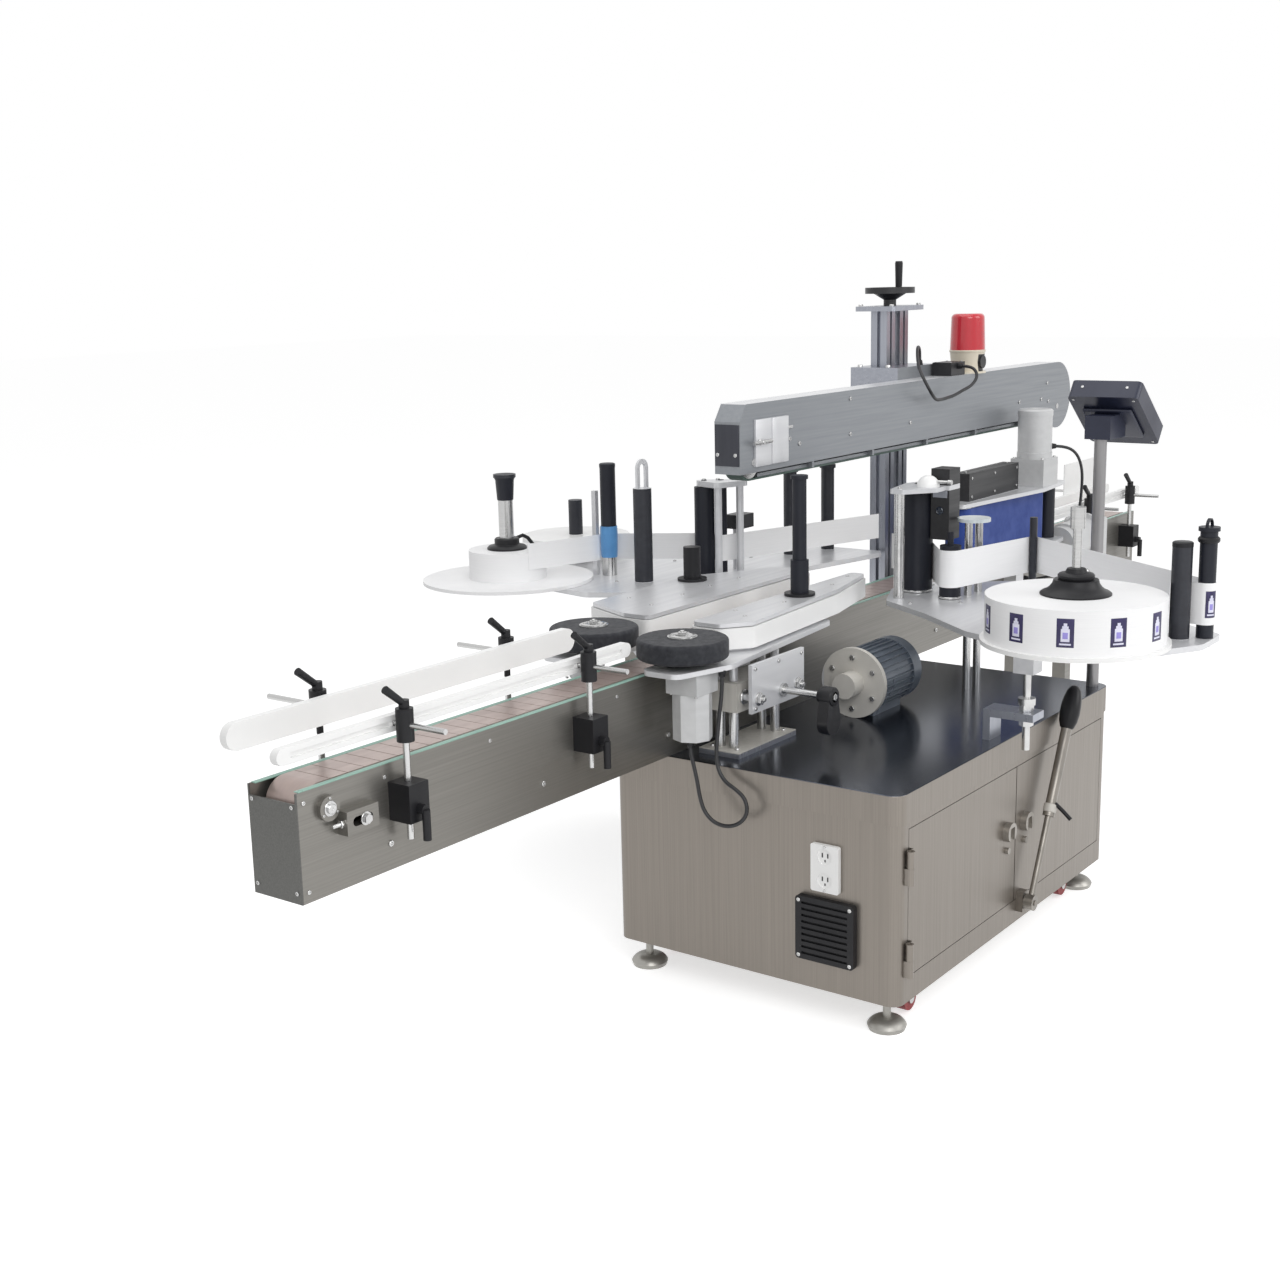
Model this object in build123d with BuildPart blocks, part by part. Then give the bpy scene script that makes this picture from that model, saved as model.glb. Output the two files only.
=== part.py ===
"""Bottle labelling machine: conveyor, spacing wheels, guide chains, hold-down beam, wrap belt and two label heads.

Lengths are millimetres. +X is the way the bottles travel, -Y is the operator's side and +Z is up.
The origin is on the floor below the middle of the conveyor.
"""
from build123d import *
from math import asin, atan2, cos, degrees, pi, radians, sin, sqrt, tan
import os

os.makedirs("parts", exist_ok=True)

# Driving dimensions of the whole machine
conveyor_length = 3564
conveyor_width = 112
chain_top = 675
conveyor_depth = 185
infeed_overhang = 992
cabinet_length = 1036
cabinet_depth = 673
cabinet_far_reach = 91
skirt_height = 59
floor_gap = 67
lane_width = 84
head_reach = 940
near_deck_top = 712
far_deck_top = 735
beam_bottom = 1036
beam_length = 1760
column_place = 447
column_setback = 112
column_top = 1345

# Clearances and stock thicknesses that many pieces share
fit = 0.05
seat = 0.3
play = 1.0
sheet = 3
overrun = 5
deck_sheet = 12

# Places worked out from the driving dimensions
infeed_x = -conveyor_length / 2
exit_x = conveyor_length / 2
wall_y = conveyor_width / 2
table_top = chain_top - conveyor_depth
cabinet_x0 = infeed_x + infeed_overhang
cabinet_x1 = cabinet_x0 + cabinet_length
cabinet_mid_x = (cabinet_x0 + cabinet_x1) / 2
cabinet_far_y = cabinet_far_reach
cabinet_near_y = cabinet_far_y - cabinet_depth
cabinet_mid_y = (cabinet_far_y + cabinet_near_y) / 2
skirt_bottom = table_top - skirt_height

STAND = (Align.CENTER, Align.CENTER, Align.MIN)
HANG = (Align.CENTER, Align.CENTER, Align.MAX)


def level(height):
    """The level plane at a height, facing up."""
    return Plane.XY.offset(height)


def facing_near(y):
    """The upright plane at y that faces the operator, with X to the right and Z up."""
    return Plane.XZ.offset(-y)


def facing_exit(x):
    """The upright plane at x that faces the exit, with Y to the right and Z up."""
    return Plane.YZ.offset(x)


def turned(x, y):
    """The upright plane through a standing axis, where a profile is drawn as radius and height."""
    return Plane(origin=(x, y, 0), x_dir=(1, 0, 0), z_dir=(0, -1, 0))


def standing_axis(x, y):
    """The upright axis through a place on the floor."""
    return Axis((x, y, 0), (0, 0, 1))


def block(x0, x1, y0, y1, z0, z1):
    """Draw a square-edged block between three pairs of limits."""
    with BuildSketch(level(z0)) as outline:
        with Locations(((x0 + x1) / 2, (y0 + y1) / 2)):
            Rectangle(x1 - x0, y1 - y0)
    extrude(outline.sketch, amount=z1 - z0)


def save(piece, name):
    """Label a finished piece and write it as its own file."""
    piece.part.label = name
    export_step(piece.part, f"parts/{name}.step")


# Cabinet: a folded box with a wide door opening towards the operator
corner_radius = 26
table_sheet = 8
door_margin = 42
door_bottom = 118
door_top = 418
door_gap = 1.5
door_seam_x = -262
hinge_pin_radius = 4
hinge_barrel_radius = 8
hinge_barrel_height = 34
hinge_inset = 40
hinge_stand = 9
lever_axle_radius = 6
lever_axle_z = 112
lever_plane_y = -606
lever_foot_x = -236
lever_lug_width = 26
lever_lug_height = 44

door_x0 = cabinet_x0 + door_margin
door_x1 = cabinet_x1 - door_margin
shell_length = cabinet_length - sheet * 2
shell_depth = cabinet_depth - sheet * 2
shell_near_y = cabinet_near_y + sheet
shell_top = table_top - table_sheet
hinge_y = shell_near_y - hinge_stand
hinge_places = (door_bottom + hinge_inset, door_top - hinge_inset - hinge_barrel_height)

with BuildPart() as cabinet_shell:
    with BuildSketch(level(floor_gap)):
        with Locations((cabinet_mid_x, cabinet_mid_y)):
            RectangleRounded(shell_length, shell_depth, corner_radius)
    extrude(amount=shell_top - floor_gap)
    with BuildSketch(level(floor_gap + sheet)):
        with Locations((cabinet_mid_x, cabinet_mid_y)):
            RectangleRounded(shell_length - sheet * 2, shell_depth - sheet * 2, corner_radius - sheet)
    extrude(amount=shell_top - floor_gap, mode=Mode.SUBTRACT)
    with BuildSketch(facing_near(shell_near_y + overrun)):
        with Locations(((door_x0 + door_x1) / 2, (door_bottom + door_top) / 2)):
            Rectangle(door_x1 - door_x0, door_top - door_bottom)
    extrude(amount=overrun * 2, mode=Mode.SUBTRACT)
    for hinge_z in hinge_places:
        with BuildSketch(level(hinge_z - hinge_barrel_height)):
            with Locations((door_x0 - hinge_barrel_radius, hinge_y)):
                Circle(hinge_barrel_radius)
            with Locations((door_x0 - hinge_barrel_radius, (hinge_y + shell_near_y) / 2)):
                Rectangle(hinge_barrel_radius * 2, shell_near_y - hinge_y)
        extrude(amount=hinge_barrel_height - seat)
        with BuildSketch(level(hinge_z - play)):
            with Locations((door_x0 - hinge_barrel_radius, hinge_y)):
                Circle(hinge_pin_radius)
        extrude(amount=hinge_barrel_height)
    with BuildSketch(level(lever_axle_z - lever_lug_height / 2)):
        with Locations((lever_foot_x, (shell_near_y + lever_plane_y) / 2 + lever_axle_radius)):
            Rectangle(lever_lug_width, shell_near_y - lever_plane_y - lever_axle_radius * 2)
    extrude(amount=lever_lug_height)
    with BuildSketch(facing_near(shell_near_y)):
        with Locations((lever_foot_x, lever_axle_z)):
            Circle(lever_axle_radius)
    extrude(amount=shell_near_y - lever_plane_y + lever_axle_radius * 2)
save(cabinet_shell, "cabinet_shell")

# Doors: flat pans that fill the opening, one hinged and one lifted off on a quarter-turn catch
door_return = 16
door_sheet = 2
pull_radius = 21
pull_depth = 14
pull_inset = 44
pull_height = 286
catch_radius = 7


def door_pan(x0, x1):
    """Draw one door pan between two upright edges, folded back all round."""
    with BuildSketch(facing_near(shell_near_y + door_return)) as outline:
        with Locations(((x0 + x1) / 2, (door_bottom + door_top) / 2)):
            Rectangle(x1 - x0 - door_gap * 2, door_top - door_bottom - door_gap * 2)
    extrude(outline.sketch, amount=door_return)
    with BuildSketch(facing_near(shell_near_y + door_return + overrun)) as outline:
        with Locations(((x0 + x1) / 2, (door_bottom + door_top) / 2)):
            Rectangle(
                x1 - x0 - door_gap * 2 - door_sheet * 2,
                door_top - door_bottom - door_gap * 2 - door_sheet * 2,
            )
    extrude(outline.sketch, amount=door_return - door_sheet + overrun, mode=Mode.SUBTRACT)


def cup_pull(x):
    """Draw a round cup handle with its finger hollow and the catch below it."""
    with BuildSketch(facing_near(shell_near_y)) as outline:
        with Locations((x, pull_height)):
            Circle(pull_radius)
    extrude(outline.sketch, amount=pull_depth)
    with BuildSketch(facing_near(shell_near_y - pull_depth + pull_depth / 2)) as outline:
        with Locations((x, pull_height - pull_radius / 2)):
            Rectangle(pull_radius, pull_radius * 2)
    extrude(outline.sketch, amount=pull_depth, mode=Mode.SUBTRACT)
    with BuildSketch(facing_near(shell_near_y)) as outline:
        with Locations((x, pull_height - pull_radius * 2)):
            Circle(catch_radius)
    extrude(outline.sketch, amount=pull_depth / 2)


with BuildPart() as infeed_door:
    door_pan(door_x0, door_seam_x)
    cup_pull(door_seam_x - pull_inset)
    for hinge_z in hinge_places:
        with BuildSketch(level(hinge_z)):
            with Locations((door_x0 - hinge_barrel_radius, hinge_y)):
                Circle(hinge_barrel_radius)
            with Locations((door_x0, shell_near_y - (hinge_stand + door_sheet) / 2)):
                Rectangle(hinge_barrel_radius * 2, door_sheet)
        extrude(amount=hinge_barrel_height)
        with BuildSketch(level(hinge_z)):
            with Locations((door_x0 + hinge_barrel_radius, shell_near_y - (hinge_stand + door_sheet) / 4)):
                Rectangle(door_sheet, (hinge_stand + door_sheet) / 2)
        extrude(amount=hinge_barrel_height)
        with BuildSketch(level(hinge_z - overrun)):
            with Locations((door_x0 - hinge_barrel_radius, hinge_y)):
                Circle(hinge_pin_radius + fit)
        extrude(amount=hinge_barrel_height + overrun * 2, mode=Mode.SUBTRACT)
save(infeed_door, "infeed_door")

with BuildPart() as exit_panel:
    door_pan(door_seam_x, door_x1)
    cup_pull(door_seam_x + pull_inset)
save(exit_panel, "exit_panel")

# Table: a thick plate with a folded skirt that caps the cabinet
with BuildPart() as table_plate:
    with BuildSketch(level(skirt_bottom)):
        with Locations((cabinet_mid_x, cabinet_mid_y)):
            RectangleRounded(cabinet_length, cabinet_depth, corner_radius + sheet)
    extrude(amount=skirt_height)
    with BuildSketch(level(skirt_bottom - overrun)):
        with Locations((cabinet_mid_x, cabinet_mid_y)):
            RectangleRounded(shell_length, shell_depth, corner_radius)
    extrude(amount=skirt_height - table_sheet + overrun, mode=Mode.SUBTRACT)
    table_rim = table_plate.faces().sort_by(Axis.Z)[-1].edges()
    fillet(table_rim, radius=table_sheet / 4)
save(table_plate, "table_plate")

# Inlet fittings: a wall socket plate and a square fan guard on the infeed face
socket_width = 62
socket_height = 96
socket_thickness = 9
socket_y = -424
socket_z = 322
fan_side = 130
fan_thickness = 14
fan_y = -426
fan_z = 194
fan_slot_height = 5
fan_slot_count = 9
shell_infeed_x = cabinet_x0 + sheet

with BuildPart() as inlet_fittings:
    with BuildSketch(facing_exit(shell_infeed_x)):
        with Locations((socket_y, socket_z)):
            RectangleRounded(socket_width, socket_height, socket_thickness / 2)
    extrude(amount=-socket_thickness)
    with BuildSketch(facing_exit(shell_infeed_x - socket_thickness)):
        with Locations((socket_y, socket_z)):
            with GridLocations(0, socket_height / 2, 1, 2):
                Circle(socket_width / 4)
    extrude(amount=socket_thickness / 3, mode=Mode.SUBTRACT)
    with BuildSketch(facing_exit(shell_infeed_x)):
        with Locations((fan_y, fan_z)):
            RectangleRounded(fan_side, fan_side, fan_thickness / 2)
    extrude(amount=-fan_thickness)
    with BuildSketch(facing_exit(shell_infeed_x - fan_thickness)):
        with Locations((fan_y, fan_z)):
            with GridLocations(0, fan_side / (fan_slot_count + 1), 1, fan_slot_count):
                Rectangle(fan_side - fan_thickness * 2, fan_slot_height)
    extrude(amount=fan_thickness / 3, mode=Mode.SUBTRACT)
save(inlet_fittings, "inlet_fittings")

# Levelling feet: domed pads on threaded stems with lock nuts
foot_inset_x = 50
foot_inset_y = 50
foot_radius = 39
foot_rim = 9
foot_crown = 24
foot_stem_radius = 8
foot_nut_radius = 15
foot_nut_height = 12
foot_places = [
    (x, y)
    for x in (cabinet_x0 + foot_inset_x, cabinet_x1 - foot_inset_x)
    for y in (cabinet_near_y + foot_inset_y, cabinet_far_y - foot_inset_y)
]

with BuildPart() as levelling_feet:
    for foot_x, foot_y in foot_places:
        with BuildSketch(turned(foot_x, foot_y)):
            with BuildLine():
                Polyline(
                    (0, floor_gap),
                    (foot_stem_radius, floor_gap),
                    (foot_stem_radius, foot_crown),
                    (foot_nut_radius, foot_crown),
                )
                ThreePointArc(
                    (foot_nut_radius, foot_crown),
                    ((foot_radius + foot_nut_radius) / 2 + foot_rim / 3, (foot_crown + foot_rim) / 2 + foot_rim / 3),
                    (foot_radius, foot_rim),
                )
                Polyline((foot_radius, foot_rim), (foot_radius - foot_rim / 3, 0), (0, 0), (0, floor_gap))
            make_face()
        revolve(axis=standing_axis(foot_x, foot_y))
        with BuildSketch(level(floor_gap - foot_nut_height)):
            with Locations((foot_x, foot_y)):
                RegularPolygon(foot_nut_radius, 6)
        extrude(amount=foot_nut_height)
save(levelling_feet, "levelling_feet")

# Casters: fixed forks under the cabinet, with two wheels turning on one line at each end
caster_wheel_radius = 25
caster_wheel_width = 22
caster_axle_z = 30
caster_axle_radius = 5
caster_plate_length = 84
caster_plate_width = 58
caster_plate_sheet = 4
caster_cheek = 3
caster_inset_x = 138
caster_inset_y = 56
caster_cheek_length = 34
caster_ys = (cabinet_near_y + caster_inset_y, cabinet_far_y - caster_inset_y)
caster_xs = (cabinet_x0 + caster_inset_x, cabinet_x1 - caster_inset_x)

with BuildPart() as caster_forks:
    for caster_x in caster_xs:
        for caster_y in caster_ys:
            with Locations((caster_x, caster_y, floor_gap)):
                Box(caster_plate_length, caster_plate_width, caster_plate_sheet, align=HANG)
            for side in (-1, 1):
                cheek_y = caster_y + side * (caster_wheel_width / 2 + play + caster_cheek / 2)
                with BuildSketch(facing_near(cheek_y + caster_cheek / 2)):
                    with BuildLine():
                        Polyline(
                            (caster_x - caster_axle_radius * 2, caster_axle_z),
                            (caster_x - caster_cheek_length, floor_gap - caster_plate_sheet),
                            (caster_x + caster_cheek_length, floor_gap - caster_plate_sheet),
                            (caster_x + caster_axle_radius * 2, caster_axle_z),
                        )
                        ThreePointArc(
                            (caster_x + caster_axle_radius * 2, caster_axle_z),
                            (caster_x, caster_axle_z - caster_axle_radius * 2),
                            (caster_x - caster_axle_radius * 2, caster_axle_z),
                        )
                    make_face()
                extrude(amount=caster_cheek)
            with BuildSketch(facing_near(caster_y + caster_wheel_width / 2 + play + caster_cheek)):
                with Locations((caster_x, caster_axle_z)):
                    Circle(caster_axle_radius)
            extrude(amount=caster_wheel_width + play * 2 + caster_cheek * 2)
save(caster_forks, "caster_forks")

for caster_x, caster_name in zip(caster_xs, ("infeed_caster_wheels", "exit_caster_wheels")):
    with BuildPart() as caster_wheels:
        for caster_y in caster_ys:
            with BuildSketch(facing_near(caster_y + caster_wheel_width / 2)):
                with Locations((caster_x, caster_axle_z)):
                    Circle(caster_wheel_radius)
                    Circle(caster_axle_radius + fit, mode=Mode.SUBTRACT)
            extrude(amount=caster_wheel_width)
    save(caster_wheels, caster_name)

# Conveyor frame: two deep side walls, a floor, tie bars, chain guides and end plates
wall_top_lip = 2
chain_width = 82.6
chain_thickness = 4
chain_bend_radius = 40
tie_radius = 6
tie_pitch = 396
end_inset = 62
idler_x = infeed_x + end_inset
drive_x = 1262
nose_x = exit_x - end_inset
chain_axis_z = chain_top - chain_bend_radius
shaft_radius = 10
guide_height = 10
guide_width = 14
boss_radius = 21
boss_length = 9
end_plate_drop = 20
tie_z = table_top + conveyor_depth / 4

tensioner_x0 = 22
tensioner_x1 = 92
tensioner_drop = 31
tensioner_height = 40
tensioner_proud = 22
tensioner_slot_length = 44
tensioner_slot_height = 16

with BuildPart() as conveyor_frame:
    for side in (-1, 1):
        with Locations((0, side * (wall_y - sheet / 2), table_top)):
            Box(conveyor_length, sheet, conveyor_depth - wall_top_lip, align=STAND)
    with Locations((0, 0, table_top)):
        Box(conveyor_length, conveyor_width - sheet * 2, sheet, align=STAND)
    for end_x in (infeed_x + sheet / 2, exit_x - sheet / 2):
        with Locations((end_x, 0, table_top)):
            Box(sheet, conveyor_width - sheet * 2, conveyor_depth - end_plate_drop, align=STAND)
    tie_span = conveyor_length - tie_pitch
    with BuildSketch(facing_near(wall_y)):
        with Locations((0, tie_z)):
            with GridLocations(tie_pitch, 0, int(tie_span // tie_pitch) + 1, 1):
                Circle(tie_radius)
    extrude(amount=conveyor_width)
    for side in (-1, 1):
        with Locations((0, side * (wall_y - sheet - guide_width / 2), chain_top - chain_thickness - seat)):
            Box(nose_x - idler_x, guide_width, guide_height, align=HANG)
    for shaft_x in (idler_x, drive_x):
        with BuildSketch(facing_near(wall_y + boss_length)):
            with Locations((shaft_x, chain_axis_z)):
                Circle(boss_radius)
        extrude(amount=boss_length)
    with BuildSketch(facing_near(-wall_y)):
        with Locations((idler_x, chain_axis_z)):
            Circle(boss_radius)
    extrude(amount=boss_length)
    for shaft_x in (idler_x, drive_x):
        with BuildSketch(facing_near(wall_y + boss_length + overrun)):
            with Locations((shaft_x, chain_axis_z)):
                Circle(shaft_radius + fit)
        extrude(amount=conveyor_width + boss_length * 2 + overrun * 2, mode=Mode.SUBTRACT)
    block(
        idler_x + tensioner_x0,
        idler_x + tensioner_x1,
        -wall_y - tensioner_proud,
        -wall_y,
        chain_axis_z - tensioner_drop - tensioner_height / 2,
        chain_axis_z - tensioner_drop + tensioner_height / 2,
    )
    with BuildSketch(facing_near(-wall_y + overrun)):
        with Locations((idler_x + (tensioner_x0 + tensioner_x1) / 2, chain_axis_z - tensioner_drop)):
            SlotOverall(tensioner_slot_length, tensioner_slot_height)
    extrude(amount=tensioner_proud + overrun * 2, mode=Mode.SUBTRACT)
    nose_radius = chain_bend_radius - chain_thickness - seat
    with BuildSketch(facing_near(wall_y - sheet)):
        with Locations((nose_x, chain_axis_z)):
            Circle(nose_radius)
    extrude(amount=conveyor_width - sheet * 2)
save(conveyor_frame, "conveyor_frame")

# Slat chain: one closed loop with its joints cut across the top run
slat_pitch = 38.1
slat_joint = 1.6
slat_joint_depth = 1.5
slat_count = int((nose_x - idler_x) // slat_pitch)

with BuildPart() as slat_chain:
    with BuildSketch(facing_near(chain_width / 2)):
        with Locations(((idler_x + nose_x) / 2, chain_axis_z)):
            SlotCenterToCenter(nose_x - idler_x, chain_bend_radius * 2)
            SlotCenterToCenter(nose_x - idler_x, (chain_bend_radius - chain_thickness) * 2, mode=Mode.SUBTRACT)
    extrude(amount=chain_width)
    with BuildSketch(facing_near(chain_width / 2 + overrun)):
        with Locations(((idler_x + nose_x) / 2, chain_top)):
            with GridLocations(slat_pitch, 0, slat_count, 1):
                Rectangle(slat_joint, slat_joint_depth * 2)
    extrude(amount=chain_width + overrun * 2, mode=Mode.SUBTRACT)
save(slat_chain, "slat_chain")

# Conveyor shafts: a toothed wheel on a shaft in the frame's bosses
sprocket_width = 40
sprocket_teeth = 12
tooth_gap_radius = 5
sprocket_radius = chain_bend_radius - chain_thickness - seat
shaft_reach = 40

for shaft_x, shaft_name in ((drive_x, "conveyor_drive_shaft"), (idler_x, "conveyor_idler_shaft")):
    near_reach = shaft_reach if shaft_x == drive_x else boss_length
    with BuildPart() as chain_shaft:
        with BuildSketch(facing_near(sprocket_width / 2)):
            with Locations((shaft_x, chain_axis_z)):
                Circle(sprocket_radius)
                with PolarLocations(sprocket_radius, sprocket_teeth):
                    Circle(tooth_gap_radius, mode=Mode.SUBTRACT)
        extrude(amount=sprocket_width)
        with BuildSketch(facing_near(wall_y + boss_length)):
            with Locations((shaft_x, chain_axis_z)):
                Circle(shaft_radius)
        extrude(amount=conveyor_width + boss_length + near_reach)
    save(chain_shaft, shaft_name)

# Gear motors: one worm drive on the conveyor and one lying on the table for the guide chains
worm_box_length = 92
worm_box_depth = 96
worm_box_height = 132
worm_offset = 45
worm_motor_y = -120
motor_radius = 50
motor_length = 178
motor_flange_radius = 62
motor_flange_length = 12
fan_cover_length = 34
table_motor_x = -330
table_motor_y = -222
table_motor_radius = 66
table_motor_length = 190
table_motor_z = table_top + 78
output_radius = 28
output_length = 40
worm_box_near_y = -wall_y - worm_box_depth


def motor_body(x, y, z, radius, length, direction):
    """Draw a flanged motor lying along X, with its fan cover at the far end."""
    start = x
    for step, size in (
        (motor_flange_length, radius + motor_flange_length),
        (length - fan_cover_length, radius),
        (fan_cover_length, radius - motor_flange_length / 2),
    ):
        with BuildSketch(facing_exit(start)) as outline:
            with Locations((y, z)):
                Circle(size)
        extrude(outline.sketch, amount=direction * step)
        start = start + direction * step


with BuildPart() as gear_motors:
    with Locations((drive_x, worm_box_near_y + worm_box_depth / 2, chain_axis_z - worm_box_height / 3)):
        Box(worm_box_length, worm_box_depth, worm_box_height, align=STAND)
    box_edges = gear_motors.edges().filter_by(Axis.Y)
    fillet(box_edges, radius=worm_box_length / 6)
    with BuildSketch(facing_near(-wall_y + overrun)):
        with Locations((drive_x, chain_axis_z)):
            Circle(shaft_radius + fit)
    extrude(amount=worm_box_depth + overrun * 2, mode=Mode.SUBTRACT)
    motor_body(
        drive_x - worm_box_length / 2,
        worm_motor_y,
        chain_axis_z + worm_offset,
        motor_radius,
        motor_length,
        -1,
    )
    motor_body(table_motor_x, table_motor_y, table_motor_z, table_motor_radius, table_motor_length, 1)
    with BuildSketch(facing_exit(table_motor_x)):
        with Locations((table_motor_y, table_motor_z)):
            Circle(output_radius)
    extrude(amount=-output_length)
    with Locations((table_motor_x + table_motor_length / 2, table_motor_y, table_top)):
        Box(table_motor_length * 2 / 3, table_motor_radius, table_motor_z - table_top, align=STAND)
save(gear_motors, "gear_motors")

# Leg stand: two square legs under the exit overhang with a cross bar and small pads
leg_x = 1180
leg_side = 40
leg_rise = 60
leg_bar_z = 170
leg_pad_radius = 28
leg_pad_height = 14
leg_stem_radius = 6
leg_stem_height = 34
leg_y = wall_y + leg_side / 2
far_leg_x = 30
far_leg_y = 640
deck_leg_top = far_deck_top - deck_sheet
leg_places = (
    (leg_x, -leg_y, table_top + leg_rise),
    (leg_x, leg_y, table_top + leg_rise),
    (far_leg_x, far_leg_y, deck_leg_top),
)

with BuildPart() as leg_stand:
    for leg_at_x, leg_at_y, leg_top in leg_places:
        with Locations((leg_at_x, leg_at_y, leg_stem_height)):
            Box(leg_side, leg_side, leg_top - leg_stem_height, align=STAND)
        with BuildSketch(turned(leg_at_x, leg_at_y)):
            with BuildLine():
                Polyline(
                    (0, 0),
                    (leg_pad_radius, 0),
                    (leg_pad_radius, leg_pad_height / 2),
                    (leg_stem_radius * 2, leg_pad_height),
                    (leg_stem_radius, leg_pad_height),
                    (leg_stem_radius, leg_stem_height),
                    (0, leg_stem_height),
                    close=True,
                )
            make_face()
        revolve(axis=standing_axis(leg_at_x, leg_at_y))
    with Locations((leg_x, 0, leg_bar_z)):
        Box(leg_side, conveyor_width, leg_side, align=STAND)
save(leg_stand, "leg_stand")

# Guide rails: white bars beside the lane, each carried on rods that slide in the post clamps
rail_y = lane_width / 2
near_rail_z = 738
far_rail_z = 757
near_rail_height = 28
far_rail_height = 46
rail_thickness = 16
rail_rod_radius = 5
near_rod_reach = 118
far_rod_reach = 150
near_infeed_posts = (infeed_x + 222, infeed_x + 709)
far_infeed_posts = (infeed_x + 182, infeed_x + 661)
exit_posts = (exit_x - 436, exit_x - 104)
near_rail_start = infeed_x - 34
near_rail_stop = infeed_x + 870
far_rail_start = infeed_x - 46
far_rail_stop = infeed_x + 820
exit_rail_start = exit_x - 772
exit_rail_stop = exit_x + 36
post_y = wall_y + 24
rail_travel = 16


def rail_bar(start, stop, side, z, height):
    """Draw one rail with rounded ends and a groove along its back."""
    with BuildSketch(facing_near(side * (rail_y + rail_thickness / 2) + rail_thickness / 2)) as outline:
        with Locations(((start + stop) / 2, z)):
            SlotOverall(stop - start, height)
    extrude(outline.sketch, amount=rail_thickness)
    groove = rail_thickness / 3
    with BuildSketch(facing_near(side * (rail_y + rail_thickness) + groove)) as outline:
        with Locations(((start + stop) / 2, z)):
            Rectangle(stop - start - height * 2, height / 3)
    extrude(outline.sketch, amount=groove * 2, mode=Mode.SUBTRACT)


def rail_rods(places, side, z, reach):
    """Draw the rods that carry a rail, from the groove in its back out past the post clamps."""
    root = rail_y + rail_thickness * 2 / 3
    with BuildSketch(facing_near(side * root if side < 0 else side * (root + reach))) as outline:
        with Locations(*[(x, z) for x in places]):
            Circle(rail_rod_radius)
    extrude(outline.sketch, amount=reach)
    with BuildSketch(facing_near(side * root if side < 0 else side * (root + rail_thickness / 2))) as outline:
        with Locations(*[(x, z) for x in places]):
            Rectangle(rail_thickness, rail_thickness / 2)
    extrude(outline.sketch, amount=rail_thickness / 2)


with BuildPart() as infeed_near_rail:
    rail_bar(near_rail_start, near_rail_stop, -1, near_rail_z, near_rail_height)
    rail_rods(near_infeed_posts, -1, near_rail_z, near_rod_reach)
save(infeed_near_rail, "infeed_near_rail")

with BuildPart() as infeed_far_rail:
    rail_bar(far_rail_start, far_rail_stop, 1, far_rail_z, far_rail_height)
    rail_rods(far_infeed_posts, 1, far_rail_z, far_rod_reach)
save(infeed_far_rail, "infeed_far_rail")

exit_panel_start = exit_x - 296
exit_panel_stop = exit_x - 23
exit_panel_top = 845

with BuildPart() as exit_guide_rails:
    rail_bar(exit_rail_start, exit_rail_stop, -1, near_rail_z, near_rail_height)
    rail_rods(exit_posts, -1, near_rail_z, near_rod_reach)
    rail_bar(exit_rail_start, exit_rail_stop, 1, near_rail_z, near_rail_height)
    rail_rods(exit_posts, 1, near_rail_z, near_rod_reach)
    with Locations(((exit_panel_start + exit_panel_stop) / 2, rail_y + rail_thickness, near_rail_z)):
        Box(
            exit_panel_stop - exit_panel_start,
            sheet,
            exit_panel_top - near_rail_z,
            align=(Align.CENTER, Align.MIN, Align.MIN),
        )
save(exit_guide_rails, "exit_guide_rails")

# Rail brackets: clamp blocks on the walls, upright rods, cross clamps and their levers
block_length = 46
block_depth = 48
block_height = 66
block_z = 576
post_rod_radius = 6
cross_radius = 15
cross_height = 56
lever_hub_radius = 9
lever_hub_height = 14
lever_length = 52
lever_tip_radius = 7
lever_lean = 38
post_tail = 34


def clamp_lever(x, y, z, side):
    """Draw an adjustable clamp lever standing on a hub, its arm rising away from the lane."""
    with BuildSketch(level(z)) as outline:
        with Locations((x, y)):
            Circle(lever_hub_radius)
    extrude(outline.sketch, amount=lever_hub_height)
    arm = Plane(
        origin=(x, y, z + lever_hub_height / 2),
        x_dir=(0, 0, 1),
        z_dir=(-cos(radians(lever_lean)), 0, sin(radians(lever_lean))),
    )
    with BuildSketch(arm) as root:
        Circle(lever_hub_radius * 2 / 3)
    with BuildSketch(arm.offset(lever_length)) as tip:
        Circle(lever_tip_radius)
    loft((root.sketch, tip.sketch))


def rail_post(x, side, rod_z):
    """Draw one rail post: clamp block, upright rod, cross clamp with its bore, and two levers."""
    y = side * post_y
    with Locations((x, side * (wall_y + block_depth / 2), block_z)):
        Box(block_length, block_depth, block_height, align=STAND)
    with BuildSketch(level(block_z - post_tail)) as outline:
        with Locations((x, y)):
            Circle(post_rod_radius)
    extrude(outline.sketch, amount=rod_z - cross_height / 2 - block_z + post_tail)
    with BuildSketch(level(rod_z - cross_height / 2)) as outline:
        with Locations((x, y)):
            Circle(cross_radius)
    extrude(outline.sketch, amount=cross_height)
    clamp_lever(x, y, rod_z + cross_height / 2, side)
    with BuildSketch(facing_near(side * (wall_y + block_depth) + (lever_hub_height if side > 0 else 0))) as outline:
        with Locations((x, block_z + block_height / 3)):
            Circle(lever_hub_radius)
    extrude(outline.sketch, amount=lever_hub_height)
    with Locations((x, side * (wall_y + block_depth + lever_hub_height), block_z + block_height / 3)):
        Cylinder(lever_tip_radius, lever_length, align=HANG)
    with BuildSketch(facing_near(y + cross_radius + overrun)) as outline:
        with Locations((x, rod_z)):
            Circle(rail_rod_radius + fit)
    extrude(outline.sketch, amount=cross_radius * 2 + overrun * 2, mode=Mode.SUBTRACT)


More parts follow.
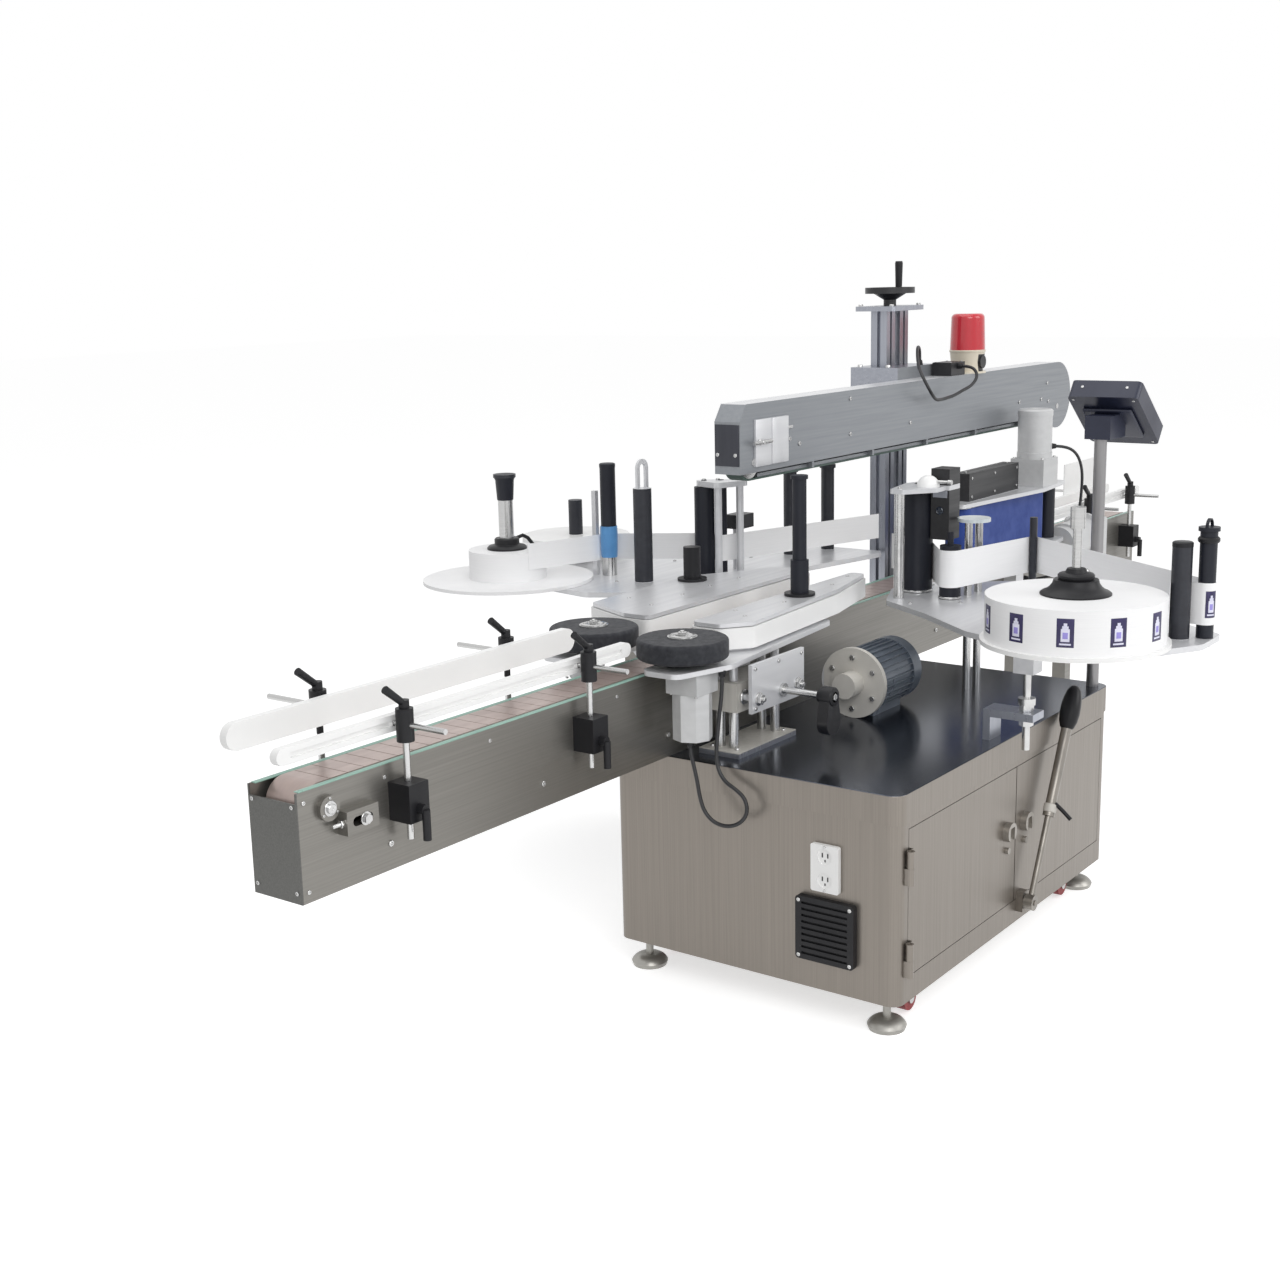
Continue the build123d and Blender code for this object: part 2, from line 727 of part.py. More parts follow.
with BuildPart() as rail_brackets:
    for post_x in near_infeed_posts:
        rail_post(post_x, -1, near_rail_z)
    for post_x in far_infeed_posts:
        rail_post(post_x, 1, far_rail_z)
    for post_x in exit_posts:
        rail_post(post_x, -1, near_rail_z)
        rail_post(post_x, 1, near_rail_z)
save(rail_brackets, "rail_brackets")


def turn_profile(x, y, profile):
    """Turn a closed outline of radius and height pairs about a standing axis."""
    with BuildSketch(turned(x, y)) as outline:
        with BuildLine():
            Polyline(*profile, close=True)
        make_face()
    revolve(outline.sketch, axis=standing_axis(x, y))


collar_rim = 4
collar_depth = 6


def spindle(x, y, deck_bottom, deck_surface, journal, steps):
    """Draw a turning piece carried by a deck: collar below, journal in the bore, stepped body above."""
    underside = deck_bottom - seat
    profile = [
        (0, underside - collar_depth),
        (journal + collar_rim, underside - collar_depth),
        (journal + collar_rim, underside),
        (journal, underside),
        (journal, deck_surface + seat),
    ]
    height = deck_surface + seat
    for radius, top in steps:
        profile = profile + [(radius, height), (radius, top)]
        height = top
    turn_profile(x, y, profile + [(0, height)])


def plate(points, bottom, thickness, radius):
    """Draw a level plate from its corner points, with rounded corners."""
    with BuildSketch(level(bottom)) as outline:
        with BuildLine():
            Polyline(*points, close=True)
        make_face()
        fillet(outline.vertices(), radius=radius)
    extrude(outline.sketch, amount=thickness)


def pillar(x, y, bottom, top, radius):
    """Draw a round pillar between two heights."""
    with BuildSketch(level(bottom)) as outline:
        with Locations((x, y)):
            Circle(radius)
    extrude(outline.sketch, amount=top - bottom)


def bore(x, y, bottom, top, radius):
    """Cut a round hole between two heights."""
    with BuildSketch(level(bottom)) as outline:
        with Locations((x, y)):
            Circle(radius)
    extrude(outline.sketch, amount=top - bottom, mode=Mode.SUBTRACT)


def band_runs(rounds):
    """Return heading and ends of each straight run of a band round rollers (x, y, signed radius)."""
    runs = []
    for (x0, y0, r0), (x1, y1, r1) in zip(rounds, rounds[1:]):
        span = sqrt((x1 - x0) ** 2 + (y1 - y0) ** 2)
        heading = atan2(y1 - y0, x1 - x0) - asin((r1 - r0) / span)
        normal = (-sin(heading), cos(heading))
        start = (x0 - r0 * normal[0], y0 - r0 * normal[1])
        stop = (x1 - r1 * normal[0], y1 - r1 * normal[1])
        runs.append((heading, start, stop))
    return runs


def band(rounds, bottom, top, thickness):
    """Draw a standing band that passes rollers; a positive radius has the roller on its left."""
    runs = band_runs(rounds)
    with BuildSketch(level(bottom)) as outline:
        with BuildLine():
            for heading, start, stop in runs:
                Line(start, stop)
            for before, after, (x, y, radius) in zip(runs, runs[1:], rounds[1:]):
                swing = (after[0] - before[0]) % (pi * 2)
                if radius < 0:
                    swing = swing - pi * 2
                angle = atan2(before[2][1] - y, before[2][0] - x)
                CenterArc((x, y), abs(radius), degrees(angle), degrees(swing))
        trace(line_width=thickness)
    extrude(outline.sketch, amount=top - bottom)


# Table guides: the slide block of the near guide chain, the label head's posts and its screw bracket
slide_x = -625
slide_length = 200
slide_y0 = -180
slide_y1 = -103
slide_z = 612
slide_half_height = 30
slide_leg_radius = 10
slide_leg_inset = 22
slide_foot_sheet = 12
slide_foot_lip = 10
slide_rod_radius = 8
slide_rod_spread = 75
cross_screw_x = -610
cross_screw_radius = 7
head_post_x = 61
head_post_y = -317
head_post_spread = 27
head_post_radius = 9
head_post_top = 880
disc_radius = 38
disc_thickness = 8
lift_x = -315
lift_y = -620
lift_radius = 8
bracket_width = 54
bracket_z = 540
bracket_sheet = 16
bracket_reach = 26
bracket_heel = 30

with BuildPart() as table_guides:
    block(
        slide_x - slide_length / 2,
        slide_x + slide_length / 2,
        slide_y0,
        slide_y1,
        slide_z - slide_half_height,
        slide_z + slide_half_height,
    )
    block(
        slide_x - slide_length / 2 - slide_foot_lip,
        slide_x + slide_length / 2 + slide_foot_lip,
        slide_y0 - slide_foot_lip,
        slide_y1 + slide_foot_lip,
        table_top,
        table_top + slide_foot_sheet,
    )
    for leg_dx in (-1, 1):
        for leg_at_y in (slide_y0 + slide_leg_inset, slide_y1 - slide_leg_inset):
            pillar(
                slide_x + leg_dx * (slide_length / 2 - slide_leg_inset),
                leg_at_y,
                table_top,
                slide_z - slide_half_height,
                slide_leg_radius,
            )
    with BuildSketch(facing_near(slide_y1 + overrun)):
        with Locations(
            (slide_x - slide_rod_spread, slide_z),
            (slide_x + slide_rod_spread, slide_z),
        ):
            Circle(slide_rod_radius + fit)
        with Locations((cross_screw_x, slide_z)):
            Circle(cross_screw_radius + fit)
    extrude(amount=slide_y1 - slide_y0 + overrun * 2, mode=Mode.SUBTRACT)
    for side in (-1, 1):
        pillar(head_post_x + side * head_post_spread, head_post_y, table_top, head_post_top, head_post_radius)
    pillar(head_post_x, head_post_y, head_post_top, head_post_top + disc_thickness, disc_radius)
    block(
        lift_x - bracket_width / 2,
        lift_x + bracket_width / 2,
        cabinet_near_y + bracket_heel,
        cabinet_near_y + bracket_heel + bracket_sheet,
        table_top,
        bracket_z,
    )
    block(
        lift_x - bracket_width / 2,
        lift_x + bracket_width / 2,
        lift_y - bracket_reach,
        cabinet_near_y + bracket_heel + bracket_sheet,
        bracket_z,
        bracket_z + bracket_sheet,
    )
    bore(lift_x, lift_y, bracket_z - overrun, bracket_z + bracket_sheet + overrun, lift_radius + fit)
save(table_guides, "table_guides")

# Near carriage: base plate, guide core and top plate that slide together across the conveyor
carriage_travel = 18
deck_z = 685
deck_thickness = 10
core_top = 746
top_sheet = 8
chain_bottom = 701
chain_height = 43
chain_wall = 9
chain_proud = 4
track_corner = 14
separator_x = -813
separator_y = 111
separator_radius = 92
separator_bottom = 708
separator_top = 748
separator_journal = 9
near_track = [(-700, -54), (-40, -54), (-40, -90), (-250, -136), (-640, -166), (-700, -120)]
near_base = [(-905, -72), (-300, -60), (-290, -150), (-640, -186), (-770, -200), (-905, -160)]
base_corner = 24
near_shaft_x = -345
near_shaft_y = -97
shaft_journal = 10
shaft_bore_gap = 3
end_plate_sheet = 8
end_plate_low = 585
plate_gap = 10
pad_height = 42
pad_radius = 9
separator_motor_y = -132
separator_motor_radius = 37
separator_motor_low = 545
separator_gear_low = 640

with BuildPart() as near_carriage:
    plate(near_base, deck_z, deck_thickness, base_corner)
    with BuildSketch(level(deck_z + deck_thickness)) as near_core:
        with BuildLine():
            Polyline(*near_track, close=True)
        make_face()
        fillet(near_core.vertices(), radius=track_corner)
        offset(amount=-chain_wall)
    extrude(amount=core_top - deck_z - deck_thickness)
    with BuildSketch(level(core_top)) as near_cap:
        with BuildLine():
            Polyline(*near_track, close=True)
        make_face()
        fillet(near_cap.vertices(), radius=track_corner)
    extrude(amount=top_sheet)
    bore(near_shaft_x, near_shaft_y, deck_z - overrun, core_top + top_sheet + overrun, shaft_journal + fit)
    bore(separator_x, -separator_y, deck_z - overrun, deck_z + deck_thickness + overrun, separator_journal + fit)
    for end_y in (slide_y0 - carriage_travel - end_plate_sheet - plate_gap, slide_y1 + carriage_travel + play * 2):
        block(
            slide_x - slide_length / 2,
            slide_x + slide_length / 2,
            end_y,
            end_y + end_plate_sheet,
            end_plate_low,
            deck_z,
        )
    with BuildSketch(facing_near(slide_y1 + carriage_travel + play * 2)):
        with Locations(
            (slide_x - slide_rod_spread, slide_z),
            (slide_x + slide_rod_spread, slide_z),
        ):
            Circle(slide_rod_radius)
    extrude(amount=slide_y1 - slide_y0 + carriage_travel * 2 + play * 2 + plate_gap)
    with BuildSketch(facing_near(slide_y0 - carriage_travel)):
        with Locations((cross_screw_x, slide_z)):
            Circle(cross_screw_radius + fit)
    extrude(amount=end_plate_sheet + plate_gap + overrun, mode=Mode.SUBTRACT)
    block(
        separator_x - separator_motor_radius,
        separator_x + separator_motor_radius,
        separator_motor_y - separator_motor_radius,
        separator_motor_y + separator_motor_radius,
        separator_gear_low,
        deck_z,
    )
    with BuildSketch(level(separator_motor_low)):
        with Locations((separator_x, separator_motor_y)):
            RegularPolygon(separator_motor_radius, 8, major_radius=False)
    extrude(amount=separator_gear_low - separator_motor_low)
    for pad_x in (slide_x - slide_length / 2 + slide_leg_inset, slide_x + slide_length / 2 - slide_leg_inset):
        for pad_y in (slide_y0 + slide_leg_inset, slide_y1 - slide_leg_inset):
            pillar(pad_x, pad_y, deck_z - pad_height, deck_z, pad_radius)
    bore(separator_x, -separator_y, separator_gear_low + overrun, deck_z, separator_journal + collar_rim + play)
save(near_carriage, "near_carriage")

# Carriage handwheel: a cross screw with a collar and a long black grip
cross_screw_stop = -92
cross_collar_radius = 14
cross_collar_length = 14
grip_y = -325
grip_thickness = 24
grip_root_radius = 17
grip_lobe_radius = 27
grip_lobe_drop = 52
cross_plate_y = slide_y0 - carriage_travel - end_plate_sheet - plate_gap

with BuildPart() as carriage_handwheel:
    with BuildSketch(facing_near(cross_screw_stop)):
        with Locations((cross_screw_x, slide_z)):
            Circle(cross_screw_radius)
    extrude(amount=cross_screw_stop - grip_y)
    for collar_y in (cross_plate_y + end_plate_sheet + seat + collar_depth, cross_plate_y - seat):
        with BuildSketch(facing_near(collar_y)):
            with Locations((cross_screw_x, slide_z)):
                Circle(cross_collar_radius)
        extrude(amount=collar_depth)
    with BuildSketch(facing_near(grip_y + grip_thickness / 2)) as grip_outline:
        with Locations((cross_screw_x, slide_z)):
            Circle(grip_root_radius)
        with Locations((cross_screw_x, slide_z - grip_lobe_drop)):
            Circle(grip_lobe_radius)
        make_hull()
    extrude(amount=grip_thickness)
save(carriage_handwheel, "carriage_handwheel")

# Separator wheels: soft discs on metal hubs that space the bottles
hub_radius = 30
hub_rise = 3
tyre_inner = 46

for side, wheel_name in ((-1, "near_separator_wheel"), (1, "far_separator_wheel")):
    with BuildPart() as separator_wheel:
        spindle(
            separator_x,
            side * separator_y,
            deck_z,
            deck_z + deck_thickness,
            separator_journal,
            [
                (hub_radius, separator_bottom),
                (separator_radius, separator_top),
                (hub_radius, separator_top + hub_rise),
            ],
        )
        wheel_rims = separator_wheel.edges().filter_by(GeomType.CIRCLE).filter_by(
            lambda edge: edge.radius > separator_radius - play
        )
        fillet(wheel_rims, radius=track_corner / 2)
    save(separator_wheel, wheel_name)

# Guide chains: closed white bands that lie round the cores of both guides
far_track = [(-700, 56), (-40, 56), (-60, 140), (-280, 262), (-640, 252), (-700, 120)]

for track, track_name in ((near_track, "near_guide_chain"), (far_track, "far_guide_chain")):
    with BuildPart() as guide_chain:
        with BuildSketch(level(chain_bottom)) as chain_outer:
            with BuildLine():
                Polyline(*track, close=True)
            make_face()
            fillet(chain_outer.vertices(), radius=track_corner)
            offset(amount=chain_proud)
        extrude(amount=chain_height)
        with BuildSketch(level(chain_bottom - overrun)) as chain_inner:
            with BuildLine():
                Polyline(*track, close=True)
            make_face()
            fillet(chain_inner.vertices(), radius=track_corner)
            offset(amount=-chain_wall)
        extrude(amount=chain_height + overrun * 2, mode=Mode.SUBTRACT)
    save(guide_chain, track_name)

# Guide shafts: flanged hubs on the guide plates, the near one with a tall roller
shaft_flange_radius = 34
shaft_flange_height = 6
shaft_hub_radius = 20
shaft_hub_top = 833
pole_radius = 15.5
pole_top = 1018
flare_radius = 19
flare_height = 8
far_shaft_x = -310
far_shaft_y = 214
pinion_radius = 22
pinion_height = 12

for shaft_x, shaft_y, shaft_name in (
    (near_shaft_x, near_shaft_y, "near_guide_shaft"),
    (far_shaft_x, far_shaft_y, "far_guide_shaft"),
):
    shaft_steps = [
        (shaft_flange_radius, core_top + top_sheet + seat + shaft_flange_height),
        (shaft_hub_radius, shaft_hub_top),
    ]
    if shaft_y < 0:
        shaft_steps = shaft_steps + [
            (pole_radius, pole_top - flare_height),
            (flare_radius, pole_top),
        ]
    with BuildPart() as guide_shaft:
        spindle(shaft_x, shaft_y, deck_z, core_top + top_sheet, shaft_journal, shaft_steps)
        pillar(
            shaft_x,
            shaft_y,
            deck_z - seat - collar_depth - pinion_height,
            deck_z - seat - collar_depth,
            pinion_radius,
        )
    save(guide_shaft, shaft_name)

# Far guide plates: the fixed half of the guide, bolted to the far wall of the conveyor
far_base = [(-905, 66), (-300, 60), (-70, 60), (-60, 120), (-290, 250), (-650, 246), (-905, 176)]
far_bracket_x = -470
far_bracket_length = 260
far_bracket_low = 560
far_bracket_sheet = 14
far_motor_radius = 37
far_motor_y = 132

with BuildPart() as far_guide_plates:
    plate(far_base, deck_z, deck_thickness, base_corner)
    with BuildSketch(level(deck_z + deck_thickness)) as far_core:
        with BuildLine():
            Polyline(*far_track, close=True)
        make_face()
        fillet(far_core.vertices(), radius=track_corner)
        offset(amount=-chain_wall)
    extrude(amount=core_top - deck_z - deck_thickness)
    with BuildSketch(level(core_top)) as far_cap:
        with BuildLine():
            Polyline(*far_track, close=True)
        make_face()
        fillet(far_cap.vertices(), radius=track_corner)
    extrude(amount=top_sheet)
    bore(far_shaft_x, far_shaft_y, deck_z - overrun, core_top + top_sheet + overrun, shaft_journal + fit)
    bore(separator_x, separator_y, deck_z - overrun, deck_z + deck_thickness + overrun, separator_journal + fit)
    block(
        far_bracket_x - far_bracket_length / 2,
        far_bracket_x + far_bracket_length / 2,
        wall_y,
        wall_y + far_bracket_sheet,
        far_bracket_low,
        deck_z,
    )
    for bracket_dx in (-1, 1):
        bracket_x = far_bracket_x + bracket_dx * (far_bracket_length - far_bracket_sheet) / 2
        with BuildSketch(facing_exit(bracket_x - far_bracket_sheet / 2)):
            with BuildLine():
                Polyline(
                    (wall_y, far_bracket_low),
                    (wall_y + far_bracket_sheet * 2, far_bracket_low),
                    (far_shaft_y, deck_z),
                    (wall_y, deck_z),
                    close=True,
                )
            make_face()
        extrude(amount=far_bracket_sheet)
    pillar(separator_x, far_motor_y, separator_gear_low, deck_z, far_motor_radius)
    pillar(separator_x, far_motor_y, separator_motor_low, separator_gear_low, far_motor_radius - collar_rim)
    bore(separator_x, separator_y, separator_gear_low + overrun, deck_z, separator_journal + collar_rim + play)
save(far_guide_plates, "far_guide_plates")

# Column: two slotted profiles on a shelf behind the conveyor, with a bearing plate on top
profile_side = 45
profile_spread = 35
profile_slot = 9
profile_slot_depth = 11
shelf_length = 190
shelf_depth = 116
shelf_z = 508
shelf_sheet = 12
shelf_drop = 20
screw_radius = 8
screw_foot = 545
top_plate_length = 168
top_plate_width = 112

with BuildPart() as column:
    block(
        column_place - shelf_length / 2,
        column_place + shelf_length / 2,
        wall_y,
        wall_y + shelf_depth,
        shelf_z,
        shelf_z + shelf_sheet,
    )
    for gusset_x in (column_place - shelf_length / 2, column_place + shelf_length / 2 - shelf_sheet):
        with BuildSketch(facing_exit(gusset_x)):
            with BuildLine():
                Polyline(
                    (wall_y, shelf_z),
                    (wall_y + shelf_depth, shelf_z),
                    (wall_y + shelf_sheet, table_top + play),
                    (wall_y, table_top + play),
                    close=True,
                )
            make_face()
        extrude(amount=shelf_sheet)
    for side in (-1, 1):
        with BuildSketch(level(shelf_z + shelf_sheet)):
            with Locations((column_place + side * profile_spread, column_setback)):
                Rectangle(profile_side, profile_side)
                with PolarLocations(profile_side / 2, 4):
                    Rectangle(profile_slot_depth * 2, profile_slot, mode=Mode.SUBTRACT)
        extrude(amount=column_top - shelf_z - shelf_sheet)
    with BuildSketch(level(column_top)):
        with Locations((column_place, column_setback)):
            RectangleRounded(top_plate_length, top_plate_width, profile_slot)
    extrude(amount=shelf_sheet)
    bore(column_place, column_setback, column_top - overrun, column_top + shelf_sheet + overrun, screw_radius + fit)
save(column, "column")

# Height screw: a long screw hung from the top plate with a dished handwheel
wheel_radius = 63
wheel_rim_z = column_top + 43
wheel_rim_height = 15
wheel_hub_radius = 16
wheel_hub_z = column_top + 27
wheel_dish = 10
screw_collar_radius = 12
crank_reach = 47
crank_pin_radius = 5
crank_length = 65
crank_top = wheel_rim_z + wheel_rim_height + crank_length
crank_radius = 8.5
crank_tip_radius = 10
crank_stand = 5

with BuildPart() as height_screw:
    turn_profile(
        column_place,
        column_setback,
        [
            (0, screw_foot),
            (screw_radius, screw_foot),
            (screw_radius, column_top - seat - collar_depth),
            (screw_collar_radius, column_top - seat - collar_depth),
            (screw_collar_radius, column_top - seat),
            (screw_radius, column_top - seat),
            (screw_radius, column_top + shelf_sheet + seat),
            (wheel_hub_radius, column_top + shelf_sheet + seat),
            (wheel_hub_radius, wheel_hub_z),
            (wheel_radius * 2 / 3, wheel_rim_z),
            (wheel_radius, wheel_rim_z),
            (wheel_radius, wheel_rim_z + wheel_rim_height),
            (wheel_radius - wheel_dish, wheel_rim_z + wheel_rim_height),
            (wheel_radius - wheel_dish, wheel_rim_z + wheel_dish),
            (0, wheel_rim_z + wheel_dish),
        ],
    )
    pillar(
        column_place + crank_reach,
        column_setback,
        wheel_rim_z + wheel_dish / 2,
        crank_top - crank_stand * 2,
        crank_pin_radius,
    )
save(height_screw, "height_screw")

with BuildPart() as crank_grip:
    turn_profile(
        column_place + crank_reach,
        column_setback,
        [
            (crank_pin_radius + fit, wheel_rim_z + wheel_rim_height + seat),
            (crank_radius, wheel_rim_z + wheel_rim_height + seat),
            (crank_tip_radius, crank_top - crank_stand),
            (crank_radius, crank_top),
            (0, crank_top),
            (0, crank_top - crank_stand),
            (crank_pin_radius + fit, crank_top - crank_stand),
        ],
    )
save(crank_grip, "crank_grip")

# Beam: a folded channel over the lane, with its clamp block on the column
beam_width = 64
beam_height = 140
beam_sheet = 4
beam_start = -479
beam_stop = beam_start + beam_length
beam_bevel_length = 26
beam_bevel_height = 36
beam_nose_radius = 84
beam_nose_x = beam_stop - beam_nose_radius - 1
beam_nose_z = beam_bottom + 46
beam_nose_lip = 10
belt_bottom = 1010
belt_sheet = 4
belt_width = 40
pulley_radius = 36
belt_start_x = beam_start + 54
belt_stop_x = beam_nose_x
pulley_axle_radius = 8
bed_width = 34
bed_web = 8
bed_web_pitch = 280
clamp_x0 = 342
clamp_x1 = 552
clamp_depth = 134
clamp_z0 = 1050
clamp_z1 = 1206
slide_gap = 0.1
pulley_axis_z = belt_bottom + belt_sheet + pulley_radius
bed_z0 = belt_bottom + belt_sheet

with BuildPart() as beam:
    with BuildSketch(facing_near(beam_width / 2)):
        with BuildLine():
            Polyline(
                (beam_start, beam_bottom - beam_sheet * 2),
                (beam_nose_x, beam_bottom - beam_sheet * 2),
                (beam_nose_x, beam_bottom + beam_height),
                (beam_start + beam_bevel_length, beam_bottom + beam_height),
                (beam_start, beam_bottom + beam_height - beam_bevel_height),
                close=True,
            )
        make_face()
        with Locations((beam_nose_x, beam_nose_z)):
            Circle(beam_nose_radius + beam_nose_lip)
    extrude(amount=beam_width)
    with BuildSketch(facing_near(beam_width / 2 - beam_sheet)):
        with BuildLine():
            Polyline(
                (beam_start + beam_sheet, beam_bottom - beam_height),
                (beam_nose_x, beam_bottom - beam_height),
                (beam_nose_x, beam_bottom + beam_height - beam_sheet),
                (beam_start + beam_bevel_length, beam_bottom + beam_height - beam_sheet),
                (beam_start + beam_sheet, beam_bottom + beam_height - beam_bevel_height),
                close=True,
            )
        make_face()
        with Locations((beam_nose_x, beam_nose_z)):
            Circle(beam_nose_radius + beam_nose_lip - beam_sheet)
    extrude(amount=beam_width - beam_sheet * 2, mode=Mode.SUBTRACT)
    block(
        belt_start_x + pulley_radius + play,
        belt_stop_x - pulley_radius - play,
        -bed_width / 2,
        bed_width / 2,
        bed_z0,
        bed_z0 + bed_web,
    )
    web_count = int((belt_stop_x - belt_start_x - pulley_radius * 3) // bed_web_pitch)
    with BuildSketch(level(bed_z0)):
        with Locations(((belt_start_x + belt_stop_x) / 2, 0)):
            with GridLocations(bed_web_pitch, 0, web_count, 1):
                Rectangle(bed_web, beam_width - beam_sheet)
    extrude(amount=pulley_radius)
    block(
        clamp_x0,
        clamp_x1,
        beam_width / 2,
        beam_width / 2 + clamp_depth,
        clamp_z0,
        clamp_z1,
    )
    for side in (-1, 1):
        with BuildSketch(level(clamp_z0 - overrun)):
            with Locations((column_place + side * profile_spread, column_setback)):
                Rectangle(profile_side + slide_gap * 2, profile_side + slide_gap * 2)
        extrude(amount=clamp_z1 - clamp_z0 + overrun * 2, mode=Mode.SUBTRACT)
    bore(column_place, column_setback, clamp_z0 - overrun, clamp_z1 + overrun, screw_radius + fit)
    with BuildSketch(facing_near(beam_width / 2 + overrun)):
        with Locations((belt_start_x, pulley_axis_z), (belt_stop_x, pulley_axis_z)):
            Circle(pulley_axle_radius + fit)
    extrude(amount=beam_width + overrun * 2, mode=Mode.SUBTRACT)
save(beam, "beam")

with BuildPart() as hold_down_belt:
    with BuildSketch(facing_near(belt_width / 2)):
        with Locations(((belt_start_x + belt_stop_x) / 2, pulley_axis_z)):
            SlotCenterToCenter(belt_stop_x - belt_start_x, (pulley_radius + belt_sheet) * 2)
            SlotCenterToCenter(belt_stop_x - belt_start_x, pulley_radius * 2, mode=Mode.SUBTRACT)
    extrude(amount=belt_width)
save(hold_down_belt, "hold_down_belt")

pulley_face = 42
for pulley_x, pulley_name in ((belt_stop_x, "belt_drive_pulley"), (belt_start_x, "belt_idler_pulley")):
    with BuildPart() as belt_pulley:
        with BuildSketch(facing_near(pulley_face / 2)):
            with Locations((pulley_x, pulley_axis_z)):
                Circle(pulley_radius - seat)
        extrude(amount=pulley_face)
        with BuildSketch(facing_near(beam_width / 2 + play)):
            with Locations((pulley_x, pulley_axis_z)):
                Circle(pulley_axle_radius)
        extrude(amount=beam_width + play * 2)
    save(belt_pulley, pulley_name)

# Beacon: a cream base with a round buzzer under a red lens
beacon_x = 669
beacon_radius = 46
beacon_base_height = 58
beacon_dome_height = 96
beacon_taper = 3
buzzer_radius = 17
buzzer_length = 9
junction_x = 560
junction_length = 78
junction_width = 54
junction_height = 34
beam_top = beam_bottom + beam_height
beacon_seam = beam_top + beacon_base_height

with BuildPart() as beacon_base:
    turn_profile(
        beacon_x,
        0,
        [
            (0, beam_top),
            (beacon_radius - beacon_taper * 2, beam_top),
            (beacon_radius, beacon_seam),
            (0, beacon_seam),
        ],
    )
    with BuildSketch(facing_near(-beacon_radius + beacon_taper * 3)):
        with Locations((beacon_x, beam_top + beacon_base_height / 2)):
            Circle(buzzer_radius)
    extrude(amount=buzzer_length)
    block(
        junction_x - junction_length / 2,
        junction_x + junction_length / 2,
        -junction_width / 2,
        junction_width / 2,
        beam_top,
        beam_top + junction_height,
    )
save(beacon_base, "beacon_base")

with BuildPart() as beacon_dome:
    turn_profile(
        beacon_x,
        0,
        [
            (0, beacon_seam),
            (beacon_radius, beacon_seam),
            (beacon_radius - beacon_taper, beacon_seam + beacon_dome_height),
            (0, beacon_seam + beacon_dome_height),
        ],
    )
    dome_rim = beacon_dome.faces().sort_by(Axis.Z)[-1].edges()
    fillet(dome_rim, radius=beacon_taper * 4)
save(beacon_dome, "beacon_dome")

# Operator panel: a dark case that turns on a post at the table's corner
post_x = cabinet_x1 - 32
post_at_y = cabinet_near_y + 31
post_radius = 14
post_top = 1063
pivot_radius = 9
pivot_height = 34
panel_socket_radius = 22
panel_socket_height = 44
panel_width = 164
panel_length = 192
panel_thickness = 44
panel_tilt = 37.4
panel_centre_x = post_x + 86
panel_centre_z = 1116
neck_width = 60
neck_length = 70

with BuildPart() as panel_post:
    turn_profile(
        post_x,
        post_at_y,
        [
            (0, table_top),
            (post_radius, table_top),
            (post_radius, post_top),
            (pivot_radius, post_top),
            (pivot_radius, post_top + pivot_height),
            (0, post_top + pivot_height),
        ],
    )
save(panel_post, "panel_post")

with BuildPart() as panel_head:
    tilted = Plane(
        origin=(panel_centre_x, post_at_y, panel_centre_z),
        x_dir=(cos(radians(panel_tilt)), 0, -sin(radians(panel_tilt))),
        z_dir=(sin(radians(panel_tilt)), 0, cos(radians(panel_tilt))),
    )
    with BuildSketch(tilted.offset(-panel_thickness / 2)):
        RectangleRounded(panel_length, panel_width, panel_thickness / 4)
    extrude(amount=panel_thickness)
    block(
        post_x - panel_socket_radius,
        post_x + neck_length,
        post_at_y - neck_width / 2,
        post_at_y + neck_width / 2,
        post_top + seat,
        panel_centre_z,
    )
    bore(post_x, post_at_y, post_top - overrun, post_top + pivot_height + play, pivot_radius + fit)
save(panel_head, "panel_head")

# Wrap unit: a short blue belt beside the lane that rolls each bottle, with its motor on top
wrap_x0 = 470
wrap_x1 = 915
wrap_y = -80
wrap_radius = 30
wrap_belt_sheet = 4
wrap_deck_z = 690
wrap_deck_sheet = 10
wrap_belt_low = 703
wrap_belt_high = 845
wrap_top_z = 850
wrap_top_sheet = 10
wrap_drum_gap = 4
wrap_housing_x0 = 480
wrap_housing_x1 = 780
wrap_housing_width = 46
wrap_housing_top = 932
wrap_gear_side = 96
wrap_gear_top = 935
wrap_motor_radius = 46
wrap_motor_top = 1064
wrap_motor_x = 880
wrap_motor_y = -104
wrap_roller_x = 992
wrap_roller_y = -96
wrap_roller_radius = 22
wrap_roller_top = 842
wrap_journal = 8
wrap_post_radius = 12
wrap_post_places = (560, 830)
wrap_foot_z = 590
wrap_foot_height = 60
wrap_plate_outline = [
    (wrap_x0 - 50, -46),
    (wrap_x1 + 104, -46),
    (wrap_x1 + 104, -140),
    (wrap_x1 - 90, -160),
    (wrap_x0 - 50, -116),
]
wrap_inner_y = wrap_y + wrap_radius

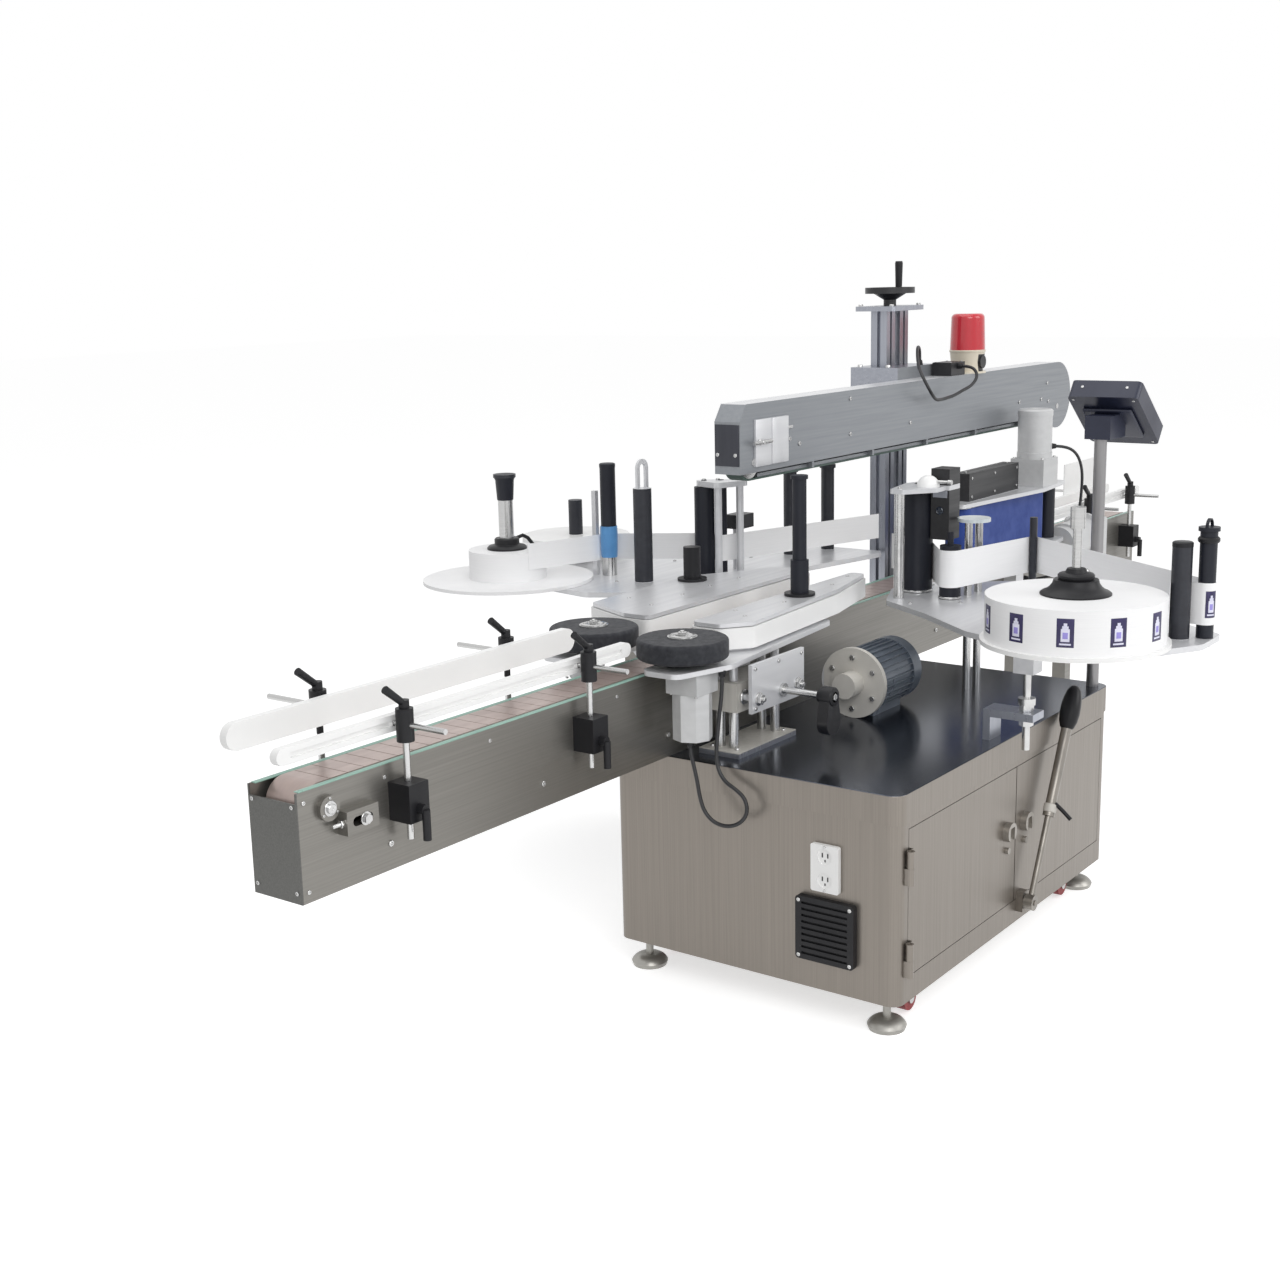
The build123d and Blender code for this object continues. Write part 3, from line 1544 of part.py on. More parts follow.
with BuildPart() as wrap_frame:
    plate(wrap_plate_outline, wrap_deck_z, wrap_deck_sheet, track_corner)
    plate(wrap_plate_outline, wrap_top_z, wrap_top_sheet, track_corner)
    with BuildSketch(level(wrap_deck_z + wrap_deck_sheet)):
        with Locations(((wrap_x0 + wrap_x1) / 2, wrap_y)):
            Rectangle(wrap_x1 - wrap_x0, wrap_radius * 2)
        with Locations((wrap_x0, wrap_y), (wrap_x1, wrap_y)):
            Circle(wrap_radius)
    extrude(amount=wrap_top_z - wrap_deck_z - wrap_deck_sheet)
    block(
        wrap_housing_x0,
        wrap_housing_x1,
        wrap_y - wrap_housing_width / 2,
        wrap_y + wrap_housing_width / 2,
        wrap_top_z + wrap_top_sheet,
        wrap_housing_top,
    )
    block(
        wrap_motor_x - wrap_gear_side / 2,
        wrap_motor_x + wrap_gear_side / 2,
        wrap_motor_y - wrap_gear_side / 2,
        wrap_motor_y + wrap_gear_side / 2,
        wrap_top_z + wrap_top_sheet,
        wrap_gear_top,
    )
    pillar(wrap_motor_x, wrap_motor_y, wrap_gear_top, wrap_motor_top, wrap_motor_radius)
    for foot_at_x in wrap_post_places:
        block(
            foot_at_x - wrap_post_radius * 2,
            foot_at_x + wrap_post_radius * 2,
            -wall_y - wrap_post_radius * 3,
            -wall_y,
            wrap_foot_z,
            wrap_foot_z + wrap_foot_height,
        )
        pillar(foot_at_x, -wall_y - wrap_post_radius * 3 / 2, wrap_foot_z, wrap_deck_z, wrap_post_radius)
    bore(
        wrap_roller_x,
        wrap_roller_y,
        wrap_deck_z - overrun,
        wrap_top_z + wrap_top_sheet + overrun,
        wrap_journal + fit,
    )
save(wrap_frame, "wrap_frame")

with BuildPart() as wrap_belt:
    with BuildSketch(level(wrap_belt_low)):
        with Locations(((wrap_x0 + wrap_x1) / 2, wrap_y)):
            SlotCenterToCenter(wrap_x1 - wrap_x0, (wrap_radius + wrap_belt_sheet) * 2)
            SlotCenterToCenter(wrap_x1 - wrap_x0, wrap_radius * 2, mode=Mode.SUBTRACT)
    extrude(amount=wrap_belt_high - wrap_belt_low)
save(wrap_belt, "wrap_belt")

with BuildPart() as wrap_roller:
    spindle(
        wrap_roller_x,
        wrap_roller_y,
        wrap_deck_z,
        wrap_deck_z + wrap_deck_sheet,
        wrap_journal,
        [(wrap_roller_radius, wrap_roller_top), (wrap_journal, wrap_top_z + wrap_top_sheet + play)],
    )
save(wrap_roller, "wrap_roller")

# Near label head: a lifting deck with its sensor post, bridge and rollers
near_deck_sheet = deck_sheet
near_deck_z = near_deck_top - near_deck_sheet
near_deck_outline = [
    (-114, -186),
    (-205, -329),
    (-329, -head_reach + 454),
    (-420, -head_reach + 241),
    (-356, -head_reach + 84),
    (-212, -head_reach),
    (-100, -head_reach),
    (262, -420),
    (262, -352),
    (130, -150),
    (20, -128),
]
near_deck_corner = 26
near_roll_x = -322
near_roll_y = -head_reach + 220
near_roll_radius = 177
near_disc_radius = 186
near_disc_sheet = 9
near_roll_low = 726
near_roll_high = 811
near_spindle_journal = 12
near_traction_x = 26
near_traction_y = -190
near_traction_radius = 36
near_nip_x = -21
near_nip_y = -299
near_nip_radius = 24
near_guide_x = -176
near_guide_y = -head_reach + 60
near_guide_radius = 20
near_guide_top = 904
near_rewind_x = -145
near_rewind_y = -head_reach + 19
near_rewind_radius = 17
near_return_x = 230
near_return_y = -389
near_return_radius = 9
near_return_top = 872
small_journal = 7
near_post_x = -78
near_post_y = -199
near_post_radius = 12
near_bridge_z = 953
near_bridge_sheet = 10
near_bridge_outline = [(-96, -182), (-94, -216), (-30, -268), (66, -268), (66, -176), (26, -160)]
near_bridge_corner = 10
sensor_x = 44
sensor_y = -252
sensor_length = 54
sensor_width = 46
sensor_low = 838
sensor_top = 1001
dome_x = -11
dome_y = -236
dome_radius = 26
bush_radius = 19
bush_drop = 50
nut_side = 44
nut_drop = 62
near_web_low = 740
near_web_high = 825
web_sheet = 0.8
web_gap = 0.5
web_offset = web_gap + web_sheet / 2
peel_x = 128
peel_y = -70
peel_sheet = 8
peel_length = 40

with BuildPart() as near_head_frame:
    plate(near_deck_outline, near_deck_z, near_deck_sheet, near_deck_corner)
    for side in (-1, 1):
        pillar(
            head_post_x + side * head_post_spread,
            head_post_y,
            near_deck_z - bush_drop,
            near_deck_z,
            bush_radius,
        )
        bore(
            head_post_x + side * head_post_spread,
            head_post_y,
            near_deck_z - bush_drop - overrun,
            near_deck_top + overrun,
            head_post_radius + fit,
        )
    block(
        lift_x - nut_side / 2,
        lift_x + nut_side / 2,
        lift_y - nut_side / 2,
        lift_y + nut_side / 2,
        near_deck_z - nut_drop,
        near_deck_z,
    )
    bore(lift_x, lift_y, near_deck_z - nut_drop - overrun, near_deck_top + overrun, lift_radius + fit)
    for roller_x, roller_y, journal in (
        (near_roll_x, near_roll_y, near_spindle_journal),
        (near_traction_x, near_traction_y, small_journal),
        (near_nip_x, near_nip_y, small_journal),
        (near_rewind_x, near_rewind_y, small_journal),
    ):
        bore(roller_x, roller_y, near_deck_z - overrun, near_deck_top + overrun, journal + fit)
    pillar(near_guide_x, near_guide_y, near_deck_top, near_guide_top, near_guide_radius)
    pillar(near_return_x, near_return_y, near_deck_top, near_return_top, near_return_radius)
    pillar(near_post_x, near_post_y, near_deck_top, near_bridge_z, near_post_radius)
    plate(near_bridge_outline, near_bridge_z, near_bridge_sheet, near_bridge_corner)
    block(
        sensor_x - sensor_length / 2,
        sensor_x + sensor_length / 2,
        sensor_y - sensor_width / 2,
        sensor_y + sensor_width / 2,
        sensor_low,
        sensor_top,
    )
    bore(
        near_traction_x,
        near_traction_y,
        near_bridge_z - overrun,
        near_bridge_z + near_bridge_sheet + overrun,
        small_journal + fit,
    )
    with Locations((dome_x, dome_y, near_bridge_z + near_bridge_sheet)):
        Sphere(dome_radius, arc_size1=0, align=STAND)
    block(
        peel_x - peel_length / 2,
        peel_x + peel_length / 2,
        peel_y - peel_sheet / 2 - peel_sheet * 12,
        peel_y - peel_sheet / 2 - peel_sheet * 11,
        near_deck_top,
        near_web_high,
    )
save(near_head_frame, "near_head_frame")

# Near label roll: a wound roll on its disc, with a cone and a tall spindle
cone_radius = 62
cone_height = 30
cone_neck_radius = 30
spindle_radius = 9
spindle_top = 985
spindle_cap_radius = 15
spindle_cap_height = 42

with BuildPart() as near_label_roll:
    spindle(
        near_roll_x,
        near_roll_y,
        near_deck_z,
        near_deck_top,
        near_spindle_journal,
        [
            (near_disc_radius, near_deck_top + seat + near_disc_sheet),
            (near_roll_radius, near_roll_high),
            (cone_radius, near_roll_high + cone_height / 5),
            (cone_neck_radius * 4 / 3, near_roll_high + cone_height / 2),
            (cone_neck_radius, near_roll_high + cone_height),
            (spindle_radius, spindle_top - spindle_cap_height),
            (spindle_cap_radius, spindle_top),
        ],
    )
save(near_label_roll, "near_label_roll")

with BuildPart() as near_traction_roller:
    spindle(
        near_traction_x,
        near_traction_y,
        near_deck_z,
        near_deck_top,
        small_journal,
        [
            (near_traction_radius, near_bridge_z - play * 2),
            (small_journal, near_bridge_z + near_bridge_sheet + play),
        ],
    )
save(near_traction_roller, "near_traction_roller")

near_nip_top = 834
with BuildPart() as near_nip_roller:
    spindle(
        near_nip_x,
        near_nip_y,
        near_deck_z,
        near_deck_top,
        small_journal,
        [(near_nip_radius, near_nip_top), (small_journal, near_nip_top + cone_height)],
    )
save(near_nip_roller, "near_nip_roller")

rewind_top = 936
bail_height = 20
bail_sheet = 3

with BuildPart() as near_rewind_roller:
    spindle(
        near_rewind_x,
        near_rewind_y,
        near_deck_z,
        near_deck_top,
        small_journal,
        [
            (near_rewind_radius, rewind_top - flare_height),
            (near_rewind_radius + collar_rim, rewind_top),
        ],
    )
    with BuildSketch(facing_near(near_rewind_y + bail_sheet)):
        with Locations((near_rewind_x, rewind_top)):
            Circle(near_rewind_radius)
            Circle(near_rewind_radius - bail_sheet, mode=Mode.SUBTRACT)
            with Locations((0, -near_rewind_radius)):
                Rectangle(near_rewind_radius * 2, near_rewind_radius * 2, mode=Mode.SUBTRACT)
    extrude(amount=bail_sheet * 2)
save(near_rewind_roller, "near_rewind_roller")

near_web_rounds = [
    (near_roll_x, near_roll_y, near_roll_radius + web_offset),
    (near_guide_x, near_guide_y, -near_guide_radius - web_sheet / 2),
    (near_rewind_x, near_rewind_y, near_rewind_radius + web_offset),
    (near_return_x, near_return_y, near_return_radius + web_sheet / 2),
    (near_nip_x, near_nip_y, -near_nip_radius - web_offset),
    (near_traction_x, near_traction_y, near_traction_radius + web_offset),
    (peel_x, peel_y, 0),
]

with BuildPart() as near_label_web:
    band(near_web_rounds, near_web_low, near_web_high, web_sheet)
save(near_label_web, "near_label_web")

# Far label head: a fixed deck on arms and a leg, with its posts, bridge and rollers
far_deck_sheet = deck_sheet
far_deck_z = far_deck_top - far_deck_sheet
far_deck_outline = [
    (-60, 160),
    (368, 74),
    (368, 262),
    (250, 330),
    (80, head_reach - 380),
    (110, head_reach - 180),
    (40, head_reach - 40),
    (-75, head_reach),
    (-190, head_reach - 40),
    (-300, head_reach - 170),
    (-480, head_reach - 195),
    (-525, head_reach - 290),
    (-450, 540),
    (-478, 400),
    (-420, 302),
    (-275, 285),
]
far_deck_corner = 24
far_roll_x = -440
far_roll_y = head_reach - 275
far_roll_radius = 93
far_disc_radius = 205
far_disc_sheet = 8
far_roll_high = 812
far_traction_x = -150
far_traction_y = 287
far_traction_radius = 24
far_nip_x = -126
far_nip_y = 255
far_nip_radius = 14.2
far_rewind_x = -75
far_rewind_y = head_reach - 195
far_rewind_radius = 140
far_rewind_low = 776
far_rewind_high = 792
far_bridge_z = 952
far_bridge_sheet = 13
far_post_places = [(-163, 238), (-106, 214)]
far_post_radius = 9
far_guide_places = [(213, 269), (334, 229)]
far_guide_radius = 17
far_guide_top = 956
blue_x = -262
blue_y = 492
blue_radius = 18
blue_top = 1000
bail_x = -290
bail_y = 368
bail_radius = 22
bail_top = 958
bail_loop_height = 70
mast_x = -268
mast_y = 528
mast_side = 12
mast_top = 940
far_sensor_x = -36
far_sensor_y = 262
far_sensor_length = 62
far_sensor_width = 44
far_sensor_low = 838
far_sensor_high = 872
far_web_low = 771
far_web_high = 834
far_peel_x = 352
far_peel_y = 88
arm_side = 40
arm_low = 600
arm_places = (-290, -120)
arm_reach = 430
arm_post_y = 420

with BuildPart() as far_head_frame:
    plate(far_deck_outline, far_deck_z, far_deck_sheet, far_deck_corner)
    for roller_x, roller_y, journal in (
        (far_roll_x, far_roll_y, near_spindle_journal),
        (far_traction_x, far_traction_y, small_journal),
        (far_nip_x, far_nip_y, small_journal),
        (far_rewind_x, far_rewind_y, near_spindle_journal),
    ):
        bore(roller_x, roller_y, far_deck_z - overrun, far_deck_top + overrun, journal + fit)
    for arm_x in arm_places:
        block(
            arm_x - arm_side / 2,
            arm_x + arm_side / 2,
            wall_y,
            arm_post_y + arm_side / 2,
            arm_low,
            arm_low + arm_side,
        )
        block(
            arm_x - arm_side / 2,
            arm_x + arm_side / 2,
            arm_post_y - arm_side / 2,
            arm_post_y + arm_side / 2,
            arm_low + arm_side,
            far_deck_z,
        )
    for far_post_x, far_post_y in far_post_places:
        pillar(far_post_x, far_post_y, far_deck_top, far_bridge_z, far_post_radius)
    with BuildSketch(level(far_bridge_z)):
        with Locations(*far_post_places, (far_traction_x, far_traction_y)):
            Circle(far_post_radius * 2)
        make_hull()
    extrude(amount=far_bridge_sheet)
    for bridge_x, bridge_y in ((far_traction_x, far_traction_y), (far_nip_x, far_nip_y)):
        bore(
            bridge_x,
            bridge_y,
            far_bridge_z - overrun,
            far_bridge_z + far_bridge_sheet + overrun,
            small_journal + fit,
        )
    for guide_x, guide_y in far_guide_places:
        pillar(guide_x, guide_y, far_deck_top, far_guide_top - flare_height, far_guide_radius)
        pillar(guide_x, guide_y, far_guide_top - flare_height, far_guide_top, far_guide_radius + collar_rim)
    pillar(blue_x, blue_y, far_deck_top, blue_top, blue_radius)
    pillar(bail_x, bail_y, far_deck_top, bail_top, bail_radius)
    with BuildSketch(facing_near(bail_y + bail_sheet)):
        with Locations((bail_x, bail_top + bail_loop_height / 3)):
            SlotCenterToCenter(bail_loop_height * 2 / 3, bail_radius * 2, rotation=90)
            SlotCenterToCenter(bail_loop_height * 2 / 3, bail_radius, rotation=90, mode=Mode.SUBTRACT)
    extrude(amount=bail_sheet * 2)
    block(
        mast_x - mast_side / 2,
        mast_x + mast_side / 2,
        mast_y - mast_side / 2,
        mast_y + mast_side / 2,
        far_deck_top,
        mast_top,
    )
    block(
        far_sensor_x - far_sensor_length / 2,
        far_sensor_x + far_sensor_length / 2,
        far_sensor_y - far_sensor_width / 2,
        far_sensor_y + far_sensor_width / 2,
        far_sensor_low,
        far_sensor_high,
    )
    pillar(
        far_sensor_x,
        far_sensor_y + far_sensor_width / 4,
        far_deck_top,
        far_sensor_low,
        small_journal,
    )
save(far_head_frame, "far_head_frame")

far_spindle_top = 992
with BuildPart() as far_label_roll:
    spindle(
        far_roll_x,
        far_roll_y,
        far_deck_z,
        far_deck_top,
        near_spindle_journal,
        [
            (far_disc_radius, far_deck_top + seat + far_disc_sheet),
            (far_roll_radius, far_roll_high),
            (spindle_radius * 2, far_spindle_top - flare_height),
            (spindle_radius * 3, far_spindle_top),
        ],
    )
save(far_label_roll, "far_label_roll")

for roller_x, roller_y, radius, roller_name in (
    (far_traction_x, far_traction_y, far_traction_radius, "far_traction_roller"),
    (far_nip_x, far_nip_y, far_nip_radius, "far_nip_roller"),
):
    with BuildPart() as far_roller:
        spindle(
            roller_x,
            roller_y,
            far_deck_z,
            far_deck_top,
            small_journal,
            [
                (radius, far_bridge_z - play * 2),
                (small_journal, far_bridge_z + far_bridge_sheet + play),
            ],
        )
    save(far_roller, roller_name)

with BuildPart() as far_rewind_reel:
    spindle(
        far_rewind_x,
        far_rewind_y,
        far_deck_z,
        far_deck_top,
        near_spindle_journal,
        [
            (spindle_radius * 3, far_rewind_low),
            (far_rewind_radius, far_rewind_high),
            (spindle_radius * 2, far_rewind_high + cone_height * 3),
        ],
    )
save(far_rewind_reel, "far_rewind_reel")

far_web_rounds = [
    (far_roll_x, far_roll_y, far_roll_radius + web_offset),
    (blue_x, blue_y, -blue_radius - web_sheet / 2),
    (far_traction_x, far_traction_y, -far_traction_radius - web_offset + fit / 2),
    (far_nip_x, far_nip_y, far_nip_radius + web_offset - fit / 2),
    (far_peel_x, far_peel_y, 0),
]

with BuildPart() as far_label_web:
    band(far_web_rounds, far_web_low, far_web_high, web_sheet)
save(far_label_web, "far_label_web")

# Lift screw: a threaded rod in the table bracket that raises the near label head
lift_foot = 474
lift_top = 690
lift_nut_radius = 15
lift_nut_height = 14

with BuildPart() as lift_screw:
    pillar(lift_x, lift_y, lift_foot, lift_top, lift_radius)
    for nut_z in (bracket_z - seat - lift_nut_height, bracket_z + bracket_sheet + seat):
        with BuildSketch(level(nut_z)):
            with Locations((lift_x, lift_y)):
                RegularPolygon(lift_nut_radius, 6)
        extrude(amount=lift_nut_height)
    pillar(
        lift_x,
        lift_y,
        bracket_z + bracket_sheet + seat + lift_nut_height,
        bracket_z + bracket_sheet + seat + lift_nut_height * 2,
        lift_nut_radius * 6 / 5,
    )
save(lift_screw, "lift_screw")

# Transport lever: a long bar on a side pivot, with a collar and an egg-shaped grip
lever_tilt = 26
lever_bar_radius = 7
lever_hub_outer = 17
lever_hub_width = 20
lever_span = 400
lever_collar_at = 190
lever_collar_radius = 13
lever_collar_length = 12
lever_grip_length = 76
lever_grip_radius = 19
lever_hub_centre_y = lever_plane_y
lever_rise = Plane(
    origin=(lever_foot_x, lever_hub_centre_y, lever_axle_z),
    x_dir=(0, 1, 0),
    z_dir=(sin(radians(lever_tilt)), 0, cos(radians(lever_tilt))),
)

with BuildPart() as transport_lever:
    with BuildSketch(facing_near(lever_hub_centre_y + lever_hub_width / 2)):
        with Locations((lever_foot_x, lever_axle_z)):
            Circle(lever_hub_outer)
    extrude(amount=lever_hub_width)
    with BuildSketch(lever_rise):
        Circle(lever_bar_radius)
    extrude(amount=lever_span)
    with BuildSketch(lever_rise.offset(lever_collar_at)):
        Circle(lever_collar_radius)
    extrude(amount=lever_collar_length)
    with BuildSketch(lever_rise.offset(lever_span)):
        Circle(lever_bar_radius + collar_rim / 2)
    with BuildSketch(lever_rise.offset(lever_span + lever_grip_length / 2)):
        Circle(lever_grip_radius)
    loft()
    with BuildSketch(lever_rise.offset(lever_span + lever_grip_length / 2)):
        Circle(lever_grip_radius)
    with BuildSketch(lever_rise.offset(lever_span + lever_grip_length)):
        Circle(lever_bar_radius + collar_rim)
    loft()
    with BuildSketch(facing_near(lever_hub_centre_y + lever_hub_width)):
        with Locations((lever_foot_x, lever_axle_z)):
            Circle(lever_axle_radius + fit)
    extrude(amount=lever_hub_width * 2, mode=Mode.SUBTRACT)
save(transport_lever, "transport_lever")


def cord(name, points, radius):
    """Draw a round cord along corner points, with each corner as wide as its shorter run allows."""
    bends = []
    for before, here, after in zip(points, points[1:], points[2:]):
        run_in = Vector(*here) - Vector(*before)
        run_out = Vector(*after) - Vector(*here)
        turn = radians(run_in.get_angle(run_out))
        shorter = min(run_in.length, run_out.length)
        bends.append(shorter * cord_share / tan(turn / 2))
    with BuildLine() as path:
        FilletPolyline(*points, radius=bends)
    route = path.wire()
    with BuildSketch(Plane(origin=route @ 0, z_dir=route % 0)) as outline:
        Circle(radius)
    tube = sweep(outline.sketch, path=route)
    print(name, "radii", [round(bend) for bend in bends], "length", round(route.length))
    print(name, "volume", round(tube.volume), "section times length", round(outline.sketch.area * route.length))


cord_share = 0.45
cord_radius = 4

# Beacon cord: a black loop from the clamp block, over the beam and back up to the junction box
beacon_cord_points = [
    (480, 42, clamp_z1),
    (480, 42, clamp_z1 + 26),
    (464, 36, clamp_z1 + 46),
    (436, 26, clamp_z1 + 48),
    (406, 11, clamp_z1 + 34),
    (376, -6, clamp_z1 + 16),
    (348, -25, clamp_z1 - 2),
    (326, -46, clamp_z1 - 20),
    (318, -64, clamp_z1 - 42),
    (330, -71, clamp_z1 - 64),
    (358, -67, clamp_z1 - 78),
    (392, -62, clamp_z1 - 80),
    (430, -62, clamp_z1 - 78),
    (468, -64, clamp_z1 - 74),
    (502, -69, clamp_z1 - 64),
    (530, -80, clamp_z1 - 54),
    (549, -88, clamp_z1 - 32),
    (559, -74, clamp_z1 - 12),
    (561, -51, clamp_z1 - 6),
    (561, -junction_width / 2, clamp_z1 - 6),
]

with BuildPart() as beacon_cord:
    cord("beacon_cord", beacon_cord_points, cord_radius)
save(beacon_cord, "beacon_cord")

# Wrap cord: from the wrap motor's side, down past the deck to the conveyor wall
wrap_cord_points = [
    (907.6, -140.8, 965),
    (929.2, -169.6, 965),
    (952, -196, 946),
    (966, -208, 900),
    (970, -206, 838),
    (970, -200, 772),
    (968, -196, 706),
    (960, -184, 650),
    (949, -154, 610),
    (942, -112, 590),
    (940, -78, 586),
    (940, -wall_y, 586),
]

with BuildPart() as wrap_cord:
    cord("wrap_cord", wrap_cord_points, cord_radius)
save(wrap_cord, "wrap_cord")

# Separator cord: a small loop below the near wheel's motor, back up to the carriage plate
separator_cord_points = [
    (-836, -142, separator_motor_low),
    (-836, -142, separator_motor_low - 23),
    (-836, -150, 494),
    (-837, -158, 464),
    (-838, -164, 434),
    (-838, -174, 406),
    (-835, -194, 386),
    (-830, -222, 380),
    (-825, -250, 390),
    (-821, -266, 414),
    (-817, -258, 441),
    (-815, -234, 456),
    (-813, -208, 466),
    (-811, -190, 488),
    (-808, -184, 520),
    (-803, -185, 560),
    (-796, -186, 604),
    (-788, -187, 646),
    (-788, -187, deck_z),
]

with BuildPart() as separator_cord:
    cord("separator_cord", separator_cord_points, cord_radius)
save(separator_cord, "separator_cord")
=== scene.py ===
"""Looks of a two-head bottle labelling machine, dressed piece by piece on its fixed frame."""

import logging
import math
from dataclasses import dataclass, field
from enum import Enum

import bmesh
import bpy
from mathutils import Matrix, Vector


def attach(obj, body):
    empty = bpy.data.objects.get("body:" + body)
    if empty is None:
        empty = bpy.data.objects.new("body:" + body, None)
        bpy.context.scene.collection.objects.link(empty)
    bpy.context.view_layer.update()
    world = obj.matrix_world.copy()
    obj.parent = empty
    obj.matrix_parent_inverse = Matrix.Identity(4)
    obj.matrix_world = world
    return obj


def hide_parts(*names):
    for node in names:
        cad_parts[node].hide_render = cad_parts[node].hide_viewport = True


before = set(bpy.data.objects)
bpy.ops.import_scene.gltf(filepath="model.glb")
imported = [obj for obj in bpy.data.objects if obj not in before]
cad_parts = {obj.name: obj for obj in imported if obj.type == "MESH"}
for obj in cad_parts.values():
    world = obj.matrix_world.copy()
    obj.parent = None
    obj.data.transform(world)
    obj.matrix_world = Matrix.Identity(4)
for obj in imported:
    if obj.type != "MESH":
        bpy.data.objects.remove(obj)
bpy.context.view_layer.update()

log = logging.getLogger("labelling_machine")

Point = tuple[float, float, float]
Colour = tuple[float, float, float]
Pair = tuple[float, float]
Steps = list[Pair]
Piece = bpy.types.Object
Material = bpy.types.Material
Tree = bpy.types.NodeTree
Socket = bpy.types.NodeSocket

MM = 0.001  # metres in a millimetre
SINK = 0.4  # how deep a piece sinks into its seat, in millimetres
NOISE_LOW, NOISE_HIGH = 0.3, 0.7  # values of the noise between which finishes change
BUMP_STRENGTH = 0.5
MOTTLE_DETAIL, TOOTH_DETAIL = 3.0, 2.0
SMOOTH_BELOW = 38.0  # edges flatter than this many degrees are smooth
LINE_SIDES, LINE_STEPS = 4, 12  # resolution round a rod or cord, and along it
WHITE_LIGHT = (1.0, 1.0, 1.0, 1.0)


class Facing(Enum):
    """Which way the top of a round piece points, as the turn that takes it there."""

    UP = (0.0, 0.0, 0.0)
    DOWN = (math.pi, 0.0, 0.0)
    NEAR = (math.pi / 2, 0.0, 0.0)
    FAR = (-math.pi / 2, 0.0, 0.0)
    EXIT = (0.0, math.pi / 2, 0.0)
    INFEED = (0.0, -math.pi / 2, 0.0)


class Body(Enum):
    """Bodies of the frame that the made pieces ride on."""

    MACHINE = "machine"
    CARRIAGE = "carriage"
    HANDWHEEL = "handwheel"
    NEAR_WHEEL = "near_wheel"
    FAR_WHEEL = "far_wheel"
    BEAM = "hold_down_beam"
    PANEL = "panel"
    NEAR_HEAD = "near_head"
    NEAR_ROLL = "near_roll"
    NEAR_TRACTION = "near_traction"
    NEAR_NIP = "near_nip"
    NEAR_REWIND = "near_rewind"
    FAR_ROLL = "far_roll"
    LEVER = "lever"


# ---------------------------------------------------------------- finishes


@dataclass(frozen=True)
class Finish:
    """A surface finish: two close colours, a gloss range and a grain at its real scale.

    Attributes:
        name: plain name of the finish.
        colour: main colour.
        shade: colour that the slow mottling drifts to.
        metallic: 1 for bare metal, 0 for paint, plastic, rubber and paper.
        gloss: lowest and highest roughness.
        grain: how often the mottling repeats per metre along X, Y and Z.
        tooth: how often the fine bump repeats per metre along X, Y and Z.
        relief: height of the fine bump in millimetres.
        coat: clear coat weight.
        sheen: weight of the soft edge glow of foam and felt.
        shine: specular level, lower for dull rubber and foam.
    """

    name: str
    colour: Colour
    shade: Colour
    metallic: float = 0.0
    gloss: Pair = (0.35, 0.5)
    grain: Point = (6.0, 6.0, 6.0)
    tooth: Point = (400.0, 400.0, 400.0)
    relief: float = 0.02
    coat: float = 0.0
    sheen: float = 0.0
    shine: float = 0.5


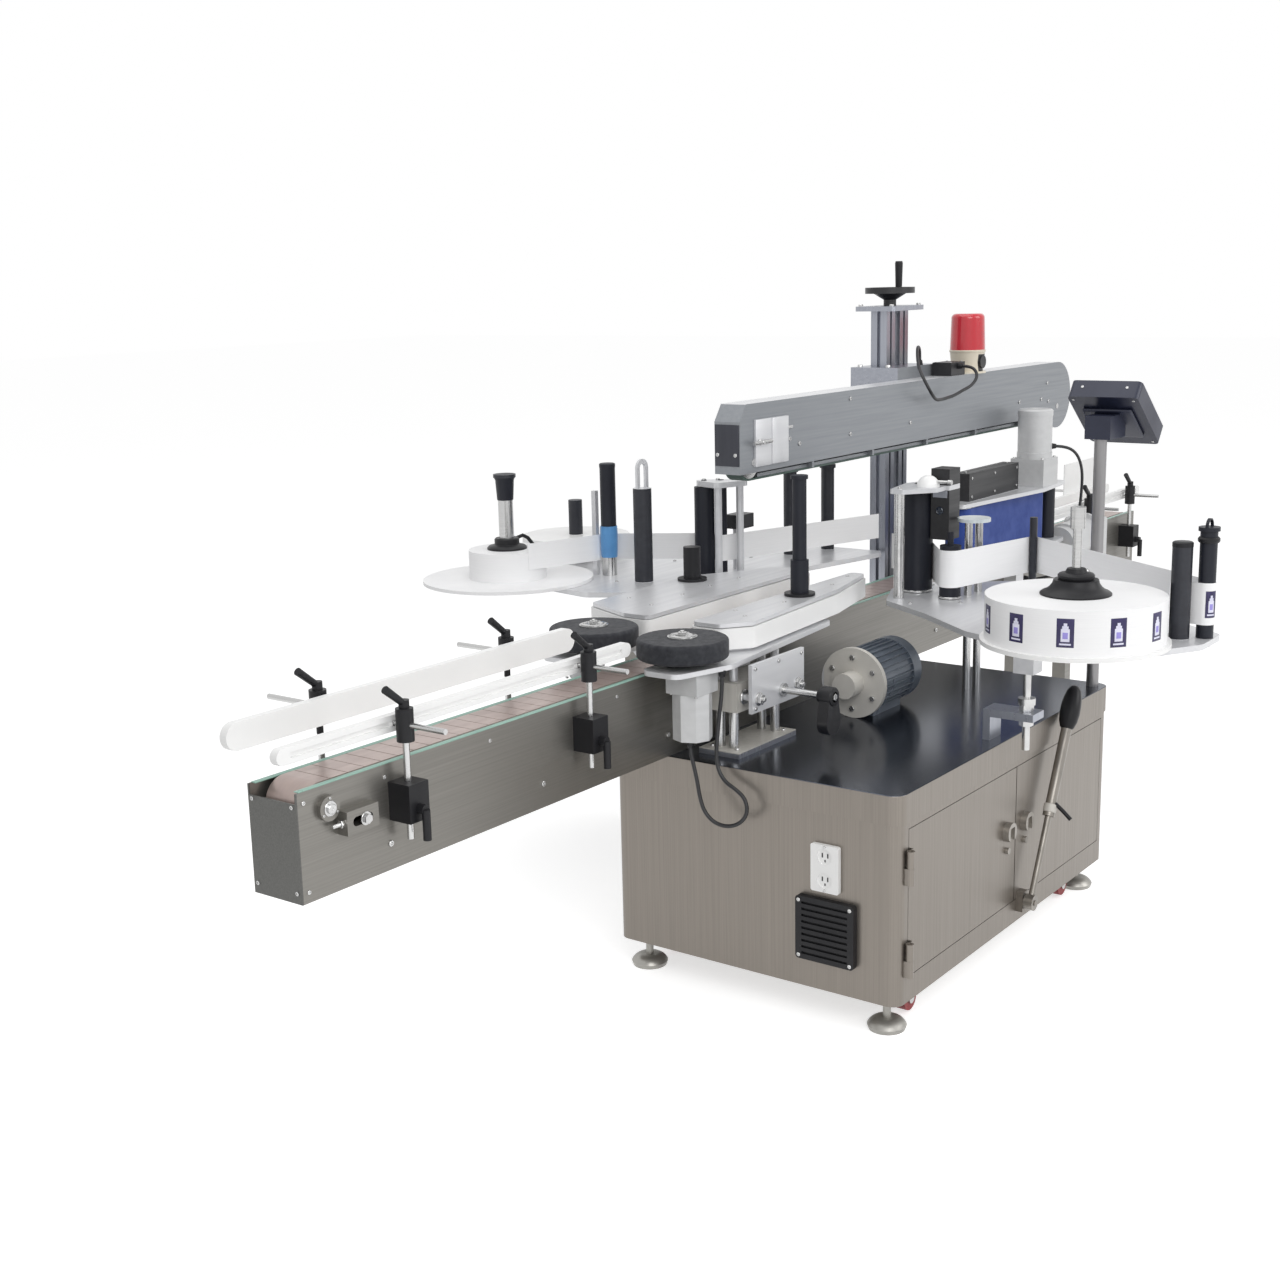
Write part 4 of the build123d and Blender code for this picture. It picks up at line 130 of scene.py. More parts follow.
class Finishes(Enum):
    """All finishes of the machine."""

    CABINET = Finish(
        "brushed_cabinet_steel", (0.246, 0.222, 0.196), (0.222, 0.2, 0.177), 0.8, (0.3, 0.4), (420, 420, 3),
        (900, 900, 14), 0.012,
    )
    CONVEYOR = Finish(
        "brushed_conveyor_steel", (0.235, 0.226, 0.208), (0.208, 0.2, 0.184), 0.75, (0.3, 0.42), (3, 380, 380),
        (12, 900, 900), 0.012,
    )
    TABLE = Finish(
        "polished_table_steel", (0.08, 0.093, 0.122), (0.064, 0.074, 0.1), 0.92, (0.16, 0.24), (5, 5, 5),
        (60, 60, 60), 0.01,
    )
    PLATE = Finish(
        "satin_plate", (0.68, 0.685, 0.7), (0.63, 0.635, 0.655), 0.35, (0.28, 0.38), (3, 60, 60), (12, 500, 500),
        0.004,
    )
    BRIGHT = Finish(
        "turned_steel", (0.56, 0.56, 0.555), (0.5, 0.5, 0.5), 0.92, (0.18, 0.27), (30, 30, 60), (50, 50, 300), 0.003
    )
    ALUMINIUM = Finish(
        "extruded_aluminium", (0.38, 0.395, 0.44), (0.335, 0.35, 0.395), 0.8, (0.26, 0.36), (120, 120, 3),
        (500, 500, 14), 0.006,
    )
    BEAM = Finish(
        "satin_beam_steel", (0.28, 0.294, 0.314), (0.252, 0.266, 0.286), 0.5, (0.32, 0.44), (4, 90, 160),
        (16, 700, 900), 0.012,
    )
    CREAM = Finish(
        "cream_casting", (0.62, 0.6, 0.555), (0.55, 0.53, 0.49), 0.05, (0.4, 0.52), (14, 14, 14), (500, 500, 500),
        0.03,
    )
    MOTOR = Finish(
        "motor_enamel", (0.6, 0.605, 0.61), (0.55, 0.555, 0.56), 0.1, (0.32, 0.45), (12, 12, 12), (600, 600, 600),
        0.03, 0.15,
    )
    BLUE_MOTOR = Finish(
        "dark_motor_enamel", (0.14, 0.165, 0.2), (0.1, 0.12, 0.15), 0.3, (0.26, 0.4), (12, 12, 12), (500, 500, 500),
        0.03, 0.2,
    )
    WHITE = Finish(
        "white_plastic", (0.9, 0.9, 0.893), (0.86, 0.86, 0.855), 0.0, (0.3, 0.42), (9, 9, 9), (500, 500, 500), 0.01
    )
    BONE = Finish(
        "bone_plastic", (0.72, 0.66, 0.54), (0.66, 0.6, 0.49), 0.0, (0.34, 0.44), (12, 12, 12), (500, 500, 500), 0.01
    )
    BLACK = Finish(
        "black_plastic", (0.014, 0.014, 0.016), (0.009, 0.009, 0.011), 0.0, (0.34, 0.5), (18, 18, 18),
        (900, 900, 900), 0.02, shine=0.28,
    )
    RUBBER = Finish(
        "roller_rubber", (0.015, 0.017, 0.025), (0.01, 0.011, 0.017), 0.0, (0.38, 0.52), (20, 20, 6),
        (1200, 1200, 60), 0.02, shine=0.28,
    )
    SPONGE = Finish(
        "black_sponge", (0.034, 0.036, 0.042), (0.02, 0.021, 0.026), 0.0, (0.62, 0.78), (90, 90, 90), (620, 620, 620),
        0.35, 0.0, 0.08, 0.25,
    )
    BLUE_BELT = Finish(
        "blue_belt", (0.022, 0.058, 0.27), (0.017, 0.045, 0.22), 0.0, (0.5, 0.62), (30, 30, 30), (520, 520, 520),
        0.12, 0.0, 0.05, 0.3,
    )
    GREEN_BELT = Finish(
        "green_belt", (0.05, 0.085, 0.072), (0.04, 0.07, 0.058), 0.0, (0.5, 0.62), (20, 20, 20), (520, 520, 520), 0.08
    )
    RED_LENS = Finish(
        "red_lens", (0.62, 0.012, 0.03), (0.5, 0.008, 0.02), 0.0, (0.14, 0.2), (8, 8, 8), (60, 60, 60), 0.01, 0.6
    )
    RED_RUBBER = Finish(
        "red_rubber", (0.3, 0.03, 0.035), (0.22, 0.022, 0.025), 0.0, (0.45, 0.6), (20, 20, 20), (600, 600, 600), 0.03
    )
    PAPER = Finish(
        "label_paper", (0.91, 0.91, 0.915), (0.88, 0.88, 0.887), 0.0, (0.42, 0.55), (12, 12, 700), (8, 8, 2400), 0.02
    )
    PANEL = Finish(
        "navy_panel_shell", (0.022, 0.026, 0.05), (0.016, 0.019, 0.038), 0.1, (0.3, 0.42), (10, 10, 10),
        (900, 900, 900), 0.02,
    )
    FOOT = Finish(
        "zinc_foot", (0.42, 0.41, 0.38), (0.33, 0.32, 0.3), 0.7, (0.32, 0.48), (30, 30, 30), (400, 400, 400), 0.03
    )
    CHAIN = Finish(
        "chain_plate", (0.5, 0.4, 0.365), (0.44, 0.355, 0.33), 0.5, (0.28, 0.4), (18, 60, 18), (40, 900, 40), 0.012
    )
    CORD = Finish(
        "cord_jacket", (0.016, 0.016, 0.018), (0.01, 0.01, 0.012), 0.0, (0.4, 0.5), (40, 40, 40), (900, 900, 900),
        0.02,
    )
    TAPE = Finish(
        "blue_tape", (0.1, 0.3, 0.6), (0.08, 0.25, 0.52), 0.0, (0.3, 0.4), (30, 30, 30), (300, 300, 300), 0.01
    )
    GREEN_GLASS = Finish(
        "green_edge_strip", (0.3, 0.5, 0.42), (0.26, 0.44, 0.37), 0.0, (0.25, 0.35), (10, 10, 10), (300, 300, 300),
        0.01,
    )
    SCREEN = Finish(
        "dark_screen", (0.02, 0.03, 0.05), (0.016, 0.024, 0.04), 0.0, (0.08, 0.12), (8, 8, 8), (50, 50, 50), 0.0, 0.5
    )
    SOFT_BLUE = Finish(
        "screen_block", (0.1, 0.26, 0.5), (0.08, 0.22, 0.44), 0.0, (0.2, 0.3), (30, 30, 30), (50, 50, 50), 0.0
    )
    CLEAR = Finish(
        "frosted_disc", (0.66, 0.71, 0.73), (0.58, 0.64, 0.66), 0.1, (0.08, 0.18), (50, 50, 50), (200, 200, 200),
        0.03, 0.5,
    )
    POST = Finish(
        "satin_post_steel", (0.3, 0.295, 0.3), (0.26, 0.255, 0.26), 0.85, (0.28, 0.38), (60, 60, 3), (500, 500, 14),
        0.005,
    )
    LEVER = Finish(
        "worn_lever_steel", (0.28, 0.26, 0.235), (0.23, 0.215, 0.195), 0.8, (0.28, 0.4), (40, 40, 20),
        (300, 300, 100), 0.008,
    )
    PULL = Finish(
        "satin_pull", (0.34, 0.32, 0.29), (0.31, 0.29, 0.265), 0.75, (0.32, 0.4), (20, 20, 30), (80, 80, 200), 0.002
    )
    # Painted shade: darker steel that stands in for the shade on the conveyor's infeed end face.
    END_STEEL = Finish(
        "dull_end_steel", (0.125, 0.125, 0.118), (0.105, 0.105, 0.1), 0.6, (0.36, 0.48), (3, 380, 380),
        (12, 900, 900), 0.012,
    )
    DARK_PLATE = Finish(
        "slate_end_plate", (0.045, 0.047, 0.06), (0.035, 0.037, 0.048), 0.3, (0.34, 0.44), (60, 60, 8),
        (700, 700, 40), 0.01,
    )
    LABEL_DARK = Finish(
        "label_dark", (0.03, 0.022, 0.1), (0.018, 0.014, 0.06), 0.0, (0.3, 0.4), (60, 60, 60), (400, 400, 400), 0.01
    )
    LABEL_PALE = Finish(
        "label_pale", (0.78, 0.78, 0.9), (0.68, 0.68, 0.84), 0.0, (0.3, 0.4), (60, 60, 60), (400, 400, 400), 0.01
    )
    LABEL_VIOLET = Finish(
        "label_violet", (0.34, 0.3, 0.72), (0.28, 0.24, 0.62), 0.0, (0.3, 0.4), (60, 60, 60), (400, 400, 400), 0.01
    )


@dataclass(frozen=True)
class Zone:
    """A box of the machine, in millimetres, where a node shows another finish.

    Attributes:
        low: its lowest corner.
        high: its highest corner.
        finish: the finish inside it.
    """

    low: Point
    high: Point
    finish: Finishes


class Palette:
    """Makes each material once and hands it out again."""

    def __init__(self) -> None:
        """Starts with no materials."""
        self.made: dict[str, Material] = {}

    def plain(self, choice: Finishes) -> Material:
        """Gives the material of one finish.

        Args:
            choice: the finish.

        Returns:
            Its material.
        """
        return self.zoned(choice, ())

    def zoned(self, base: Finishes, zones: tuple[Zone, ...]) -> Material:
        """Gives a material whose finish changes from one part of a node to another.

        Args:
            base: finish outside all zones.
            zones: boxes with finishes of their own, later ones over earlier ones.

        Returns:
            The material.
        """
        key = base.value.name + "".join(f"/{z.finish.value.name}{z.low}{z.high}" for z in zones)
        if key not in self.made:
            label = base.value.name if not zones else f"{base.value.name}_and_{len(zones)}_{len(self.made)}"
            self.made[key] = self._build(label, base.value, zones)
        return self.made[key]

    def _build(self, label: str, base: Finish, zones: tuple[Zone, ...]) -> Material:
        """Builds the nodes of one material.

        Args:
            label: name of the material.
            base: its main finish.
            zones: boxes with other finishes.

        Returns:
            The material.
        """
        material = bpy.data.materials.new(label)
        material.use_nodes = True
        tree = material.node_tree
        shader = tree.nodes["Principled BSDF"]
        place = tree.nodes.new("ShaderNodeTexCoord").outputs["Object"]
        mottle = self._noise(tree, place, base.grain, MOTTLE_DETAIL)
        tooth = self._noise(tree, place, base.tooth, TOOTH_DETAIL)
        colour = self._blend(tree, mottle, base.colour, base.shade)
        rough = self._span(tree, mottle, base.gloss)
        metal = None
        for zone in zones:
            inside = self._inside(tree, place, zone)
            zone_colour = self._blend(tree, mottle, zone.finish.value.colour, zone.finish.value.shade)
            zone_rough = self._span(tree, mottle, zone.finish.value.gloss)
            colour = self._mix_colour(tree, inside, colour, zone_colour)
            rough = self._mix_value(tree, inside, rough, zone_rough)
            metal = self._mix_value(tree, inside, metal if metal else base.metallic, zone.finish.value.metallic)
        tree.links.new(colour, shader.inputs["Base Color"])
        tree.links.new(rough, shader.inputs["Roughness"])
        if metal:
            tree.links.new(metal, shader.inputs["Metallic"])
        else:
            shader.inputs["Metallic"].default_value = base.metallic
        shader.inputs["Coat Weight"].default_value = base.coat
        shader.inputs["Sheen Weight"].default_value = base.sheen
        shader.inputs["Specular IOR Level"].default_value = base.shine
        bump = tree.nodes.new("ShaderNodeBump")
        bump.inputs["Strength"].default_value = BUMP_STRENGTH
        bump.inputs["Distance"].default_value = base.relief * MM
        tree.links.new(tooth, bump.inputs["Height"])
        tree.links.new(bump.outputs["Normal"], shader.inputs["Normal"])
        return material

    @staticmethod
    def _noise(tree: Tree, place: Socket, scale: Point, detail: float) -> Socket:
        """Adds a noise stretched by its three scales.

        Args:
            tree: node tree of the material.
            place: socket with the point on the object.
            scale: repeats per metre along X, Y and Z.
            detail: octaves of the noise.

        Returns:
            The socket with the noise, from 0 to 1.
        """
        mapping = tree.nodes.new("ShaderNodeMapping")
        mapping.inputs["Scale"].default_value = scale
        noise = tree.nodes.new("ShaderNodeTexNoise")
        noise.inputs["Scale"].default_value = 1.0
        noise.inputs["Detail"].default_value = detail
        tree.links.new(place, mapping.inputs["Vector"])
        tree.links.new(mapping.outputs["Vector"], noise.inputs["Vector"])
        return noise.outputs["Fac"]

    @staticmethod
    def _blend(tree: Tree, factor: Socket, first: Colour, second: Colour) -> Socket:
        """Adds a ramp from one colour to another.

        Args:
            tree: node tree of the material.
            factor: socket that drives the ramp.
            first: colour where the factor is low.
            second: colour where the factor is high.

        Returns:
            The colour socket.
        """
        ramp = tree.nodes.new("ShaderNodeValToRGB")
        ramp.color_ramp.elements[0].position = NOISE_LOW
        ramp.color_ramp.elements[1].position = NOISE_HIGH
        ramp.color_ramp.elements[0].color = (*first, 1.0)
        ramp.color_ramp.elements[1].color = (*second, 1.0)
        tree.links.new(factor, ramp.inputs["Fac"])
        return ramp.outputs["Color"]

    @staticmethod
    def _span(tree: Tree, factor: Socket, span: Pair) -> Socket:
        """Adds a map from the noise to a range of values.

        Args:
            tree: node tree of the material.
            factor: socket with the noise.
            span: lowest and highest value.

        Returns:
            The value socket.
        """
        ranged = tree.nodes.new("ShaderNodeMapRange")
        ranged.inputs["From Min"].default_value = NOISE_LOW
        ranged.inputs["From Max"].default_value = NOISE_HIGH
        ranged.inputs["To Min"].default_value = span[0]
        ranged.inputs["To Max"].default_value = span[1]
        tree.links.new(factor, ranged.inputs["Value"])
        return ranged.outputs["Result"]

    @staticmethod
    def _inside(tree: Tree, place: Socket, zone: Zone) -> Socket:
        """Adds a mask that is 1 inside the zone's box.

        Args:
            tree: node tree of the material.
            place: socket with the point on the object.
            zone: the box.

        Returns:
            The mask socket.
        """
        mapping = tree.nodes.new("ShaderNodeMapping")
        middle = [(a + b) / 2 * MM for a, b in zip(zone.low, zone.high)]
        size = [2 / ((b - a) * MM) for a, b in zip(zone.low, zone.high)]
        mapping.inputs["Location"].default_value = [-m * s for m, s in zip(middle, size)]
        mapping.inputs["Scale"].default_value = size
        absolute = tree.nodes.new("ShaderNodeVectorMath")
        absolute.operation = "ABSOLUTE"
        parts = tree.nodes.new("ShaderNodeSeparateXYZ")
        tree.links.new(place, mapping.inputs["Vector"])
        tree.links.new(mapping.outputs["Vector"], absolute.inputs[0])
        tree.links.new(absolute.outputs["Vector"], parts.inputs["Vector"])
        largest = parts.outputs["X"]
        for name in ("Y", "Z"):
            node = tree.nodes.new("ShaderNodeMath")
            node.operation = "MAXIMUM"
            tree.links.new(largest, node.inputs[0])
            tree.links.new(parts.outputs[name], node.inputs[1])
            largest = node.outputs["Value"]
        mask = tree.nodes.new("ShaderNodeMath")
        mask.operation = "LESS_THAN"
        mask.inputs[1].default_value = 1.0
        tree.links.new(largest, mask.inputs[0])
        return mask.outputs["Value"]

    @staticmethod
    def _mix_colour(tree: Tree, mask: Socket, first: Socket, second: Socket) -> Socket:
        """Adds a choice between two colours.

        Args:
            tree: node tree of the material.
            mask: 0 for the first, 1 for the second.
            first: colour outside the mask.
            second: colour inside the mask.

        Returns:
            The colour socket.
        """
        node = tree.nodes.new("ShaderNodeMix")
        node.data_type = "RGBA"
        tree.links.new(mask, node.inputs["Factor"])
        tree.links.new(first, node.inputs[6])
        tree.links.new(second, node.inputs[7])
        return node.outputs[2]

    @staticmethod
    def _mix_value(tree: Tree, mask: Socket, first: Socket | float, second: Socket | float) -> Socket:
        """Adds a choice between two values.

        Args:
            tree: node tree of the material.
            mask: 0 for the first, 1 for the second.
            first: value outside the mask, a number or a socket.
            second: value inside the mask, a number or a socket.

        Returns:
            The value socket.
        """
        node = tree.nodes.new("ShaderNodeMix")
        tree.links.new(mask, node.inputs["Factor"])
        for socket, value in ((node.inputs[2], first), (node.inputs[3], second)):
            if isinstance(value, float):
                socket.default_value = value
            else:
                tree.links.new(value, socket)
        return node.outputs[0]


# ---------------------------------------------------------------- bench


class Bench:
    """The bench where pieces are made with Blender's own tools. Sizes are in millimetres.

    Attributes:
        palette: where finishes come from.
        count: number of pieces that were dressed.
    """

    def __init__(self, palette: Palette) -> None:
        """Keeps the palette that the pieces are dressed from."""
        self.palette = palette
        self.count = 0

    def clear(self) -> None:
        """Leaves nothing selected."""
        if bpy.context.mode != "OBJECT":
            bpy.ops.object.mode_set(mode="OBJECT")
        bpy.ops.object.select_all(action="DESELECT")

    def take(self, piece: Piece) -> None:
        """Selects one piece and makes it active."""
        self.clear()
        piece.select_set(True)
        bpy.context.view_layer.objects.active = piece

    def named(self, name: str) -> Piece:
        """Names the piece that was just added and returns it."""
        piece = bpy.context.active_object
        piece.name = name
        piece.data.name = name
        return piece

    def settle(self, piece: Piece, place: Point, turn: Point = (0.0, 0.0, 0.0)) -> Piece:
        """Puts a piece at its place and keeps the place in its mesh.

        Args:
            piece: the piece, made about the origin.
            place: where its origin goes.
            turn: its turn about X, Y and Z in radians.

        Returns:
            The piece.
        """
        self.take(piece)
        piece.rotation_euler = turn
        piece.location = Vector(place) * MM
        bpy.ops.object.transform_apply(location=True, rotation=True, scale=True)
        return piece

    def turned(self, name: str, place: Point, steps: Steps, facing: Facing = Facing.UP, sides: int = 32) -> Piece:
        """Draws up a round piece ring by ring, as on a lathe.

        Args:
            name: name of the piece.
            place: centre of its foot plane.
            steps: radius and height of each ring, from the foot up and round.
            facing: where its top points.
            sides: number of sides.

        Returns:
            The piece, closed, with its place in its mesh.
        """
        self.clear()
        radius, height = steps[0]
        bpy.ops.mesh.primitive_circle_add(
            vertices=sides, radius=radius * MM, fill_type="NGON", location=(0, 0, height * MM)
        )
        piece = self.named(name)
        bpy.ops.object.transform_apply(location=True, rotation=False, scale=False)
        bpy.ops.object.mode_set(mode="EDIT")
        bpy.ops.mesh.select_all(action="SELECT")
        for wide, high in steps[1:]:
            bpy.ops.mesh.extrude_region_move(TRANSFORM_OT_translate={"value": (0, 0, (high - height) * MM)})
            bpy.ops.transform.resize(value=(wide / radius, wide / radius, 1), center_override=(0, 0, high * MM))
            radius, height = wide, high
        self._close()
        return self.settle(piece, place, facing.value)

    def boxed(self, name: str, low: Point, high: Point, edge: float = 0.8, steps: int = 2) -> Piece:
        """Makes a block with eased edges.

        Args:
            name: name of the piece.
            low: lowest corner.
            high: highest corner.
            edge: width of the eased edges.
            steps: segments across an eased edge.

        Returns:
            The piece.
        """
        self.clear()
        size = [(b - a) * MM for a, b in zip(low, high)]
        middle = [(a + b) / 2 * MM for a, b in zip(low, high)]
        bpy.ops.mesh.primitive_cube_add(size=1, location=middle, scale=size)
        piece = self.named(name)
        bpy.ops.object.transform_apply(location=True, rotation=True, scale=True)
        bpy.ops.object.mode_set(mode="EDIT")
        bpy.ops.mesh.select_all(action="SELECT")
        bpy.ops.mesh.bevel(offset=edge * MM, segments=steps, affect="EDGES", clamp_overlap=True)
        self._close()
        return piece

    def plate(self, name: str, outline: Steps, low: float, high: float, edge: float = 0.6) -> Piece:
        """Cuts a flat plate to an outline and eases its edges.

        Args:
            name: name of the piece.
            outline: corners as X and Y.
            low: height of its underside.
            high: height of its top.
            edge: width of the eased edges.

        Returns:
            The piece.
        """
        self.clear()
        bpy.ops.mesh.primitive_circle_add(vertices=len(outline), radius=MM, fill_type="NGON", location=(0, 0, 0))
        piece = self.named(name)
        bpy.ops.object.mode_set(mode="EDIT")
        for number, (x, y) in enumerate(outline):
            drawn = bmesh.from_edit_mesh(piece.data)
            drawn.verts.ensure_lookup_table()
            bpy.ops.mesh.select_all(action="DESELECT")
            corner = drawn.verts[number]
            corner.select_set(True)
            move = Vector((x * MM, y * MM, low * MM)) - corner.co
            bmesh.update_edit_mesh(piece.data)
            bpy.ops.transform.translate(value=move)
        bpy.ops.mesh.select_all(action="SELECT")
        bpy.ops.mesh.extrude_region_move(TRANSFORM_OT_translate={"value": (0, 0, (high - low) * MM)})
        bpy.ops.mesh.select_all(action="SELECT")
        bpy.ops.mesh.bevel(offset=edge * MM, segments=2, affect="EDGES", clamp_overlap=True)
        self._close()
        return piece

    def line(self, name: str, places: list[Point], radius: float, kind: str) -> Piece:
        """Draws a round line along points.

        Args:
            name: name of the line.
            places: its points in metres.
            radius: its radius in metres.
            kind: POLY for straight runs, NURBS for smooth ones.

        Returns:
            The line as a curve.
        """
        self.clear()
        line = bpy.data.curves.new(name, "CURVE")
        line.dimensions = "3D"
        line.bevel_depth = radius
        line.bevel_resolution = LINE_SIDES
        line.use_fill_caps = True
        line.resolution_u = LINE_STEPS
        spline = line.splines.new(kind)
        spline.points.add(len(places) - 1)
        for point, place in zip(spline.points, places):
            point.co = (*place, 1.0)
        if kind == "NURBS":
            spline.order_u = 3
            spline.use_endpoint_u = True
        piece = bpy.data.objects.new(name, line)
        bpy.context.scene.collection.objects.link(piece)
        return piece

    def wire(self, name: str, points: list[Point], radius: float) -> Piece:
        """Bends a round rod along points.

        Args:
            name: name of the piece.
            points: the rod's middle line.
            radius: radius of the rod.

        Returns:
            The piece as a mesh.
        """
        places = [tuple(c * MM for c in point) for point in points]
        self.take(self.line(name, places, radius * MM, "POLY"))
        bpy.ops.object.convert(target="MESH")
        return bpy.context.active_object

    def copied(self, piece: Piece, moves: list[Point]) -> Piece:
        """Copies a piece to more places and joins all to one.

        Args:
            piece: the first, at its own place.
            moves: the way from the first to each copy.

        Returns:
            The joined piece.
        """
        group = [piece]
        for move in moves:
            self.take(piece)
            bpy.ops.object.duplicate()
            bpy.ops.transform.translate(value=Vector(move) * MM)
            bpy.ops.object.transform_apply(location=True, rotation=False, scale=False)
            group.append(bpy.context.active_object)
        return self.joined(group)

    def joined(self, group: list[Piece]) -> Piece:
        """Joins pieces of one body to the first of them and returns it."""
        self.take(group[0])
        for piece in group[1:]:
            piece.select_set(True)
        if len(group) > 1:
            bpy.ops.object.join()
        return bpy.context.active_object

    def ring_of(self, piece: Piece, centre: Point, count: int, axis: str = "Z") -> Piece:
        """Copies a piece round an axis and joins all to one.

        Args:
            piece: the first, at its own place.
            centre: point on the axis.
            count: how many there are in all.
            axis: name of the axis.

        Returns:
            The joined piece.
        """
        group = [piece]
        for number in range(1, count):
            self.take(piece)
            bpy.ops.object.duplicate()
            twin = bpy.context.active_object
            bpy.ops.object.mode_set(mode="EDIT")
            bpy.ops.mesh.select_all(action="SELECT")
            angle = math.tau * number / count
            bpy.ops.transform.rotate(value=angle, orient_axis=axis, center_override=Vector(centre) * MM)
            bpy.ops.object.mode_set(mode="OBJECT")
            group.append(twin)
        return self.joined(group)

    def screws(
        self, name: str, places: list[Point], facing: Facing, radius: float = 4.5, height: float = 4.0
    ) -> Piece:
        """Sets socket-head screws at places.

        Args:
            name: name of the group.
            places: where each head sits on its surface.
            facing: where the heads point.
            radius: radius of a head.
            height: height of a head.

        Returns:
            The joined screws.
        """
        steps = [
            (radius, -SINK), (radius, height * 0.8), (radius * 0.86, height), (radius * 0.52, height),
            (radius * 0.48, height * 0.4),
        ]
        first = self.turned(name, places[0], steps, facing, 12)
        moves = [tuple(b - a for a, b in zip(places[0], place)) for place in places[1:]]
        return self.copied(first, moves)

    def screwed(
        self, name: str, places: list[Point], facing: Facing, body: Body, radius: float = 4.5, height: float = 4.0
    ) -> None:
        """Sets bright socket-head screws at places and dresses them.

        Args:
            name: name of the group.
            places: where each head sits on its surface.
            facing: where the heads point.
            body: body that they ride on.
            radius: radius of a head.
            height: height of a head.
        """
        self.bright(self.screws(name, places, facing, radius, height), body)

    def nut(self, name: str, place: Point, radius: float, height: float, facing: Facing = Facing.UP) -> Piece:
        """Makes a hexagon nut with a chamfered top at a place and returns it."""
        steps = [(radius * 0.9, 0), (radius, height * 0.14), (radius, height * 0.86), (radius * 0.9, height)]
        return self.turned(name, place, steps, facing, 6)

    def dress(self, piece: Piece, body: Body, finish: Finishes, slot: str) -> None:
        """Gives a piece its finish and the body that it rides on.

        Args:
            piece: the piece.
            body: the body of the frame.
            finish: its finish.
            slot: material slot of the record that it belongs to; not used.
        """
        self.take(piece)
        piece.data.materials.clear()
        piece.data.materials.append(self.palette.plain(finish))
        bpy.ops.object.shade_smooth_by_angle(angle=math.radians(SMOOTH_BELOW))
        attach(piece, body.value)
        self.count += 1
        log.info("made %s on %s with %d faces", piece.name, body.value, len(piece.data.polygons))

    def bright(self, piece: Piece, body: Body) -> None:
        """Dresses a piece in bright steel."""
        self.dress(piece, body, Finishes.BRIGHT, "bright_steel")

    def black(self, piece: Piece, body: Body) -> None:
        """Dresses a piece in black plastic."""
        self.dress(piece, body, Finishes.BLACK, "black_plastic")

    def finish_node(self, node: str, base: Finishes, *zones: Zone) -> None:
        """Gives a node of the frame its finish.

        Args:
            node: name of the node.
            base: its main finish.
            zones: boxes of it with other finishes.
        """
        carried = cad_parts[node]
        material = self.palette.zoned(base, tuple(zones))
        for slot in carried.material_slots:
            slot.material = material
        log.info("finished node %s", node)

    @staticmethod
    def _close() -> None:
        """Turns all faces outwards and leaves edit mode."""
        bpy.ops.mesh.select_all(action="SELECT")
        bpy.ops.mesh.normals_make_consistent(inside=False)
        bpy.ops.object.mode_set(mode="OBJECT")


# ---------------------------------------------------------------- studio


